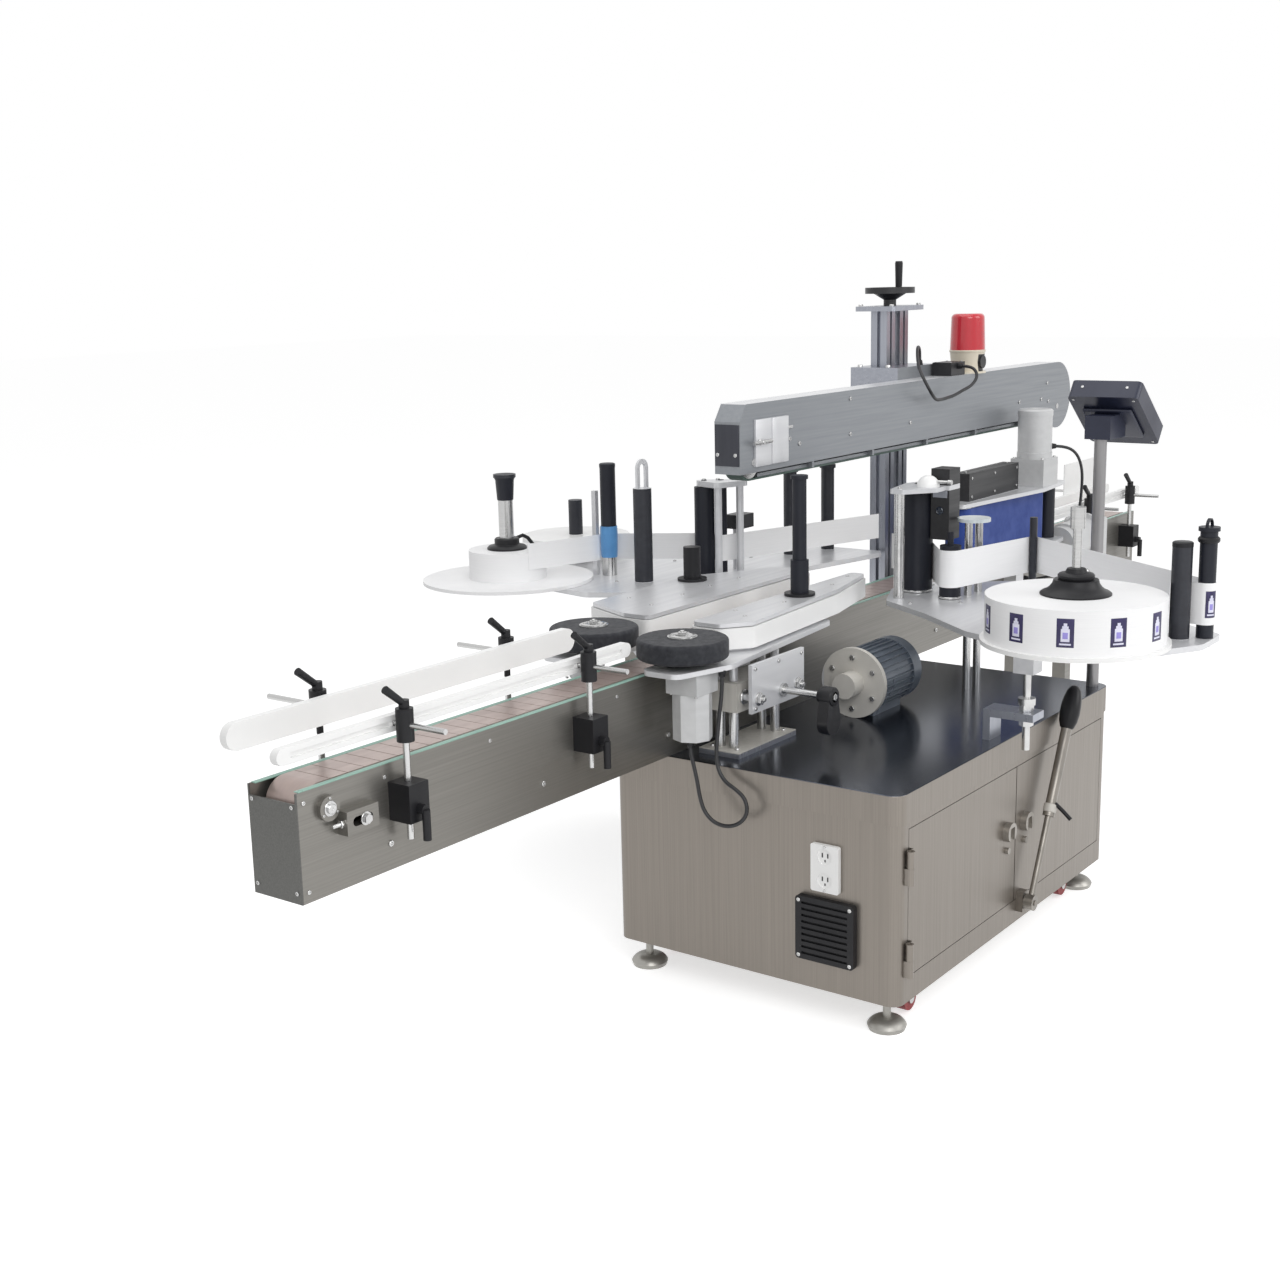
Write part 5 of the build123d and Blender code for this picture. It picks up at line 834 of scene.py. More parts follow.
@dataclass
class Studio:
    """Camera, lamps, surroundings and floor.

    Attributes:
        eye: place of the camera in metres.
        look: turn of the camera in radians.
        lens: focal length in millimetres.
        sensor: width of its sensor in millimetres.
        far_clip: how far it sees in metres.
        lamps: name, place and side in metres, and power in watts, of each lamp.
        aim: point that the lamps look at, in metres.
        ambient: strength of the surroundings on the object.
        floor_side: side of the floor in metres.
        floor_grey: grey of the floor.
        floor_gloss: roughness of the floor.
        floor_glow: light that the camera sees the floor give.
    """

    eye: Point = (-3.46572274, -1.98916946, 1.44903264)
    look: Point = (1.35720963, 0.02286975, -0.93390134)
    lens: float = 47.37
    sensor: float = 36.0
    far_clip: float = 200.0
    lamps: tuple[tuple[str, Point, float, float], ...] = (
        ("window_lamp", (-3.6, -3.4, 3.4), 3.2, 98.0),
        ("side_lamp", (1.2, -4.6, 3.0), 3.0, 75.0),
        ("ceiling_lamp", (-0.4, 0.3, 4.6), 3.6, 50.0),
    )
    aim: Point = (-0.3, -0.1, 0.6)
    ambient: float = 0.5
    floor_side: float = 60.0
    floor_grey: float = 0.78
    floor_gloss: float = 0.9
    floor_glow: float = 0.6

    def build(self) -> None:
        """Builds the whole studio."""
        bpy.context.scene.view_settings.view_transform = "Standard"
        self._camera()
        self._surroundings()
        for lamp in self.lamps:
            self._lamp(*lamp)
        self._floor()

    def _camera(self) -> None:
        """Adds the camera at the photograph's viewing angle."""
        bpy.ops.object.camera_add(location=self.eye, rotation=self.look)
        camera = bpy.context.active_object
        camera.name = "photograph_camera"
        camera.data.lens = self.lens
        camera.data.sensor_width = self.sensor
        camera.data.clip_end = self.far_clip
        bpy.context.scene.camera = camera

    def _lamp(self, name: str, place: Point, side: float, power: float) -> None:
        """Adds a soft square lamp that points at the machine's middle.

        Args:
            name: name of the lamp.
            place: where it hangs, in metres.
            side: its side in metres.
            power: its power in watts.
        """
        bpy.ops.object.light_add(type="AREA", location=place)
        lamp = bpy.context.active_object
        lamp.name = name
        lamp.data.size = side
        lamp.data.energy = power
        lamp.rotation_euler = (Vector(self.aim) - Vector(place)).to_track_quat("-Z", "Y").to_euler()

    def _seen(self, tree: Tree) -> Socket:
        """Adds a mask of the rays that see the surroundings: from the camera, off metal and through glass.

        Args:
            tree: node tree of the floor or the world.

        Returns:
            The mask socket.
        """
        path = tree.nodes.new("ShaderNodeLightPath")
        mask = path.outputs["Is Camera Ray"]
        for name in ("Is Glossy Ray", "Is Transmission Ray"):
            node = tree.nodes.new("ShaderNodeMath")
            node.operation = "MAXIMUM"
            tree.links.new(mask, node.inputs[0])
            tree.links.new(path.outputs[name], node.inputs[1])
            mask = node.outputs["Value"]
        return mask

    def _surroundings(self) -> None:
        """Makes the surroundings white to the eye and plain grey as a light."""
        world = bpy.data.worlds.new("studio_surroundings")
        bpy.context.scene.world = world
        world.use_nodes = True
        tree = world.node_tree
        light = tree.nodes["Background"]
        light.inputs["Color"].default_value = WHITE_LIGHT
        light.inputs["Strength"].default_value = self.ambient
        white = tree.nodes.new("ShaderNodeBackground")
        white.inputs["Color"].default_value = WHITE_LIGHT
        white.inputs["Strength"].default_value = 1.0
        choice = tree.nodes.new("ShaderNodeMixShader")
        tree.links.new(self._seen(tree), choice.inputs[0])
        tree.links.new(light.outputs[0], choice.inputs[1])
        tree.links.new(white.outputs[0], choice.inputs[2])
        tree.links.new(choice.outputs[0], tree.nodes["World Output"].inputs["Surface"])

    def _floor(self) -> None:
        """Lays a pale floor that keeps the machine's shadow."""
        bpy.ops.object.select_all(action="DESELECT")
        bpy.ops.mesh.primitive_plane_add(size=self.floor_side, location=(0, 0, 0))
        floor = bpy.context.active_object
        floor.name = "studio_floor"
        material = bpy.data.materials.new("pale_floor")
        material.use_nodes = True
        tree = material.node_tree
        shader = tree.nodes["Principled BSDF"]
        shader.inputs["Base Color"].default_value = (self.floor_grey, self.floor_grey, self.floor_grey, 1.0)
        shader.inputs["Roughness"].default_value = self.floor_gloss
        shader.inputs["Specular IOR Level"].default_value = 0.0
        glow = tree.nodes.new("ShaderNodeEmission")
        glow.inputs["Strength"].default_value = self.floor_glow
        nothing = tree.nodes.new("ShaderNodeEmission")
        nothing.inputs["Strength"].default_value = 0.0
        choice = tree.nodes.new("ShaderNodeMixShader")
        both = tree.nodes.new("ShaderNodeAddShader")
        tree.links.new(self._seen(tree), choice.inputs[0])
        tree.links.new(nothing.outputs[0], choice.inputs[1])
        tree.links.new(glow.outputs[0], choice.inputs[2])
        tree.links.new(shader.outputs[0], both.inputs[0])
        tree.links.new(choice.outputs[0], both.inputs[1])
        tree.links.new(both.outputs[0], tree.nodes["Material Output"].inputs["Surface"])
        floor.data.materials.append(material)


# ---------------------------------------------------------------- work on a sub-assembly


@dataclass
class Dressing:
    """Work on one sub-assembly of the machine.

    Attributes:
        bench: where its pieces are made and dressed.
    """

    bench: Bench


# ---------------------------------------------------------------- cords


@dataclass
class Cords(Dressing):
    """The three black cords, each held by the machine at both ends.

    Attributes:
        radius: radius of a cord in metres.
        beacon: route from the clamp block over the beam and back up to the junction box.
        wrap: route from the wrap motor down to the conveyor wall.
        separator: hanging loop below the near wheel's motor.
    """

    radius: float = 0.004
    beacon: tuple[Point, ...] = (
        (0.480, 0.042, 1.206), (0.480, 0.042, 1.232), (0.464, 0.036, 1.252), (0.436, 0.026, 1.254),
        (0.406, 0.011, 1.240), (0.376, -0.006, 1.222), (0.348, -0.025, 1.204), (0.326, -0.046, 1.186),
        (0.318, -0.064, 1.164), (0.330, -0.071, 1.142), (0.358, -0.067, 1.128), (0.392, -0.062, 1.126),
        (0.430, -0.062, 1.128), (0.468, -0.064, 1.132), (0.502, -0.069, 1.142), (0.530, -0.080, 1.152),
        (0.549, -0.088, 1.174), (0.559, -0.074, 1.194), (0.561, -0.051, 1.200), (0.561, -0.027, 1.200),
    )
    wrap: tuple[Point, ...] = (
        (0.9076, -0.1408, 0.965), (0.9292, -0.1696, 0.965), (0.952, -0.196, 0.946), (0.966, -0.208, 0.900),
        (0.970, -0.206, 0.838), (0.970, -0.200, 0.772), (0.968, -0.196, 0.706), (0.960, -0.184, 0.650),
        (0.949, -0.154, 0.610), (0.942, -0.112, 0.590), (0.940, -0.078, 0.586), (0.940, -0.056, 0.586),
    )
    separator: tuple[Point, ...] = (
        (-0.836, -0.142, 0.545), (-0.836, -0.142, 0.522), (-0.836, -0.150, 0.494), (-0.837, -0.158, 0.464),
        (-0.838, -0.164, 0.434), (-0.838, -0.174, 0.406), (-0.835, -0.194, 0.386), (-0.830, -0.222, 0.380),
        (-0.825, -0.250, 0.390), (-0.821, -0.266, 0.414), (-0.817, -0.258, 0.441), (-0.815, -0.234, 0.456),
        (-0.813, -0.208, 0.466), (-0.811, -0.190, 0.488), (-0.808, -0.184, 0.520), (-0.803, -0.185, 0.560),
        (-0.796, -0.186, 0.604), (-0.788, -0.187, 0.646), (-0.788, -0.187, 0.685),
    )

    def build(self) -> None:
        """Runs the three cords."""
        self._run("beacon_lead", "beacon_cord", self.beacon, Body.BEAM, 0.591, "limp")
        self._run("wrap_motor_lead", "wrap_cord", self.wrap, Body.MACHINE, 0.528, "medium")
        self._run("near_wheel_lead", "separator_cord", self.separator, Body.CARRIAGE, 0.566, "limp")

    def _run(self, name: str, node: str, route: tuple[Point, ...], body: Body, length: float, stiffness: str) -> None:
        """Runs one cord along its route.

        Args:
            name: name of the piece.
            node: node that it stands for.
            route: control points in metres.
            body: body that it rides on.
            length: its real length in metres.
            stiffness: how stiff it is; not used.
        """
        cord = self.bench.line(name, list(route), self.radius, "NURBS")
        cord.data.materials.append(self.bench.palette.plain(Finishes.CORD))
        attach(cord, body.value)
        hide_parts(node)
        self.bench.count += 1
        log.info("ran %s of %.3f m", name, length)


# ---------------------------------------------------------------- carried nodes


@dataclass
class Carried(Dressing):
    """Finishes of the frame's own nodes.

    Attributes:
        plain: finish of each node that has only one.
    """

    plain: dict[str, Finishes] = field(default_factory=lambda: {
        "cabinet_shell": Finishes.CABINET, "levelling_feet": Finishes.FOOT,
        "caster_forks": Finishes.BRIGHT, "infeed_caster_wheels": Finishes.RED_RUBBER,
        "exit_caster_wheels": Finishes.RED_RUBBER,
        "slat_chain": Finishes.CHAIN, "conveyor_drive_shaft": Finishes.BRIGHT,
        "conveyor_idler_shaft": Finishes.BRIGHT, "leg_stand": Finishes.CONVEYOR,
        "near_guide_chain": Finishes.WHITE, "far_guide_chain": Finishes.WHITE,
        "far_guide_shaft": Finishes.BLACK, "crank_grip": Finishes.BLACK, "hold_down_belt": Finishes.GREEN_BELT,
        "belt_drive_pulley": Finishes.BRIGHT, "belt_idler_pulley": Finishes.BRIGHT,
        "beacon_dome": Finishes.RED_LENS, "panel_post": Finishes.POST, "panel_head": Finishes.PANEL,
        "wrap_belt": Finishes.BLUE_BELT, "wrap_roller": Finishes.RUBBER, "near_traction_roller": Finishes.RUBBER,
        "near_nip_roller": Finishes.RUBBER, "near_rewind_roller": Finishes.RUBBER,
        "near_label_web": Finishes.PAPER, "far_traction_roller": Finishes.RUBBER,
        "far_nip_roller": Finishes.RUBBER, "far_label_web": Finishes.PAPER, "lift_screw": Finishes.BRIGHT,
    })

    def build(self) -> None:
        """Gives each node its finish."""
        for node, finish in self.plain.items():
            self.bench.finish_node(node, finish)
        self._cabinet()
        self._guides()
        self._beam()
        self._heads()

    def _cabinet(self) -> None:
        """Finishes the doors, the inlet, the motors and the lever."""
        self.bench.finish_node(
            "table_plate", Finishes.CABINET, Zone((-800, -600, 489.2), (260, 100, 491), Finishes.TABLE)
        )
        self.bench.finish_node(
            "infeed_door", Finishes.CABINET, Zone((-329, -602, 228), (-284, -579.3, 308), Finishes.PULL)
        )
        self.bench.finish_node(
            "exit_panel", Finishes.CABINET, Zone((-240, -602, 228), (-195, -579.3, 308), Finishes.PULL)
        )
        self.bench.finish_node(
            "inlet_fittings", Finishes.BLACK, Zone((-805, -460, 270), (-780, -385, 375), Finishes.WHITE)
        )
        self.bench.finish_node(
            "gear_motors", Finishes.MOTOR,
            Zone((-385, -300, 485), (-90, -150, 660), Finishes.BLUE_MOTOR),
            Zone((-330.5, -300, 485), (-317, -150, 660), Finishes.CREAM),
            Zone((-375, -260, 530), (-330.4, -190, 610), Finishes.CREAM),
        )
        # The conveyor's infeed end face gets darker steel as painted shade.
        self.bench.finish_node(
            "conveyor_frame", Finishes.CONVEYOR, Zone((-1790, -70, 485), (-1779.5, 70, 680), Finishes.END_STEEL)
        )
        self.bench.finish_node(
            "transport_lever", Finishes.LEVER, Zone((-80, -640, 462), (20, -570, 620), Finishes.BLACK)
        )
        self.bench.finish_node("column", Finishes.ALUMINIUM)

    def _guides(self) -> None:
        """Finishes the rails, brackets, carriage and guide plates."""
        self.bench.finish_node(
            "infeed_near_rail", Finishes.WHITE, Zone((-1800, -180, 730), (-900, -58.2, 748), Finishes.BRIGHT)
        )
        self.bench.finish_node(
            "infeed_far_rail", Finishes.WHITE, Zone((-1800, 58.2, 750), (-900, 210, 764), Finishes.BRIGHT)
        )
        self.bench.finish_node(
            "exit_guide_rails", Finishes.WHITE,
            Zone((1200, -200, 732), (1700, -58.2, 744), Finishes.BRIGHT),
            Zone((1200, 62, 732), (1700, 220, 744), Finishes.BRIGHT),
        )
        posts = (-1560, -1073, -1600, -1121, 1346, 1678)
        rods = tuple(
            Zone((x - 7, -88, low), (x + 7, 88, high), Finishes.BRIGHT)
            for x in posts for low, high in ((530, 575.6), (642.4, 709))
        )
        self.bench.finish_node("rail_brackets", Finishes.BLACK, *rods)
        self.bench.finish_node(
            "table_guides", Finishes.ALUMINIUM,
            Zone((-740, -195, 500), (-510, -90, 650), Finishes.CREAM),
            Zone((-720, -175, 502.5), (-530, -110, 581.5), Finishes.BRIGHT),
            Zone((20, -330, 485), (100, -300, 879.5), Finishes.BRIGHT),
            Zone((20, -360, 879.6), (105, -275, 890), Finishes.CLEAR),
        )
        self.bench.finish_node(
            "near_carriage", Finishes.PLATE,
            Zone((-855, -175, 540), (-770, -90, 684.5), Finishes.MOTOR),
            Zone((-705, -230, 601), (-690, -80, 623), Finishes.BRIGHT),
            Zone((-560, -230, 601), (-545, -80, 623), Finishes.BRIGHT),
        )
        self.bench.finish_node(
            "carriage_handwheel", Finishes.BRIGHT,
            Zone((-650, -340, 520), (-570, -312, 640), Finishes.BLACK),
        )
        for side, node in ((-1, "near_separator_wheel"), (1, "far_separator_wheel")):
            low, high = sorted((side * 81, side * 141))
            self.bench.finish_node(
                node, Finishes.SPONGE, Zone((-843, low, 748.2), (-783, high, 752), Finishes.BRIGHT)
            )
        self.bench.finish_node(
            "far_guide_plates", Finishes.PLATE, Zone((-855, 90, 540), (-770, 175, 684.5), Finishes.MOTOR)
        )
        self.bench.finish_node(
            "near_guide_shaft", Finishes.RUBBER, Zone((-385, -140, 640), (-305, -55, 760.6), Finishes.BLACK)
        )

    def _beam(self) -> None:
        """Finishes the beam, its screw, the beacon's base and the wrap unit."""
        self.bench.finish_node(
            "beam", Finishes.BEAM,
            Zone((340, 32.2, 1045), (555, 170, 1210), Finishes.ALUMINIUM),
            Zone((-460, -31.6, 1175), (1100, 31.6, 1177), Finishes.PLATE),
            Zone((1080, -31.6, 980), (1300, 31.6, 1178), Finishes.PLATE),
        )
        self.bench.finish_node(
            "height_screw", Finishes.BRIGHT, Zone((380, 45, 1357), (485, 180, 1404), Finishes.BLACK),
            Zone((483, 45, 1380), (515, 180, 1404), Finishes.BLACK),
        )
        self.bench.finish_node(
            "beacon_base", Finishes.BONE, Zone((515, -40, 1170), (602, 40, 1215), Finishes.BLACK),
            Zone((650, -60, 1180), (690, -38.5, 1225), Finishes.BLACK),
        )
        self.bench.finish_node(
            "wrap_frame", Finishes.PLATE,
            Zone((475, -110, 860.5), (785, -50, 940), Finishes.BLACK),
            Zone((828, -158, 860.5), (934, -50, 1070), Finishes.MOTOR),
            Zone((440, -112, 700.5), (945, -48, 849.5), Finishes.WHITE),
        )

    def _heads(self) -> None:
        """Finishes both label heads and their reels."""
        self.bench.finish_node(
            "near_head_frame", Finishes.PLATE,
            Zone((-200, -905, 712.5), (-152, -855, 910), Finishes.RUBBER),
            Zone((218, -402, 712.5), (242, -376, 880), Finishes.RUBBER),
            Zone((14, -277, 836), (73, -227, 952.5), Finishes.BLACK),
            Zone((14, -277, 963.5), (73, -227, 1003), Finishes.BLACK),
            Zone((-40, -266, 963.5), (15, -208, 1000), Finishes.WHITE),
            Zone((-92, -213, 712.5), (-64, -185, 952.5), Finishes.BRIGHT),
        )
        self.bench.finish_node(
            "near_label_roll", Finishes.PAPER,
            Zone((-520, -920, 690), (-120, -520, 721.5), Finishes.WHITE),
            Zone((-386, -784, 811.2), (-258, -656, 842), Finishes.BLACK),
            Zone((-340, -740, 841.8), (-300, -700, 990), Finishes.BRIGHT),
        )
        self.bench.finish_node(
            "far_head_frame", Finishes.PLATE,
            Zone((190, 205, 735.5), (360, 295, 960), Finishes.RUBBER),
            Zone((-285, 470, 735.5), (-240, 512, 1005), Finishes.BRIGHT),
            Zone((-315, 343, 735.5), (-265, 393, 957.5), Finishes.RUBBER),
            Zone((-70, 238, 836), (0, 288, 875), Finishes.BLACK),
        )
        self.bench.finish_node(
            "far_label_roll", Finishes.PAPER,
            Zone((-460, 645, 812.2), (-420, 685, 983.5), Finishes.BRIGHT),
            Zone((-475, 630, 983.5), (-405, 700, 995), Finishes.RUBBER),
        )
        self.bench.finish_node(
            "far_rewind_reel", Finishes.WHITE, Zone((-110, 710, 792.5), (-40, 780, 885), Finishes.RUBBER)
        )


# ---------------------------------------------------------------- cabinet and conveyor


@dataclass
class CabinetTrim(Dressing):
    """Socket slots and plate and guard screws of the cabinet.

    Attributes:
        socket_x: plane of the socket recesses.
        socket_y: middle of the socket plate.
        socket_heights: heights of the two sockets.
        guard_x: front plane of the fan guard.
        guard_centre: middle of the fan guard as Y and Z.
        guard_pitch: half the distance between its screws.
        plate_screws: heights of the socket plate's screws.
        plate_step: how far the plate lies behind the guard's front.
        slots: shift, foot and top of each contact slot of a socket.
        slot_half: half the width of a slot.
        slot_drop: how far the slots lie below the socket's middle.
    """

    socket_x: float = -793.0
    socket_y: float = -424.0
    socket_heights: Pair = (346.0, 298.0)
    guard_x: float = -801.0
    guard_centre: Pair = (-426.0, 194.0)
    guard_pitch: float = 57.0
    plate_screws: Pair = (366.0, 278.0)
    plate_step: float = 5.0
    slots: tuple[Point, ...] = ((-6.0, 0.0, 9.0), (6.0, 0.0, 9.0), (0.0, -9.0, -4.0))
    slot_half: float = 1.3
    slot_drop: float = 2.0

    def build(self) -> None:
        """Makes all trim of the cabinet."""
        self._sockets()
        y, z = self.guard_centre
        places = [
            (self.guard_x, y + a * self.guard_pitch, z + b * self.guard_pitch)
            for a in (-1, 1) for b in (-1, 1)
        ]
        self.bench.screwed("guard_screws", places, Facing.INFEED, Body.MACHINE, radius=4.0, height=2.2)
        plates = [(self.guard_x + self.plate_step, self.socket_y, height) for height in self.plate_screws]
        self.bench.screwed("socket_plate_screws", plates, Facing.INFEED, Body.MACHINE, radius=3.0, height=1.4)

    def _sockets(self) -> None:
        """Makes the contact slots in both sockets."""
        slots = []
        for number, height in enumerate(self.socket_heights):
            for side, low, high in self.slots:
                y, foot = self.socket_y + side, height - self.slot_drop
                back = (self.socket_x - 2 * SINK, y - self.slot_half, foot + low)
                front = (self.socket_x + SINK, y + self.slot_half, foot + high)
                slots.append(self.bench.boxed(f"socket_slot_{number}_{side:.0f}", back, front, edge=0.3, steps=1))
        self.bench.black(self.bench.joined(slots), Body.MACHINE)


@dataclass
class ConveyorTrim(Dressing):
    """Tie screws, edge strips, bearing caps and tensioner of the conveyor.

    Attributes:
        wall_y: outer plane of the walls.
        tie_pitch: distance between the ties.
        tie_z: height of the ties.
        end_x: end plane at the infeed.
        end_screws: distance from the middle and the two heights of the screws in it.
        wall_screws: X and Z of the screws in the near wall.
        strip_x: how far the edge strips reach.
        strip: inner and outer side, foot and top of an edge strip.
        boss: place of the infeed bearing as X and Z.
        boss_face: how far the bearing's face stands out.
        boss_screw: distance of the bearing's screws from its middle.
        slot: middle of the tensioner's slot as X and Z.
        slot_face: front plane of the tensioner.
        screw_depth: how far its adjusting screw lies behind that plane.
    """

    wall_y: float = 56.0
    tie_pitch: float = 396.0
    tie_z: float = 536.0
    end_x: float = -1782.0
    end_screws: Point = (46.0, 508.0, 650.0)
    wall_screws: tuple[Pair, ...] = (
        (-1768.0, 508.0), (-1768.0, 655.0), (-1590.0, 652.0), (-1330.0, 652.0), (-960.0, 652.0)
    )
    strip_x: float = 1775.0
    strip: tuple[float, float, float, float] = (44.0, 55.2, 672.6, 674.4)
    boss: Pair = (-1720.0, 635.0)
    boss_face: float = 65.0
    boss_screw: float = 17.2
    slot: Pair = (-1663.0, 604.0)
    slot_face: float = -78.0
    screw_depth: float = 11.0

    def build(self) -> None:
        """Makes all trim of the conveyor."""
        ties = [number * self.tie_pitch for number in range(-4, 5)]
        self.bench.screwed(
            "near_tie_screws", [(x, -self.wall_y, self.tie_z) for x in ties], Facing.NEAR, Body.MACHINE, radius=5.5,
            height=3.0,
        )
        self.bench.screwed(
            "far_tie_screws", [(x, self.wall_y, self.tie_z) for x in ties], Facing.FAR, Body.MACHINE, radius=5.5,
            height=3.0,
        )
        apart, *heights = self.end_screws
        ends = [(self.end_x, side * apart, height) for side in (-1, 1) for height in heights]
        self.bench.screwed("infeed_end_screws", ends, Facing.INFEED, Body.MACHINE, radius=3.6, height=2.2)
        walls = [(x, -self.wall_y, z) for x, z in self.wall_screws]
        self.bench.screwed("wall_screws", walls, Facing.NEAR, Body.MACHINE, radius=3.8, height=2.2)
        self._strips()
        self._bearings()
        self._tensioner()

    def _strips(self) -> None:
        """Lays the pale green strips on both wall edges."""
        inside, outside, foot, top = self.strip
        for side, name in ((-1, "near"), (1, "far")):
            low, high = sorted((side * inside, side * outside))
            strip = self.bench.boxed(
                f"{name}_edge_strip", (-self.strip_x, low, foot), (self.strip_x, high, top), edge=0.6
            )
            self.bench.dress(strip, Body.MACHINE, Finishes.GREEN_GLASS, "white_plastic")

    def _bearings(self) -> None:
        """Caps the infeed bearings, with the shaft's end and three screws each."""
        x, z = self.boss
        for side, facing in ((-1, Facing.NEAR), (1, Facing.FAR)):
            name = facing.name.lower()
            face = (x, side * self.boss_face, z)
            steps = [(13, -0.5), (13, 1.2), (12, 2.0), (8.5, 2.0), (8.5, 5.0), (7.5, 6.0), (2.6, 6.0), (1.6, 4.6)]
            self.bench.bright(self.bench.turned(f"{name}_shaft_end", face, steps, facing), Body.MACHINE)
            screw = self.bench.screws(
                f"{name}_bearing_screws", [(x, side * self.boss_face, z + self.boss_screw)], facing, radius=2.2,
                height=1.6,
            )
            self.bench.bright(self.bench.ring_of(screw, face, 3, "Y"), Body.MACHINE)

    def _tensioner(self) -> None:
        """Makes the clamp bolt and the adjusting screw of the belt tensioner."""
        x, z = self.slot
        washer = self.bench.turned(
            "tensioner_washer", (x + 6, self.slot_face, z), [(11.5, -SINK), (11.5, 1.6), (10.8, 2.2), (5, 2.2)],
            Facing.NEAR,
        )
        head = self.bench.nut(
            "tensioner_bolt", (x + 6, self.slot_face - 2.0, z), radius=8.5, height=6.5, facing=Facing.NEAR
        )
        rod = self.bench.turned(
            "tensioner_screw", (x - 34, self.slot_face + self.screw_depth, z), [(3.4, -6), (3.4, 22), (2.8, 23)],
            Facing.INFEED, 16,
        )
        lock = self.bench.nut(
            "tensioner_lock_nut", (x - 35, self.slot_face + self.screw_depth, z), radius=7.0, height=5.5,
            facing=Facing.INFEED,
        )
        self.bench.bright(self.bench.joined([washer, head, rod, lock]), Body.MACHINE)


@dataclass
class TableMotor(Dressing):
    """Ribs, fan cover and bolts of the large motor on the table.

    Attributes:
        axis: middle of the motor as Y and Z.
        radius: radius of its body.
        ribs: number of cooling ribs.
        rib_ends: where the ribs start and end.
        rib_depth: how far a rib reaches into the body and out of it.
        flange_x: front plane of its flange.
        bolt_circle: radius of the circle of its bolts.
        cover_x: where the fan cover's dome starts.
    """

    axis: Pair = (-222.0, 568.0)
    radius: float = 66.0
    ribs: int = 30
    rib_ends: Pair = (-312.0, -176.0)
    rib_depth: Pair = (3.0, 5.0)
    flange_x: float = -330.5
    bolt_circle: float = 57.0
    cover_x: float = -146.0

    def build(self) -> None:
        """Makes all trim of the motor."""
        y, z = self.axis
        centre = (0.0, y, z)
        (start, end), (into, out) = self.rib_ends, self.rib_depth
        rib = self.bench.boxed(
            "motor_ribs", (start, y - 1.2, z + self.radius - into), (end, y + 1.2, z + self.radius + out), edge=0.5,
            steps=1,
        )
        self.bench.dress(
            self.bench.ring_of(rib, centre, self.ribs, "X"), Body.MACHINE, Finishes.BLUE_MOTOR, "motor_grey"
        )
        steps = [
            (self.radius + 5.5, -33), (self.radius + 5.5, 2), (self.radius + 1, 7), (44, 9), (42, 6), (14, 6),
            (12, 9), (4, 9.5),
        ]
        cover = self.bench.turned("motor_fan_cover", (self.cover_x, y, z), steps, Facing.EXIT, 48)
        self.bench.dress(cover, Body.MACHINE, Finishes.BLUE_MOTOR, "motor_grey")
        bolt = self.bench.nut(
            "motor_flange_bolts", (self.flange_x, y, z + self.bolt_circle), radius=6.5, height=5.0,
            facing=Facing.INFEED,
        )
        self.bench.bright(self.bench.ring_of(bolt, centre, 6, "X"), Body.MACHINE)


# ---------------------------------------------------------------- spacing and guiding


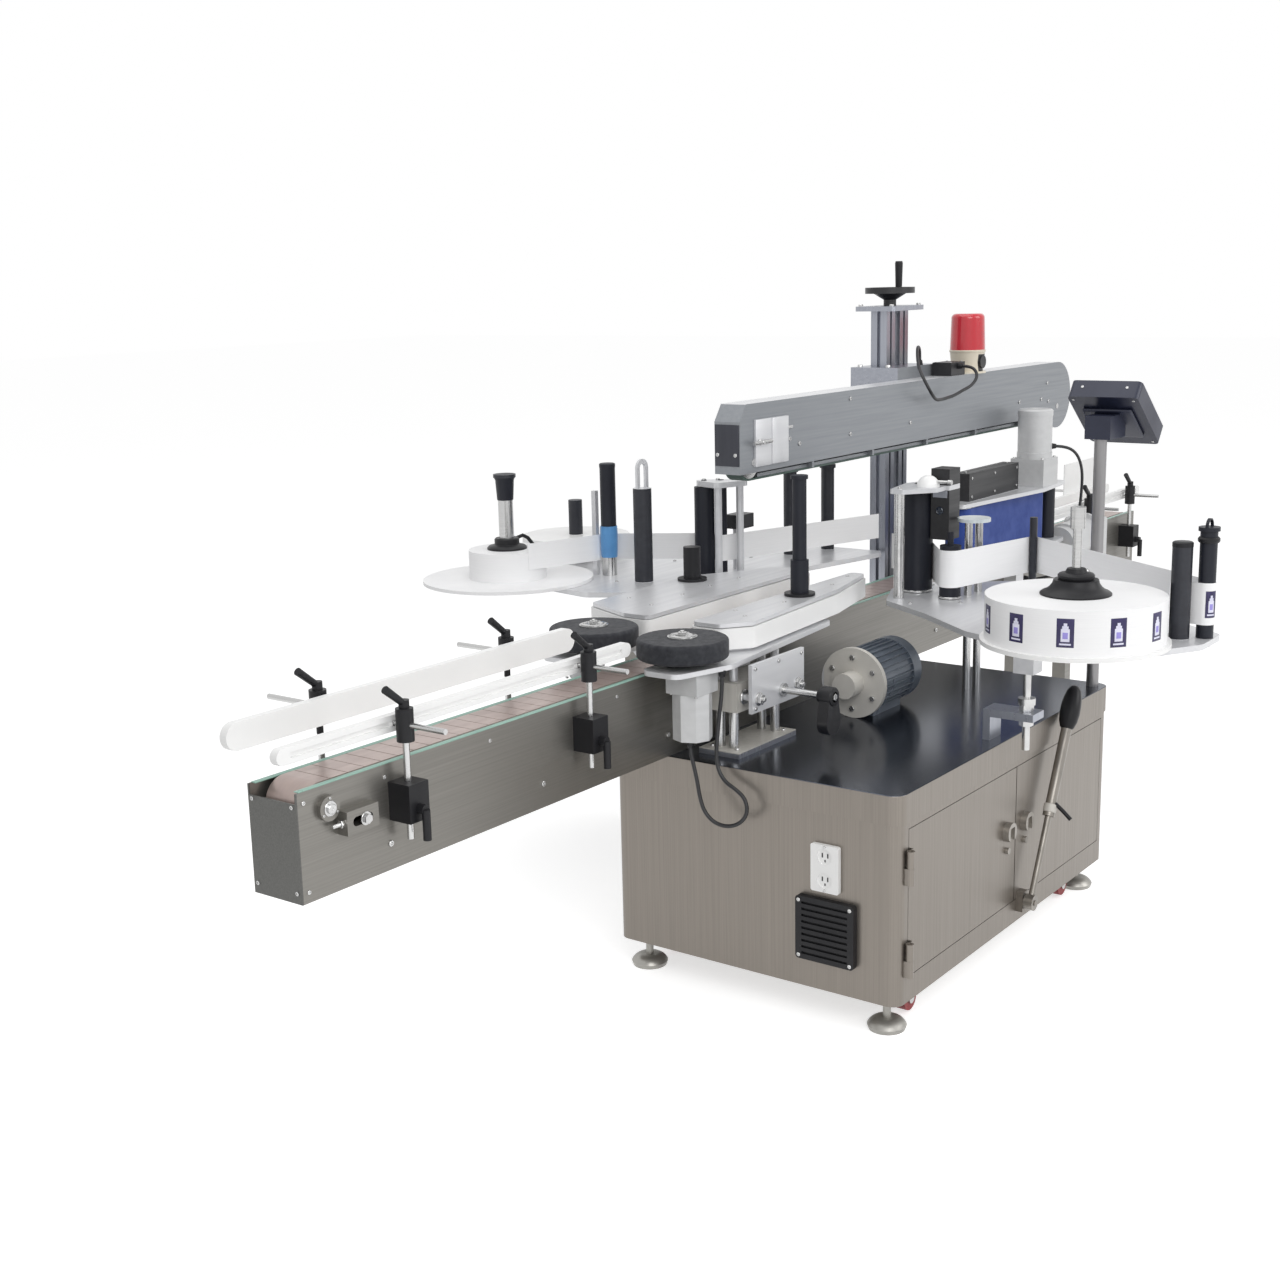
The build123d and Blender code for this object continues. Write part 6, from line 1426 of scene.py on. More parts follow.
@dataclass
class SpacingTrim(Dressing):
    """Hub caps of the soft wheels and the screws, nuts and collars round them.

    Attributes:
        wheel_x: place of both wheels along the conveyor.
        wheel_y: distance of both wheels from the middle.
        hub_top: top of their hubs.
        motor_y: middle of the motors below.
        plate_top: top of the white guide chains' cover plates.
        rod_ends: ends of the two slide rods along the conveyor.
        rod_z: height of the rods.
        plate_y: near plane of the end plate.
        plate_corners: X and Z of the end plate's screws.
        block_y: near plane of the fixed slide block.
        near_screws: X and Y of the screws in the near cover plate.
        far_screws: X and Y of the screws in the far cover plate.
    """

    wheel_x: float = -813.0
    wheel_y: float = 111.0
    hub_top: float = 751.0
    motor_y: float = 132.0
    plate_top: float = 754.0
    rod_ends: Pair = (-700.0, -550.0)
    rod_z: float = 612.0
    plate_y: float = -216.0
    plate_corners: tuple[Pair, ...] = (
        (-713.0, 594.0), (-713.0, 676.0), (-537.0, 594.0), (-537.0, 676.0), (-625.0, 676.0)
    )
    block_y: float = -180.0
    near_screws: tuple[Pair, ...] = ((-600, -120), (-430, -110), (-200, -95), (-90, -72), (-560, -70), (-300, -68))
    far_screws: tuple[Pair, ...] = ((-467, 132), (-349, 138), (-233, 136), (-600, 120), (-560, 210), (-330, 232))

    def build(self) -> None:
        """Makes all trim of the spacing unit."""
        for side, body, carrier in ((-1, Body.NEAR_WHEEL, Body.CARRIAGE), (1, Body.FAR_WHEEL, Body.MACHINE)):
            self._wheel(side, body)
            self._motor(side, carrier)
        for name, plates, body in (("near", self.near_screws, Body.CARRIAGE), ("far", self.far_screws, Body.MACHINE)):
            places = [(x, y, self.plate_top) for x, y in plates]
            self.bench.screwed(f"{name}_plate_screws", places, Facing.UP, body, radius=4.6, height=1.2)
        self._rods()
        self._slide_block()

    def _wheel(self, side: int, body: Body) -> None:
        """Makes one wheel's hub cap with its nut and three screws.

        Args:
            side: -1 for the near wheel, 1 for the far one.
            body: body of the wheel.
        """
        name = body.value
        centre = (self.wheel_x, side * self.wheel_y, self.hub_top)
        cap = self.bench.turned(
            f"{name}_hub_cap", centre, [(27, -SINK), (27, 1.6), (25, 2.4), (12, 2.4), (11, 1.8)], sides=40
        )
        nut = self.bench.nut(f"{name}_hub_nut", (centre[0], centre[1], self.hub_top + 1.6), radius=9.5, height=6.5)
        tip = self.bench.turned(
            f"{name}_stud", (centre[0], centre[1], self.hub_top + 7.6), [(4.6, 0), (4.6, 2.4), (3.8, 3.2)], sides=16
        )
        screw = self.bench.screws(
            f"{name}_hub_screws", [(centre[0] + 19, centre[1], self.hub_top + 2.2)], Facing.UP, radius=3.0, height=1.8
        )
        ring = self.bench.ring_of(screw, centre, 3)
        self.bench.bright(self.bench.joined([cap, nut, tip, ring]), body)

    def _motor(self, side: int, body: Body) -> None:
        """Makes the end cap and the corner screws of one wheel's motor.

        Args:
            side: -1 for the near motor, 1 for the far one.
            body: body that carries the motor.
        """
        name = body.value
        corners = [(self.wheel_x + a * 30, side * self.motor_y + b * 30, 640.0) for a in (-1, 1) for b in (-1, 1)]
        self.bench.screwed(f"{name}_gear_screws", corners, Facing.DOWN, body, radius=3.6, height=3.0)
        cap = self.bench.turned(
            f"{name}_motor_cap", (self.wheel_x, side * self.motor_y, 545.0),
            [(29, -0.5), (29, 1.5), (26, 3.0), (9, 3.0), (8, 2.0)], Facing.DOWN, 40,
        )
        self.bench.dress(cap, body, Finishes.MOTOR, "motor_grey")

    def _rods(self) -> None:
        """Makes the nuts on the slide rods and the screws of the near end plate."""
        group = []
        for number, x in enumerate(self.rod_ends):
            washer = self.bench.turned(
                f"rod_washer_{number}", (x, self.plate_y, self.rod_z), [(14, -SINK), (14, 1.8), (13, 2.4), (6, 2.4)],
                Facing.NEAR,
            )
            nut = self.bench.nut(
                f"rod_nut_{number}", (x, self.plate_y - 2, self.rod_z), radius=11.5, height=8.0, facing=Facing.NEAR
            )
            stub = self.bench.turned(
                f"rod_stub_{number}", (x, self.plate_y - 9, self.rod_z), [(5.2, 0), (5.2, 6), (4.2, 7)], Facing.NEAR,
                20,
            )
            group += [washer, nut, stub]
        self.bench.bright(self.bench.joined(group), Body.CARRIAGE)
        corners = [(x, self.plate_y, z) for x, z in self.plate_corners]
        self.bench.screwed("end_plate_screws", corners, Facing.NEAR, Body.CARRIAGE, radius=4.2, height=3.4)

    def _slide_block(self) -> None:
        """Makes the rod collars and the foot screws of the fixed slide block."""
        collars = []
        for number, x in enumerate(self.rod_ends):
            steps = [(15.5, -SINK), (15.5, 3.6), (14.2, 5.0), (8.8, 5.0), (8.6, 1.0)]
            collars.append(
                self.bench.turned(f"rod_collar_{number}", (x, self.block_y, self.rod_z), steps, Facing.NEAR)
            )
        self.bench.bright(self.bench.joined(collars), Body.MACHINE)
        feet = [(x, y, 502.0) for x in (-714.0, -536.0) for y in (-172.0, -112.0)]
        self.bench.screwed("slide_foot_screws", feet, Facing.UP, Body.MACHINE, radius=4.4, height=4.0)
        faces = [(x, self.block_y, z) for x in (-662.0, -588.0) for z in (592.0, 632.0)]
        self.bench.screwed("slide_block_screws", faces, Facing.NEAR, Body.MACHINE, radius=3.8, height=2.6)


@dataclass
class HandwheelTrim(Dressing):
    """Hub and bolt of the cross screw's grip.

    Attributes:
        place: middle of the hub on the grip's inner side.
    """

    place: Point = (-610.0, -311.0, 612.0)

    def build(self) -> None:
        """Makes the hub and the bolt."""
        steps = [(12, -8), (15, -6), (15, 0), (20, 1.5), (20, 25), (18, 28), (11, 29), (10.4, 26)]
        hub = self.bench.turned("grip_hub", self.place, steps, Facing.NEAR)
        self.bench.black(hub, Body.HANDWHEEL)
        x, y, z = self.place
        self.bench.bright(
            self.bench.nut("grip_bolt", (x, y - 25.5, z), radius=7.5, height=5.0, facing=Facing.NEAR), Body.HANDWHEEL
        )


@dataclass
class LeverTrim(Dressing):
    """Thick tube, collar, pin and egg grip of the transport lever, which leans toward +X at rest.

    Attributes:
        foot: the lever's pivot.
        tilt: its lean from upright, in radians.
    """

    foot: Point = (-236.0, -606.0, 112.0)
    tilt: float = math.radians(26.0)

    def build(self) -> None:
        """Makes the three sleeves on the lever's rod and the collar's pin."""
        tube = [(9, 214), (11.6, 216), (11.6, 388), (9, 390)]
        self._sleeve("lever_tube", tube, Finishes.LEVER, "dark_steel")
        collar = [(6.8, 198), (12.5, 198), (14.2, 200), (14.2, 215), (12.5, 217), (11, 217)]
        self._sleeve("lever_collar", collar, Finishes.CREAM, "cream_plastic")
        egg = [
            (11, 385), (15, 389), (19.5, 402), (21.8, 420), (21.6, 438), (19.4, 456), (15.4, 471), (9, 481),
            (0.6, 484),
        ]
        self._sleeve("lever_egg", egg, Finishes.BLACK, "black_plastic")
        pin = self.bench.wire(
            "lever_pin", [(-140.0, -616.0, 309.0), (-140.0, -634.0, 295.0), (-140.0, -652.0, 279.0)], radius=4.4
        )
        self.bench.black(pin, Body.LEVER)

    def _sleeve(self, name: str, steps: Steps, finish: Finishes, slot: str) -> None:
        """Makes one turned sleeve along the lever.

        Args:
            name: name of the sleeve.
            steps: its radii and their distances from the pivot.
            finish: its finish.
            slot: its material slot in the record.
        """
        sleeve = self.bench.turned(name, (0, 0, 0), steps)
        self.bench.dress(self.bench.settle(sleeve, self.foot, (0.0, self.tilt, 0.0)), Body.LEVER, finish, slot)


@dataclass
class Glands(Dressing):
    """Cable glands where the three leads leave and enter housings.

    Attributes:
        steps: radius and height of a gland's rings.
        sides: number of sides of a gland.
        wrap_turn: turn of the gland on the wrap motor's slanted side, in radians.
    """

    steps: tuple[Pair, ...] = ((8.0, -1.0), (8.0, 4.0), (7.2, 4.6), (7.2, 6.0), (6.6, 11.0), (5.2, 13.0), (4.2, 13.0))
    sides: int = 12
    wrap_turn: Point = (math.pi / 2, 0.0, math.radians(36.87))

    def build(self) -> None:
        """Makes all glands."""
        for name, place, turn, body in (
            ("near_motor_gland", (-836, -142, 545), Facing.DOWN.value, Body.CARRIAGE),
            ("carriage_gland", (-788, -187, 685), Facing.DOWN.value, Body.CARRIAGE),
            ("clamp_gland", (480, 42, 1206), Facing.UP.value, Body.BEAM),
            ("junction_gland", (561, -27, 1200), Facing.NEAR.value, Body.BEAM),
            ("wrap_motor_gland", (907.6, -140.8, 965), self.wrap_turn, Body.MACHINE),
            ("conveyor_gland", (940, -56, 586), Facing.NEAR.value, Body.MACHINE),
        ):
            gland = self.bench.turned(name, (0, 0, 0), list(self.steps), sides=self.sides)
            self.bench.black(self.bench.settle(gland, place, turn), body)


# ---------------------------------------------------------------- beam, panel and wrap unit


@dataclass
class BeamTrim(Dressing):
    """Screws, end plate and clamp of the hold-down beam, and the beacon's rings.

    Attributes:
        side: outer plane of the beam's near side.
        start: plane of its infeed end.
        side_screws: X and Z of the screws in both sides.
        hidden: where along X the clamp block hides the far side.
        end_plate: half width, foot, top and thickness of the plate on the end.
        clamp: corners of the clamp plate on the near side as X and Z.
        lever: X and Z of the clamp lever's stud.
        beacon: middle of the beacon as X and Y.
        block_top: top of the clamp block.
        lid: half length, half width, middle and top of the junction box's lid.
    """

    side: float = -32.0
    start: float = -479.0
    side_screws: tuple[Pair, ...] = (
        (-280, 1088), (-239, 1074), (-11, 1075), (288, 1077), (-11, 1157), (1120, 1121), (1131, 1069), (1081, 1078),
        (932, 1080),
    )
    hidden: Pair = (330.0, 565.0)
    end_plate: tuple[float, float, float, float] = (30.0, 1046.0, 1134.0, 3.0)
    clamp: tuple[float, float, float, float] = (-424.0, -296.0, 1040.0, 1141.0)
    lever: Pair = (-412.0, 1093.0)
    beacon: Pair = (669.0, 0.0)
    block_top: float = 1206.0
    lid: tuple[float, float, float, float] = (32.0, 21.0, 560.0, 1210.0)

    def build(self) -> None:
        """Makes all trim of the beam."""
        self.bench.screwed(
            "beam_side_screws", [(x, self.side, z) for x, z in self.side_screws], Facing.NEAR, Body.BEAM, radius=5.0,
            height=3.0,
        )
        start, end = self.hidden
        far = [(x, -self.side, z) for x, z in self.side_screws if not start < x < end]
        self.bench.screwed("beam_far_screws", far, Facing.FAR, Body.BEAM, radius=5.0, height=3.0)
        self._end_plate()
        self._clamp()
        self._beacon()
        bolts = [(x, y, self.block_top) for x in (362.0, 532.0) for y in (70.0, 150.0)]
        self.bench.screwed("clamp_block_bolts", bolts, Facing.UP, Body.BEAM, radius=6.5, height=6.0)

    def _end_plate(self) -> None:
        """Makes the dark plate on the infeed end with its two screws."""
        half, foot, top, thick = self.end_plate
        front = self.start - thick
        plate = self.bench.boxed("beam_end_plate", (front, -half, foot), (self.start + 0.5, half, top), edge=0.8)
        self.bench.dress(plate, Body.BEAM, Finishes.DARK_PLATE, "beam_grey")
        self.bench.screwed(
            "beam_end_screws", [(front, y, 1070.0) for y in (22.0, -23.0)], Facing.INFEED, Body.BEAM, radius=4.2,
            height=2.4,
        )

    def _clamp(self) -> None:
        """Makes the clamp plate on the near side with its lever and stub."""
        x0, x1, z0, z1 = self.clamp
        plate = self.bench.boxed("beam_clamp_plate", (x0, self.side - 6, z0), (x1, self.side + 0.5, z1), edge=1.2)
        raised = self.bench.boxed(
            "beam_clamp_step", (x0 + 62, self.side - 9, z0 + 1.5), (x1, self.side - 5, z1), edge=1.2
        )
        self.bench.dress(self.bench.joined([plate, raised]), Body.BEAM, Finishes.PLATE, "beam_grey")
        x, z = self.lever
        stud = self.bench.turned(
            "clamp_stud", (x, self.side - 6, z), [(7, -0.5), (7, 4), (4.6, 5), (4.6, 13), (3.8, 14)], Facing.NEAR, 20
        )
        bar = self.bench.wire(
            "clamp_lever", [(x - 35.0, self.side - 15, z), (x + 35.0, self.side - 15, z)], radius=4.6
        )
        stub = self.bench.wire(
            "clamp_stub", [(-312.0, self.side - 5, 1115.0), (-278.0, self.side - 5, 1115.0)], radius=4.0
        )
        self.bench.bright(self.bench.joined([stud, bar, stub]), Body.BEAM)

    def _beacon(self) -> None:
        """Makes the beacon's seat ring and lens collar."""
        x, y = self.beacon
        collar = self.bench.turned(
            "beacon_collar", (x, y, 1230.0), [(46.6, 0), (47.4, 1.2), (47.4, 5.2), (46.2, 6.4)], sides=48
        )
        self.bench.dress(collar, Body.BEAM, Finishes.BONE, "cream_plastic")
        ring = self.bench.turned("beacon_seat", (x, y, 1176.0), [(49, -SINK), (49, 3.2), (47.5, 4.6)], sides=48)
        self.bench.dress(ring, Body.BEAM, Finishes.BONE, "cream_plastic")
        long, wide, middle, top = self.lid
        lid = [(middle + a * long, b * wide, top) for b in (-1, 1) for a in (-1, 1)]
        self.bench.screwed("junction_lid_screws", lid, Facing.UP, Body.BEAM, radius=3.0, height=1.6)


@dataclass
class ColumnTrim(Dressing):
    """Bolts of the column's top plate.

    Attributes:
        top: top of the column.
        corners: X and Y of the bolts.
    """

    top: float = 1357.0
    corners: tuple[Pair, ...] = ((375, 68), (519, 68), (375, 156), (519, 156))

    def build(self) -> None:
        """Makes all bolts of the column."""
        self.bench.screwed(
            "column_top_bolts", [(x, y, self.top) for x, y in self.corners], Facing.UP, Body.MACHINE, radius=6.0,
            height=5.0,
        )


@dataclass
class PanelTrim(Dressing):
    """Screen, buttons, back box and screws of the operator panel.

    Attributes:
        centre: middle of the panel.
        tilt: its tilt about Y in degrees.
        face: distance of its face from the middle.
        screen: half width and half height of the screen.
        left: where the screen starts.
        block: first corner of the blocks on the screen as X and Y.
        pitch: distance between the blocks along X and Y.
        size: size of a block along X and Y.
        stop: middle of the red button as X and Y.
        keys: middle of the first of the two plain buttons as X and Y.
    """

    centre: Point = (300.0, -551.0, 1116.0)
    tilt: float = 37.4
    face: float = 22.0
    screen: Pair = (58.0, 66.0)
    left: float = -84.0
    block: Pair = (-76.0, -58.0)
    pitch: Pair = (36.0, 62.0)
    size: Pair = (28.0, 54.0)
    stop: Pair = (62.0, -46.0)
    keys: Pair = (62.0, 6.0)

    def build(self) -> None:
        """Makes all trim of the panel."""
        wide, high = self.screen
        glass = self.bench.boxed(
            "panel_screen", (self.left, -high, self.face - SINK), (self.left + 2 * wide, high, self.face + 1.2),
            edge=0.6,
        )
        self._fit(glass, Finishes.SCREEN, "black_plastic")
        blocks = []
        for row in range(3):
            for column in range(2):
                x, y = self.block[0] + row * self.pitch[0], self.block[1] + column * self.pitch[1]
                top = (x + self.size[0], y + self.size[1], self.face + 1.5)
                blocks.append(
                    self.bench.boxed(f"screen_block_{row}{column}", (x, y, self.face + 0.8), top, edge=0.3, steps=1)
                )
        self._fit(self.bench.joined(blocks), Finishes.SOFT_BLUE, "belt_blue")
        stop = self.bench.turned(
            "stop_button", (*self.stop, self.face),
            [(19, -SINK), (19, 2), (10, 3), (10, 12), (17, 14), (17, 20), (14, 23)],
        )
        self._fit(stop, Finishes.RED_LENS, "beacon_red")
        keys = self.bench.turned(
            "panel_buttons", (*self.keys, self.face), [(13, -SINK), (13, 2), (12, 3), (9.5, 3), (9.5, 6), (8.5, 7)]
        )
        self._fit(self.bench.copied(keys, [(0.0, 40.0, 0.0)]), Finishes.BRIGHT, "bright_steel")
        back = self.bench.boxed(
            "panel_back_box", (-52.0, -58.0, -self.face - 9), (58.0, 58.0, -self.face + 0.5), edge=6.0, steps=3
        )
        self._fit(back, Finishes.PANEL, "black_plastic")
        corners = [(x, y, -self.face) for x in (-84.0, 84.0) for y in (-70.0, 70.0)]
        self._fit(
            self.bench.screws("panel_back_screws", corners, Facing.DOWN, radius=3.2, height=1.8), Finishes.BRIGHT,
            "bright_steel",
        )
        ends = [(-96.0, y, 4.0) for y in (-52.0, 52.0)]
        self._fit(
            self.bench.screws("panel_end_screws", ends, Facing.INFEED, radius=3.4, height=1.6), Finishes.BRIGHT,
            "bright_steel",
        )

    def _fit(self, piece: Piece, finish: Finishes, slot: str) -> None:
        """Tilts a piece that was made about the origin onto the panel and dresses it.

        Args:
            piece: the piece.
            finish: its finish.
            slot: its material slot.
        """
        self.bench.settle(piece, self.centre, (0.0, math.radians(self.tilt), 0.0))
        self.bench.dress(piece, Body.PANEL, finish, slot)


@dataclass
class WrapTrim(Dressing):
    """Motor cap, cooling rings and screws of the wrap unit.

    Attributes:
        motor: middle of the motor as X and Y.
        motor_radius: its radius.
        box_top: top of its gear box.
        motor_top: top of the motor.
        gear_screw: distance of the gear box's screws from the motor's middle along X and Y.
    """

    motor: Pair = (880.0, -104.0)
    motor_radius: float = 46.0
    box_top: float = 935.0
    motor_top: float = 1064.0
    gear_screw: float = 41.0

    def build(self) -> None:
        """Makes all trim of the wrap unit."""
        x, y = self.motor
        radius = self.motor_radius
        cap = self.bench.turned(
            "wrap_motor_cap", (x, y, self.motor_top),
            [(radius + 1.4, -14), (radius + 1.4, 0), (radius - 3, 4), (12, 5), (11, 4)], sides=48,
        )
        band = self.bench.turned(
            "wrap_motor_band", (x, y, self.box_top), [(radius + 1.4, -SINK), (radius + 1.4, 16), (radius - 1, 17.5)],
            sides=48,
        )
        self.bench.dress(self.bench.joined([cap, band]), Body.MACHINE, Finishes.MOTOR, "motor_grey")
        corners = [(x + a * self.gear_screw, y + b * self.gear_screw, self.box_top) for a in (-1, 1) for b in (-1, 1)]
        self.bench.screwed("wrap_gear_screws", corners, Facing.UP, Body.MACHINE, radius=4.0, height=3.6)
        housing = [(hole_x, -103.0, z) for hole_x in (494.0, 630.0, 766.0) for z in (872.0, 920.0)]
        self.bench.screwed("wrap_housing_screws", housing, Facing.NEAR, Body.MACHINE, radius=3.6, height=2.4)
        top = [(hole_x, -80.0, 932.0) for hole_x in (505.0, 755.0)]
        self.bench.screwed("wrap_lid_screws", top, Facing.UP, Body.MACHINE, radius=4.0, height=3.0)


# ---------------------------------------------------------------- label heads


@dataclass
class LabelRing(Dressing):
    """Generic labels round a roll: a dark field with a pale rounded form.

    Attributes:
        centre: middle of the roll as X and Y.
        radius: radius of the paper.
        count: number of labels round it.
        first: angle of the first label in degrees.
        middle_z: height of the labels' middle.
        width: width of a label.
        height: height of a label.
    """

    centre: Pair
    radius: float
    count: int
    first: float
    middle_z: float
    width: float = 33.0
    height: float = 56.0

    def build(self, body: Body) -> None:
        """Makes the labels on one body.

        Args:
            body: body that they turn with.
        """
        self._layer(body, "dark", Finishes.LABEL_DARK, 0.2, ((0.0, 1.0, -0.5, 0.5),))
        pale = ((0.0, 0.5, -0.3, 0.14), (0.0, 0.36, 0.14, 0.24), (0.0, 0.2, 0.24, 0.34), (0.0, 0.66, -0.42, -0.36))
        self._layer(body, "pale", Finishes.LABEL_PALE, 0.28, pale)
        self._layer(body, "violet", Finishes.LABEL_VIOLET, 0.34, ((0.0, 0.3, -0.2, 0.02),))

    def _layer(
        self, body: Body, name: str, finish: Finishes, proud: float,
        patches: tuple[tuple[float, float, float, float], ...],
    ) -> None:
        """Makes one colour of all labels.

        Args:
            body: body that they turn with.
            name: name of the layer.
            finish: its finish.
            proud: how far it stands off the paper.
            patches: shift, width, foot and top of each patch as parts of the label.
        """
        group = []
        for number, (shift, wide, foot, top) in enumerate(patches):
            outline = self._arc(shift * self.width, wide * self.width, proud)
            low, high = self.middle_z + foot * self.height, self.middle_z + top * self.height
            group.append(self.bench.plate(f"{body.value}_label_{name}_{number}", outline, low, high, 0.05))
        piece = self.bench.ring_of(self.bench.joined(group), (*self.centre, 0.0), self.count)
        self.bench.dress(piece, body, finish, "paper_white")

    def _arc(self, shift: float, width: float, proud: float, parts: int = 6) -> Steps:
        """Gives the outline of a thin patch bent round the roll.

        Args:
            shift: distance of the patch from the label's middle.
            width: width of the patch.
            proud: how far its outer side stands off the paper.
            parts: number of steps round it.

        Returns:
            The corners as X and Y.
        """
        start = math.radians(self.first) + (shift - width / 2) / self.radius
        angles = [start + width / self.radius * step / parts for step in range(parts + 1)]
        x, y = self.centre
        outer = [(x + (self.radius + proud) * math.cos(a), y + (self.radius + proud) * math.sin(a)) for a in angles]
        inner = [
            (x + (self.radius - 0.4) * math.cos(a), y + (self.radius - 0.4) * math.sin(a))
            for a in reversed(angles)
        ]
        return outer + inner


@dataclass
class NearHeadTrim(Dressing):
    """Labels, stepped cone, caps and screws of the near label head.

    Attributes:
        roll: middle of the label roll as X and Y.
        roll_radius: radius of the wound paper.
        label_z: height of the labels' middle.
        rewind: middle of the rewind roller as X and Y.
        cone_top: top of the black cone.
        deck: top of the deck.
        deck_screws: X and Y of its screws.
        bridge: top of the bridge.
        bridge_screws: X and Y of its screws.
    """

    roll: Pair = (-322.0, -720.0)
    roll_radius: float = 177.0
    label_z: float = 768.0
    rewind: Pair = (-145.0, -921.0)
    cone_top: float = 841.0
    deck: float = 712.0
    deck_screws: tuple[Pair, ...] = ((-120, -250), (110, -190), (150, -330), (-60, -345), (-20, -430), (-230, -500))
    bridge: float = 963.0
    bridge_screws: tuple[Pair, ...] = ((-78, -199), (26, -190), (62, -214))

    def build(self) -> None:
        """Makes all trim of the near head."""
        LabelRing(self.bench, self.roll, self.roll_radius, 11, 262.0, self.label_z).build(Body.NEAR_ROLL)
        LabelRing(self.bench, self.rewind, 18.4, 1, 232.0, 782.0, 24.0, 54.0).build(Body.NEAR_HEAD)
        self._cone()
        self._caps()
        deck = [(x, y, self.deck) for x, y in self.deck_screws]
        self.bench.screwed("near_deck_screws", deck, Facing.UP, Body.NEAR_HEAD, radius=4.4, height=2.4)
        bridge = [(x, y, self.bridge) for x, y in self.bridge_screws]
        self.bench.screwed("near_bridge_screws", bridge, Facing.UP, Body.NEAR_HEAD, radius=5.0, height=4.0)

    def _cone(self) -> None:
        """Makes the stepped rings and the clamp knob on the roll's cone."""
        x, y = self.roll
        skirt = self.bench.turned(
            "roll_cone_skirt", (x, y, 811.0), [(70, -SINK), (70, 3), (66, 6), (60, 8), (52, 14), (46, 22), (44, 30)],
            sides=48,
        )
        collar = self.bench.turned(
            "roll_cone_collar", (x, y, self.cone_top),
            [(34, -SINK), (36, 4), (36, 9), (33, 12), (22, 14), (18, 22), (10, 24)], sides=48,
        )
        self.bench.black(self.bench.joined([skirt, collar]), Body.NEAR_ROLL)
        knob = self.bench.turned(
            "roll_clamp_knob", (x + 34, y, self.cone_top + 6), [(3.4, 0), (3.4, 12), (6.5, 14), (6.5, 22), (5, 24)],
            Facing.EXIT, 16,
        )
        self.bench.bright(knob, Body.NEAR_ROLL)

    def _caps(self) -> None:
        """Makes the caps on the posts and rollers and the details of the sensor."""
        guide = self.bench.turned(
            "near_guide_cap", (-176.0, -880.0, 904.0), [(20.6, -6), (20.6, 2), (18, 4), (6, 4.5)]
        )
        self.bench.black(guide, Body.NEAR_HEAD)
        rewind = self.bench.turned(
            "rewind_collar", (*self.rewind, 905.0), [(19.5, 0), (21.5, 3), (21.5, 8), (19, 11)]
        )
        self.bench.black(rewind, Body.NEAR_REWIND)
        for name, x, y, radius, low, body in (
            ("near_traction_end", 26.0, -190.0, 34.0, 714.0, Body.NEAR_TRACTION),
            ("near_nip_end", -21.0, -299.0, 22.0, 714.0, Body.NEAR_NIP),
        ):
            disc = self.bench.turned(
                name, (x, y, low), [(radius + 4, -0.5), (radius + 4, 3), (radius + 3, 4), (radius - 4, 4)], sides=40
            )
            self.bench.bright(disc, body)
        lens = self.bench.turned(
            "sensor_lens", (17.0, -252.0, 905.0), [(9, -SINK), (9, 3), (7.5, 4), (6, 2.5)], Facing.INFEED
        )
        self.bench.dress(lens, Body.NEAR_HEAD, Finishes.SCREEN, "black_plastic")
        plate = self.bench.boxed(
            "sensor_label_plate", (16.2, -270.0, 935.0), (17.5, -234.0, 951.0), edge=0.4, steps=1
        )
        self.bench.dress(plate, Body.NEAR_HEAD, Finishes.ALUMINIUM, "bare_aluminium")
        dome = self.bench.turned(
            "bridge_stud", (-11.0, -262.0, 975.0), [(4, 0), (4, 22), (6, 24), (6, 32), (5, 33)], Facing.NEAR, 16
        )
        self.bench.bright(dome, Body.NEAR_HEAD)


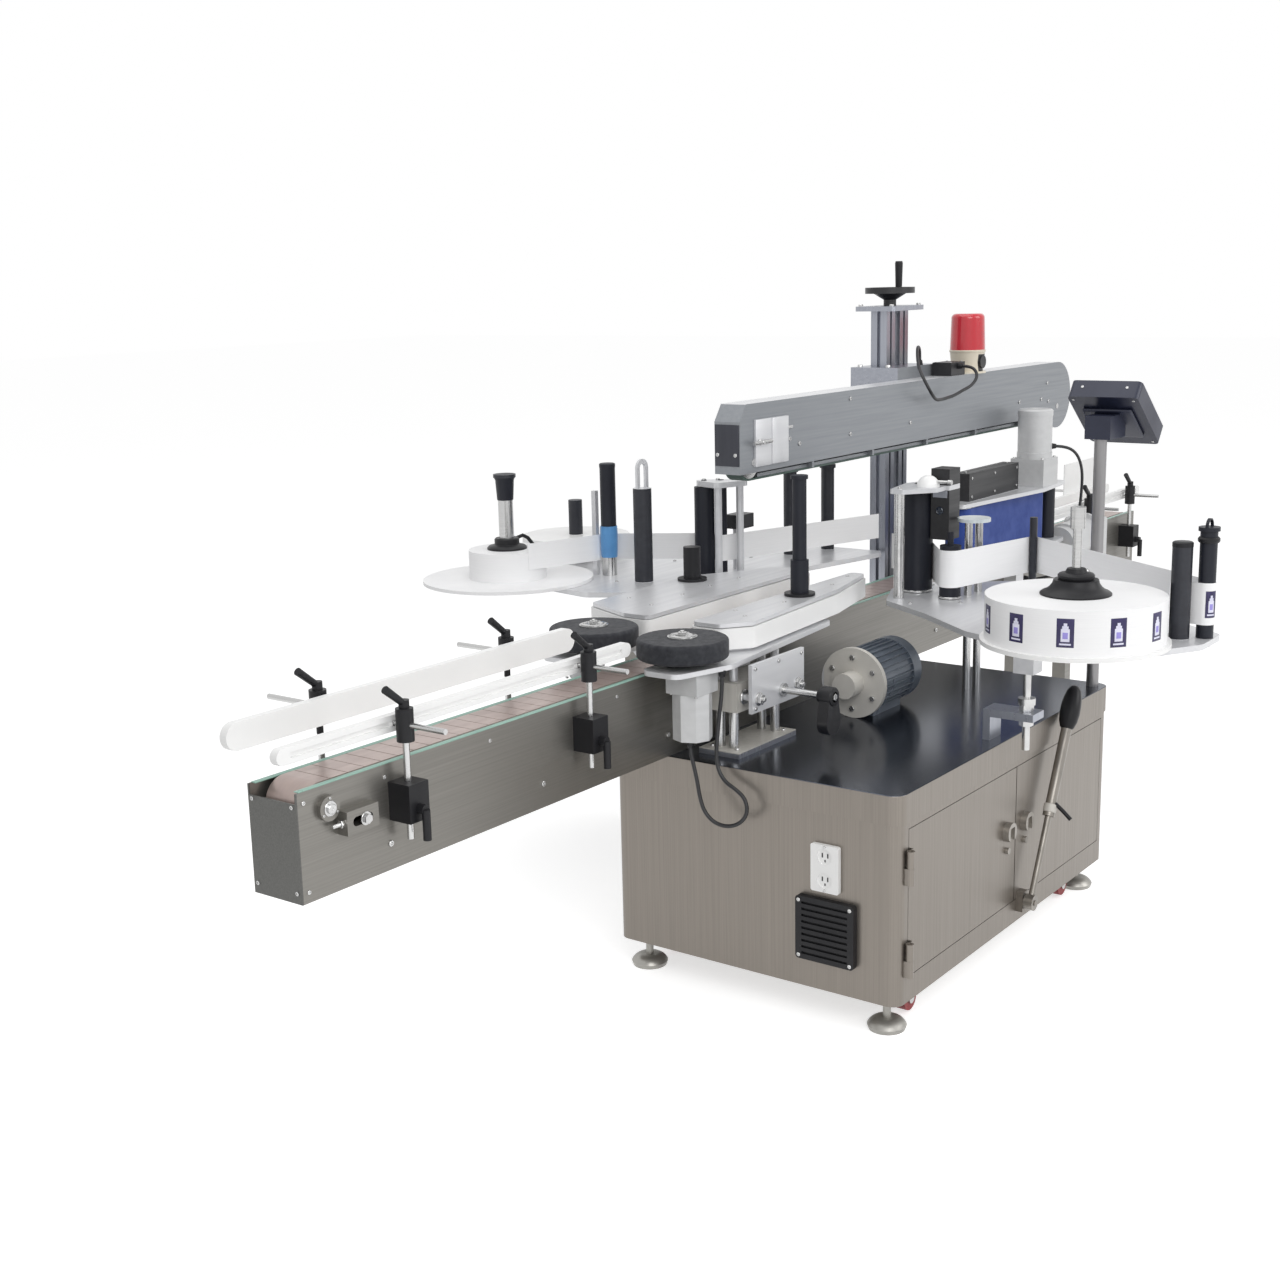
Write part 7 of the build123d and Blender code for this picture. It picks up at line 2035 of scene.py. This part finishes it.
@dataclass
class FarHeadTrim(Dressing):
    """Tape, sleeve, collar, caps and screws of the far label head.

    Attributes:
        roll: middle of the label roll as X and Y.
        core_top: top of the white core.
        tape_post: middle of the taped post as X and Y.
        deck: top of the deck.
        deck_screws: X and Y of its screws.
        bridge: top of the bridge.
        bridge_screws: X and Y of its screws.
        caps: name and X and Y of the caps on the guide rollers.
        cap_foot: foot of the caps.
    """

    roll: Pair = (-440.0, 665.0)
    core_top: float = 812.0
    tape_post: Pair = (-262.0, 492.0)
    deck: float = 735.0
    deck_screws: tuple[Pair, ...] = ((-190, 300), (-60, 360), (120, 330), (-200, 430), (-330, 420), (-20, 470))
    bridge: float = 965.0
    bridge_screws: tuple[Pair, ...] = ((-150, 287), (-128, 262))
    caps: tuple[tuple[str, float, float], ...] = (("first_far_cap", 213.0, 269.0), ("second_far_cap", 334.0, 229.0))
    cap_foot: float = 948.0

    def build(self) -> None:
        """Makes all trim of the far head."""
        x, y = self.tape_post
        tape = self.bench.turned("post_tape", (x, y, 780.0), [(19.4, 0), (20.4, 18), (21.4, 60), (20.6, 76)])
        self.bench.dress(tape, Body.MACHINE, Finishes.TAPE, "belt_blue")
        sleeve = self.bench.turned(
            "post_sleeve", (x, y, 856.0), [(18.8, 0), (18.8, 140), (19.6, 144), (19.6, 150), (17, 152)]
        )
        self.bench.dress(sleeve, Body.MACHINE, Finishes.RUBBER, "roller_black")
        self._collar()
        deck = [(x, y, self.deck) for x, y in self.deck_screws]
        self.bench.screwed("far_deck_screws", deck, Facing.UP, Body.MACHINE, radius=4.4, height=2.4)
        bridge = [(x, y, self.bridge) for x, y in self.bridge_screws]
        self.bench.screwed("far_bridge_screws", bridge, Facing.UP, Body.MACHINE, radius=5.0, height=4.0)
        for name, x, y in self.caps:
            cap = self.bench.turned(name, (x, y, self.cap_foot), [(18, 0), (20.5, 3), (20.5, 9), (17, 11)])
            self.bench.black(cap, Body.MACHINE)

    def _collar(self) -> None:
        """Makes the black collar, its clamp lever and the sleeve on the roll's spindle."""
        x, y = self.roll
        collar = self.bench.turned(
            "far_roll_collar", (x, y, self.core_top),
            [(48, -SINK), (48, 4), (44, 8), (32, 10), (30, 12), (30, 24), (27, 27), (20, 27)], sides=48,
        )
        lever = self.bench.wire(
            "far_clamp_lever",
            [(x + 26, y, 832.0), (x + 52, y - 6, 838.0), (x + 66, y - 10, 830.0), (x + 84, y - 16, 806.0)],
            radius=4.6,
        )
        self.bench.black(self.bench.joined([collar, lever]), Body.FAR_ROLL)
        sleeve = self.bench.turned(
            "far_spindle_sleeve", (x, y, 930.0), [(19.0, 0), (19.6, 2), (22.5, 48), (25.5, 54), (25.5, 60), (23, 62)]
        )
        self.bench.dress(sleeve, Body.FAR_ROLL, Finishes.RUBBER, "roller_black")


# ---------------------------------------------------------------- the whole machine

PARTS = (
    Cords, Carried, CabinetTrim, ConveyorTrim, TableMotor, SpacingTrim, HandwheelTrim, LeverTrim, Glands, BeamTrim,
    ColumnTrim, PanelTrim, WrapTrim, NearHeadTrim, FarHeadTrim,
)


def main() -> None:
    logging.basicConfig(level=logging.INFO, format="%(message)s")
    Studio().build()
    bench = Bench(Palette())
    for part in PARTS:
        part(bench).build()
        log.info("finished %s", part.__name__)
    log.info("made %d pieces", bench.count)


if __name__ == "__main__":
    main()
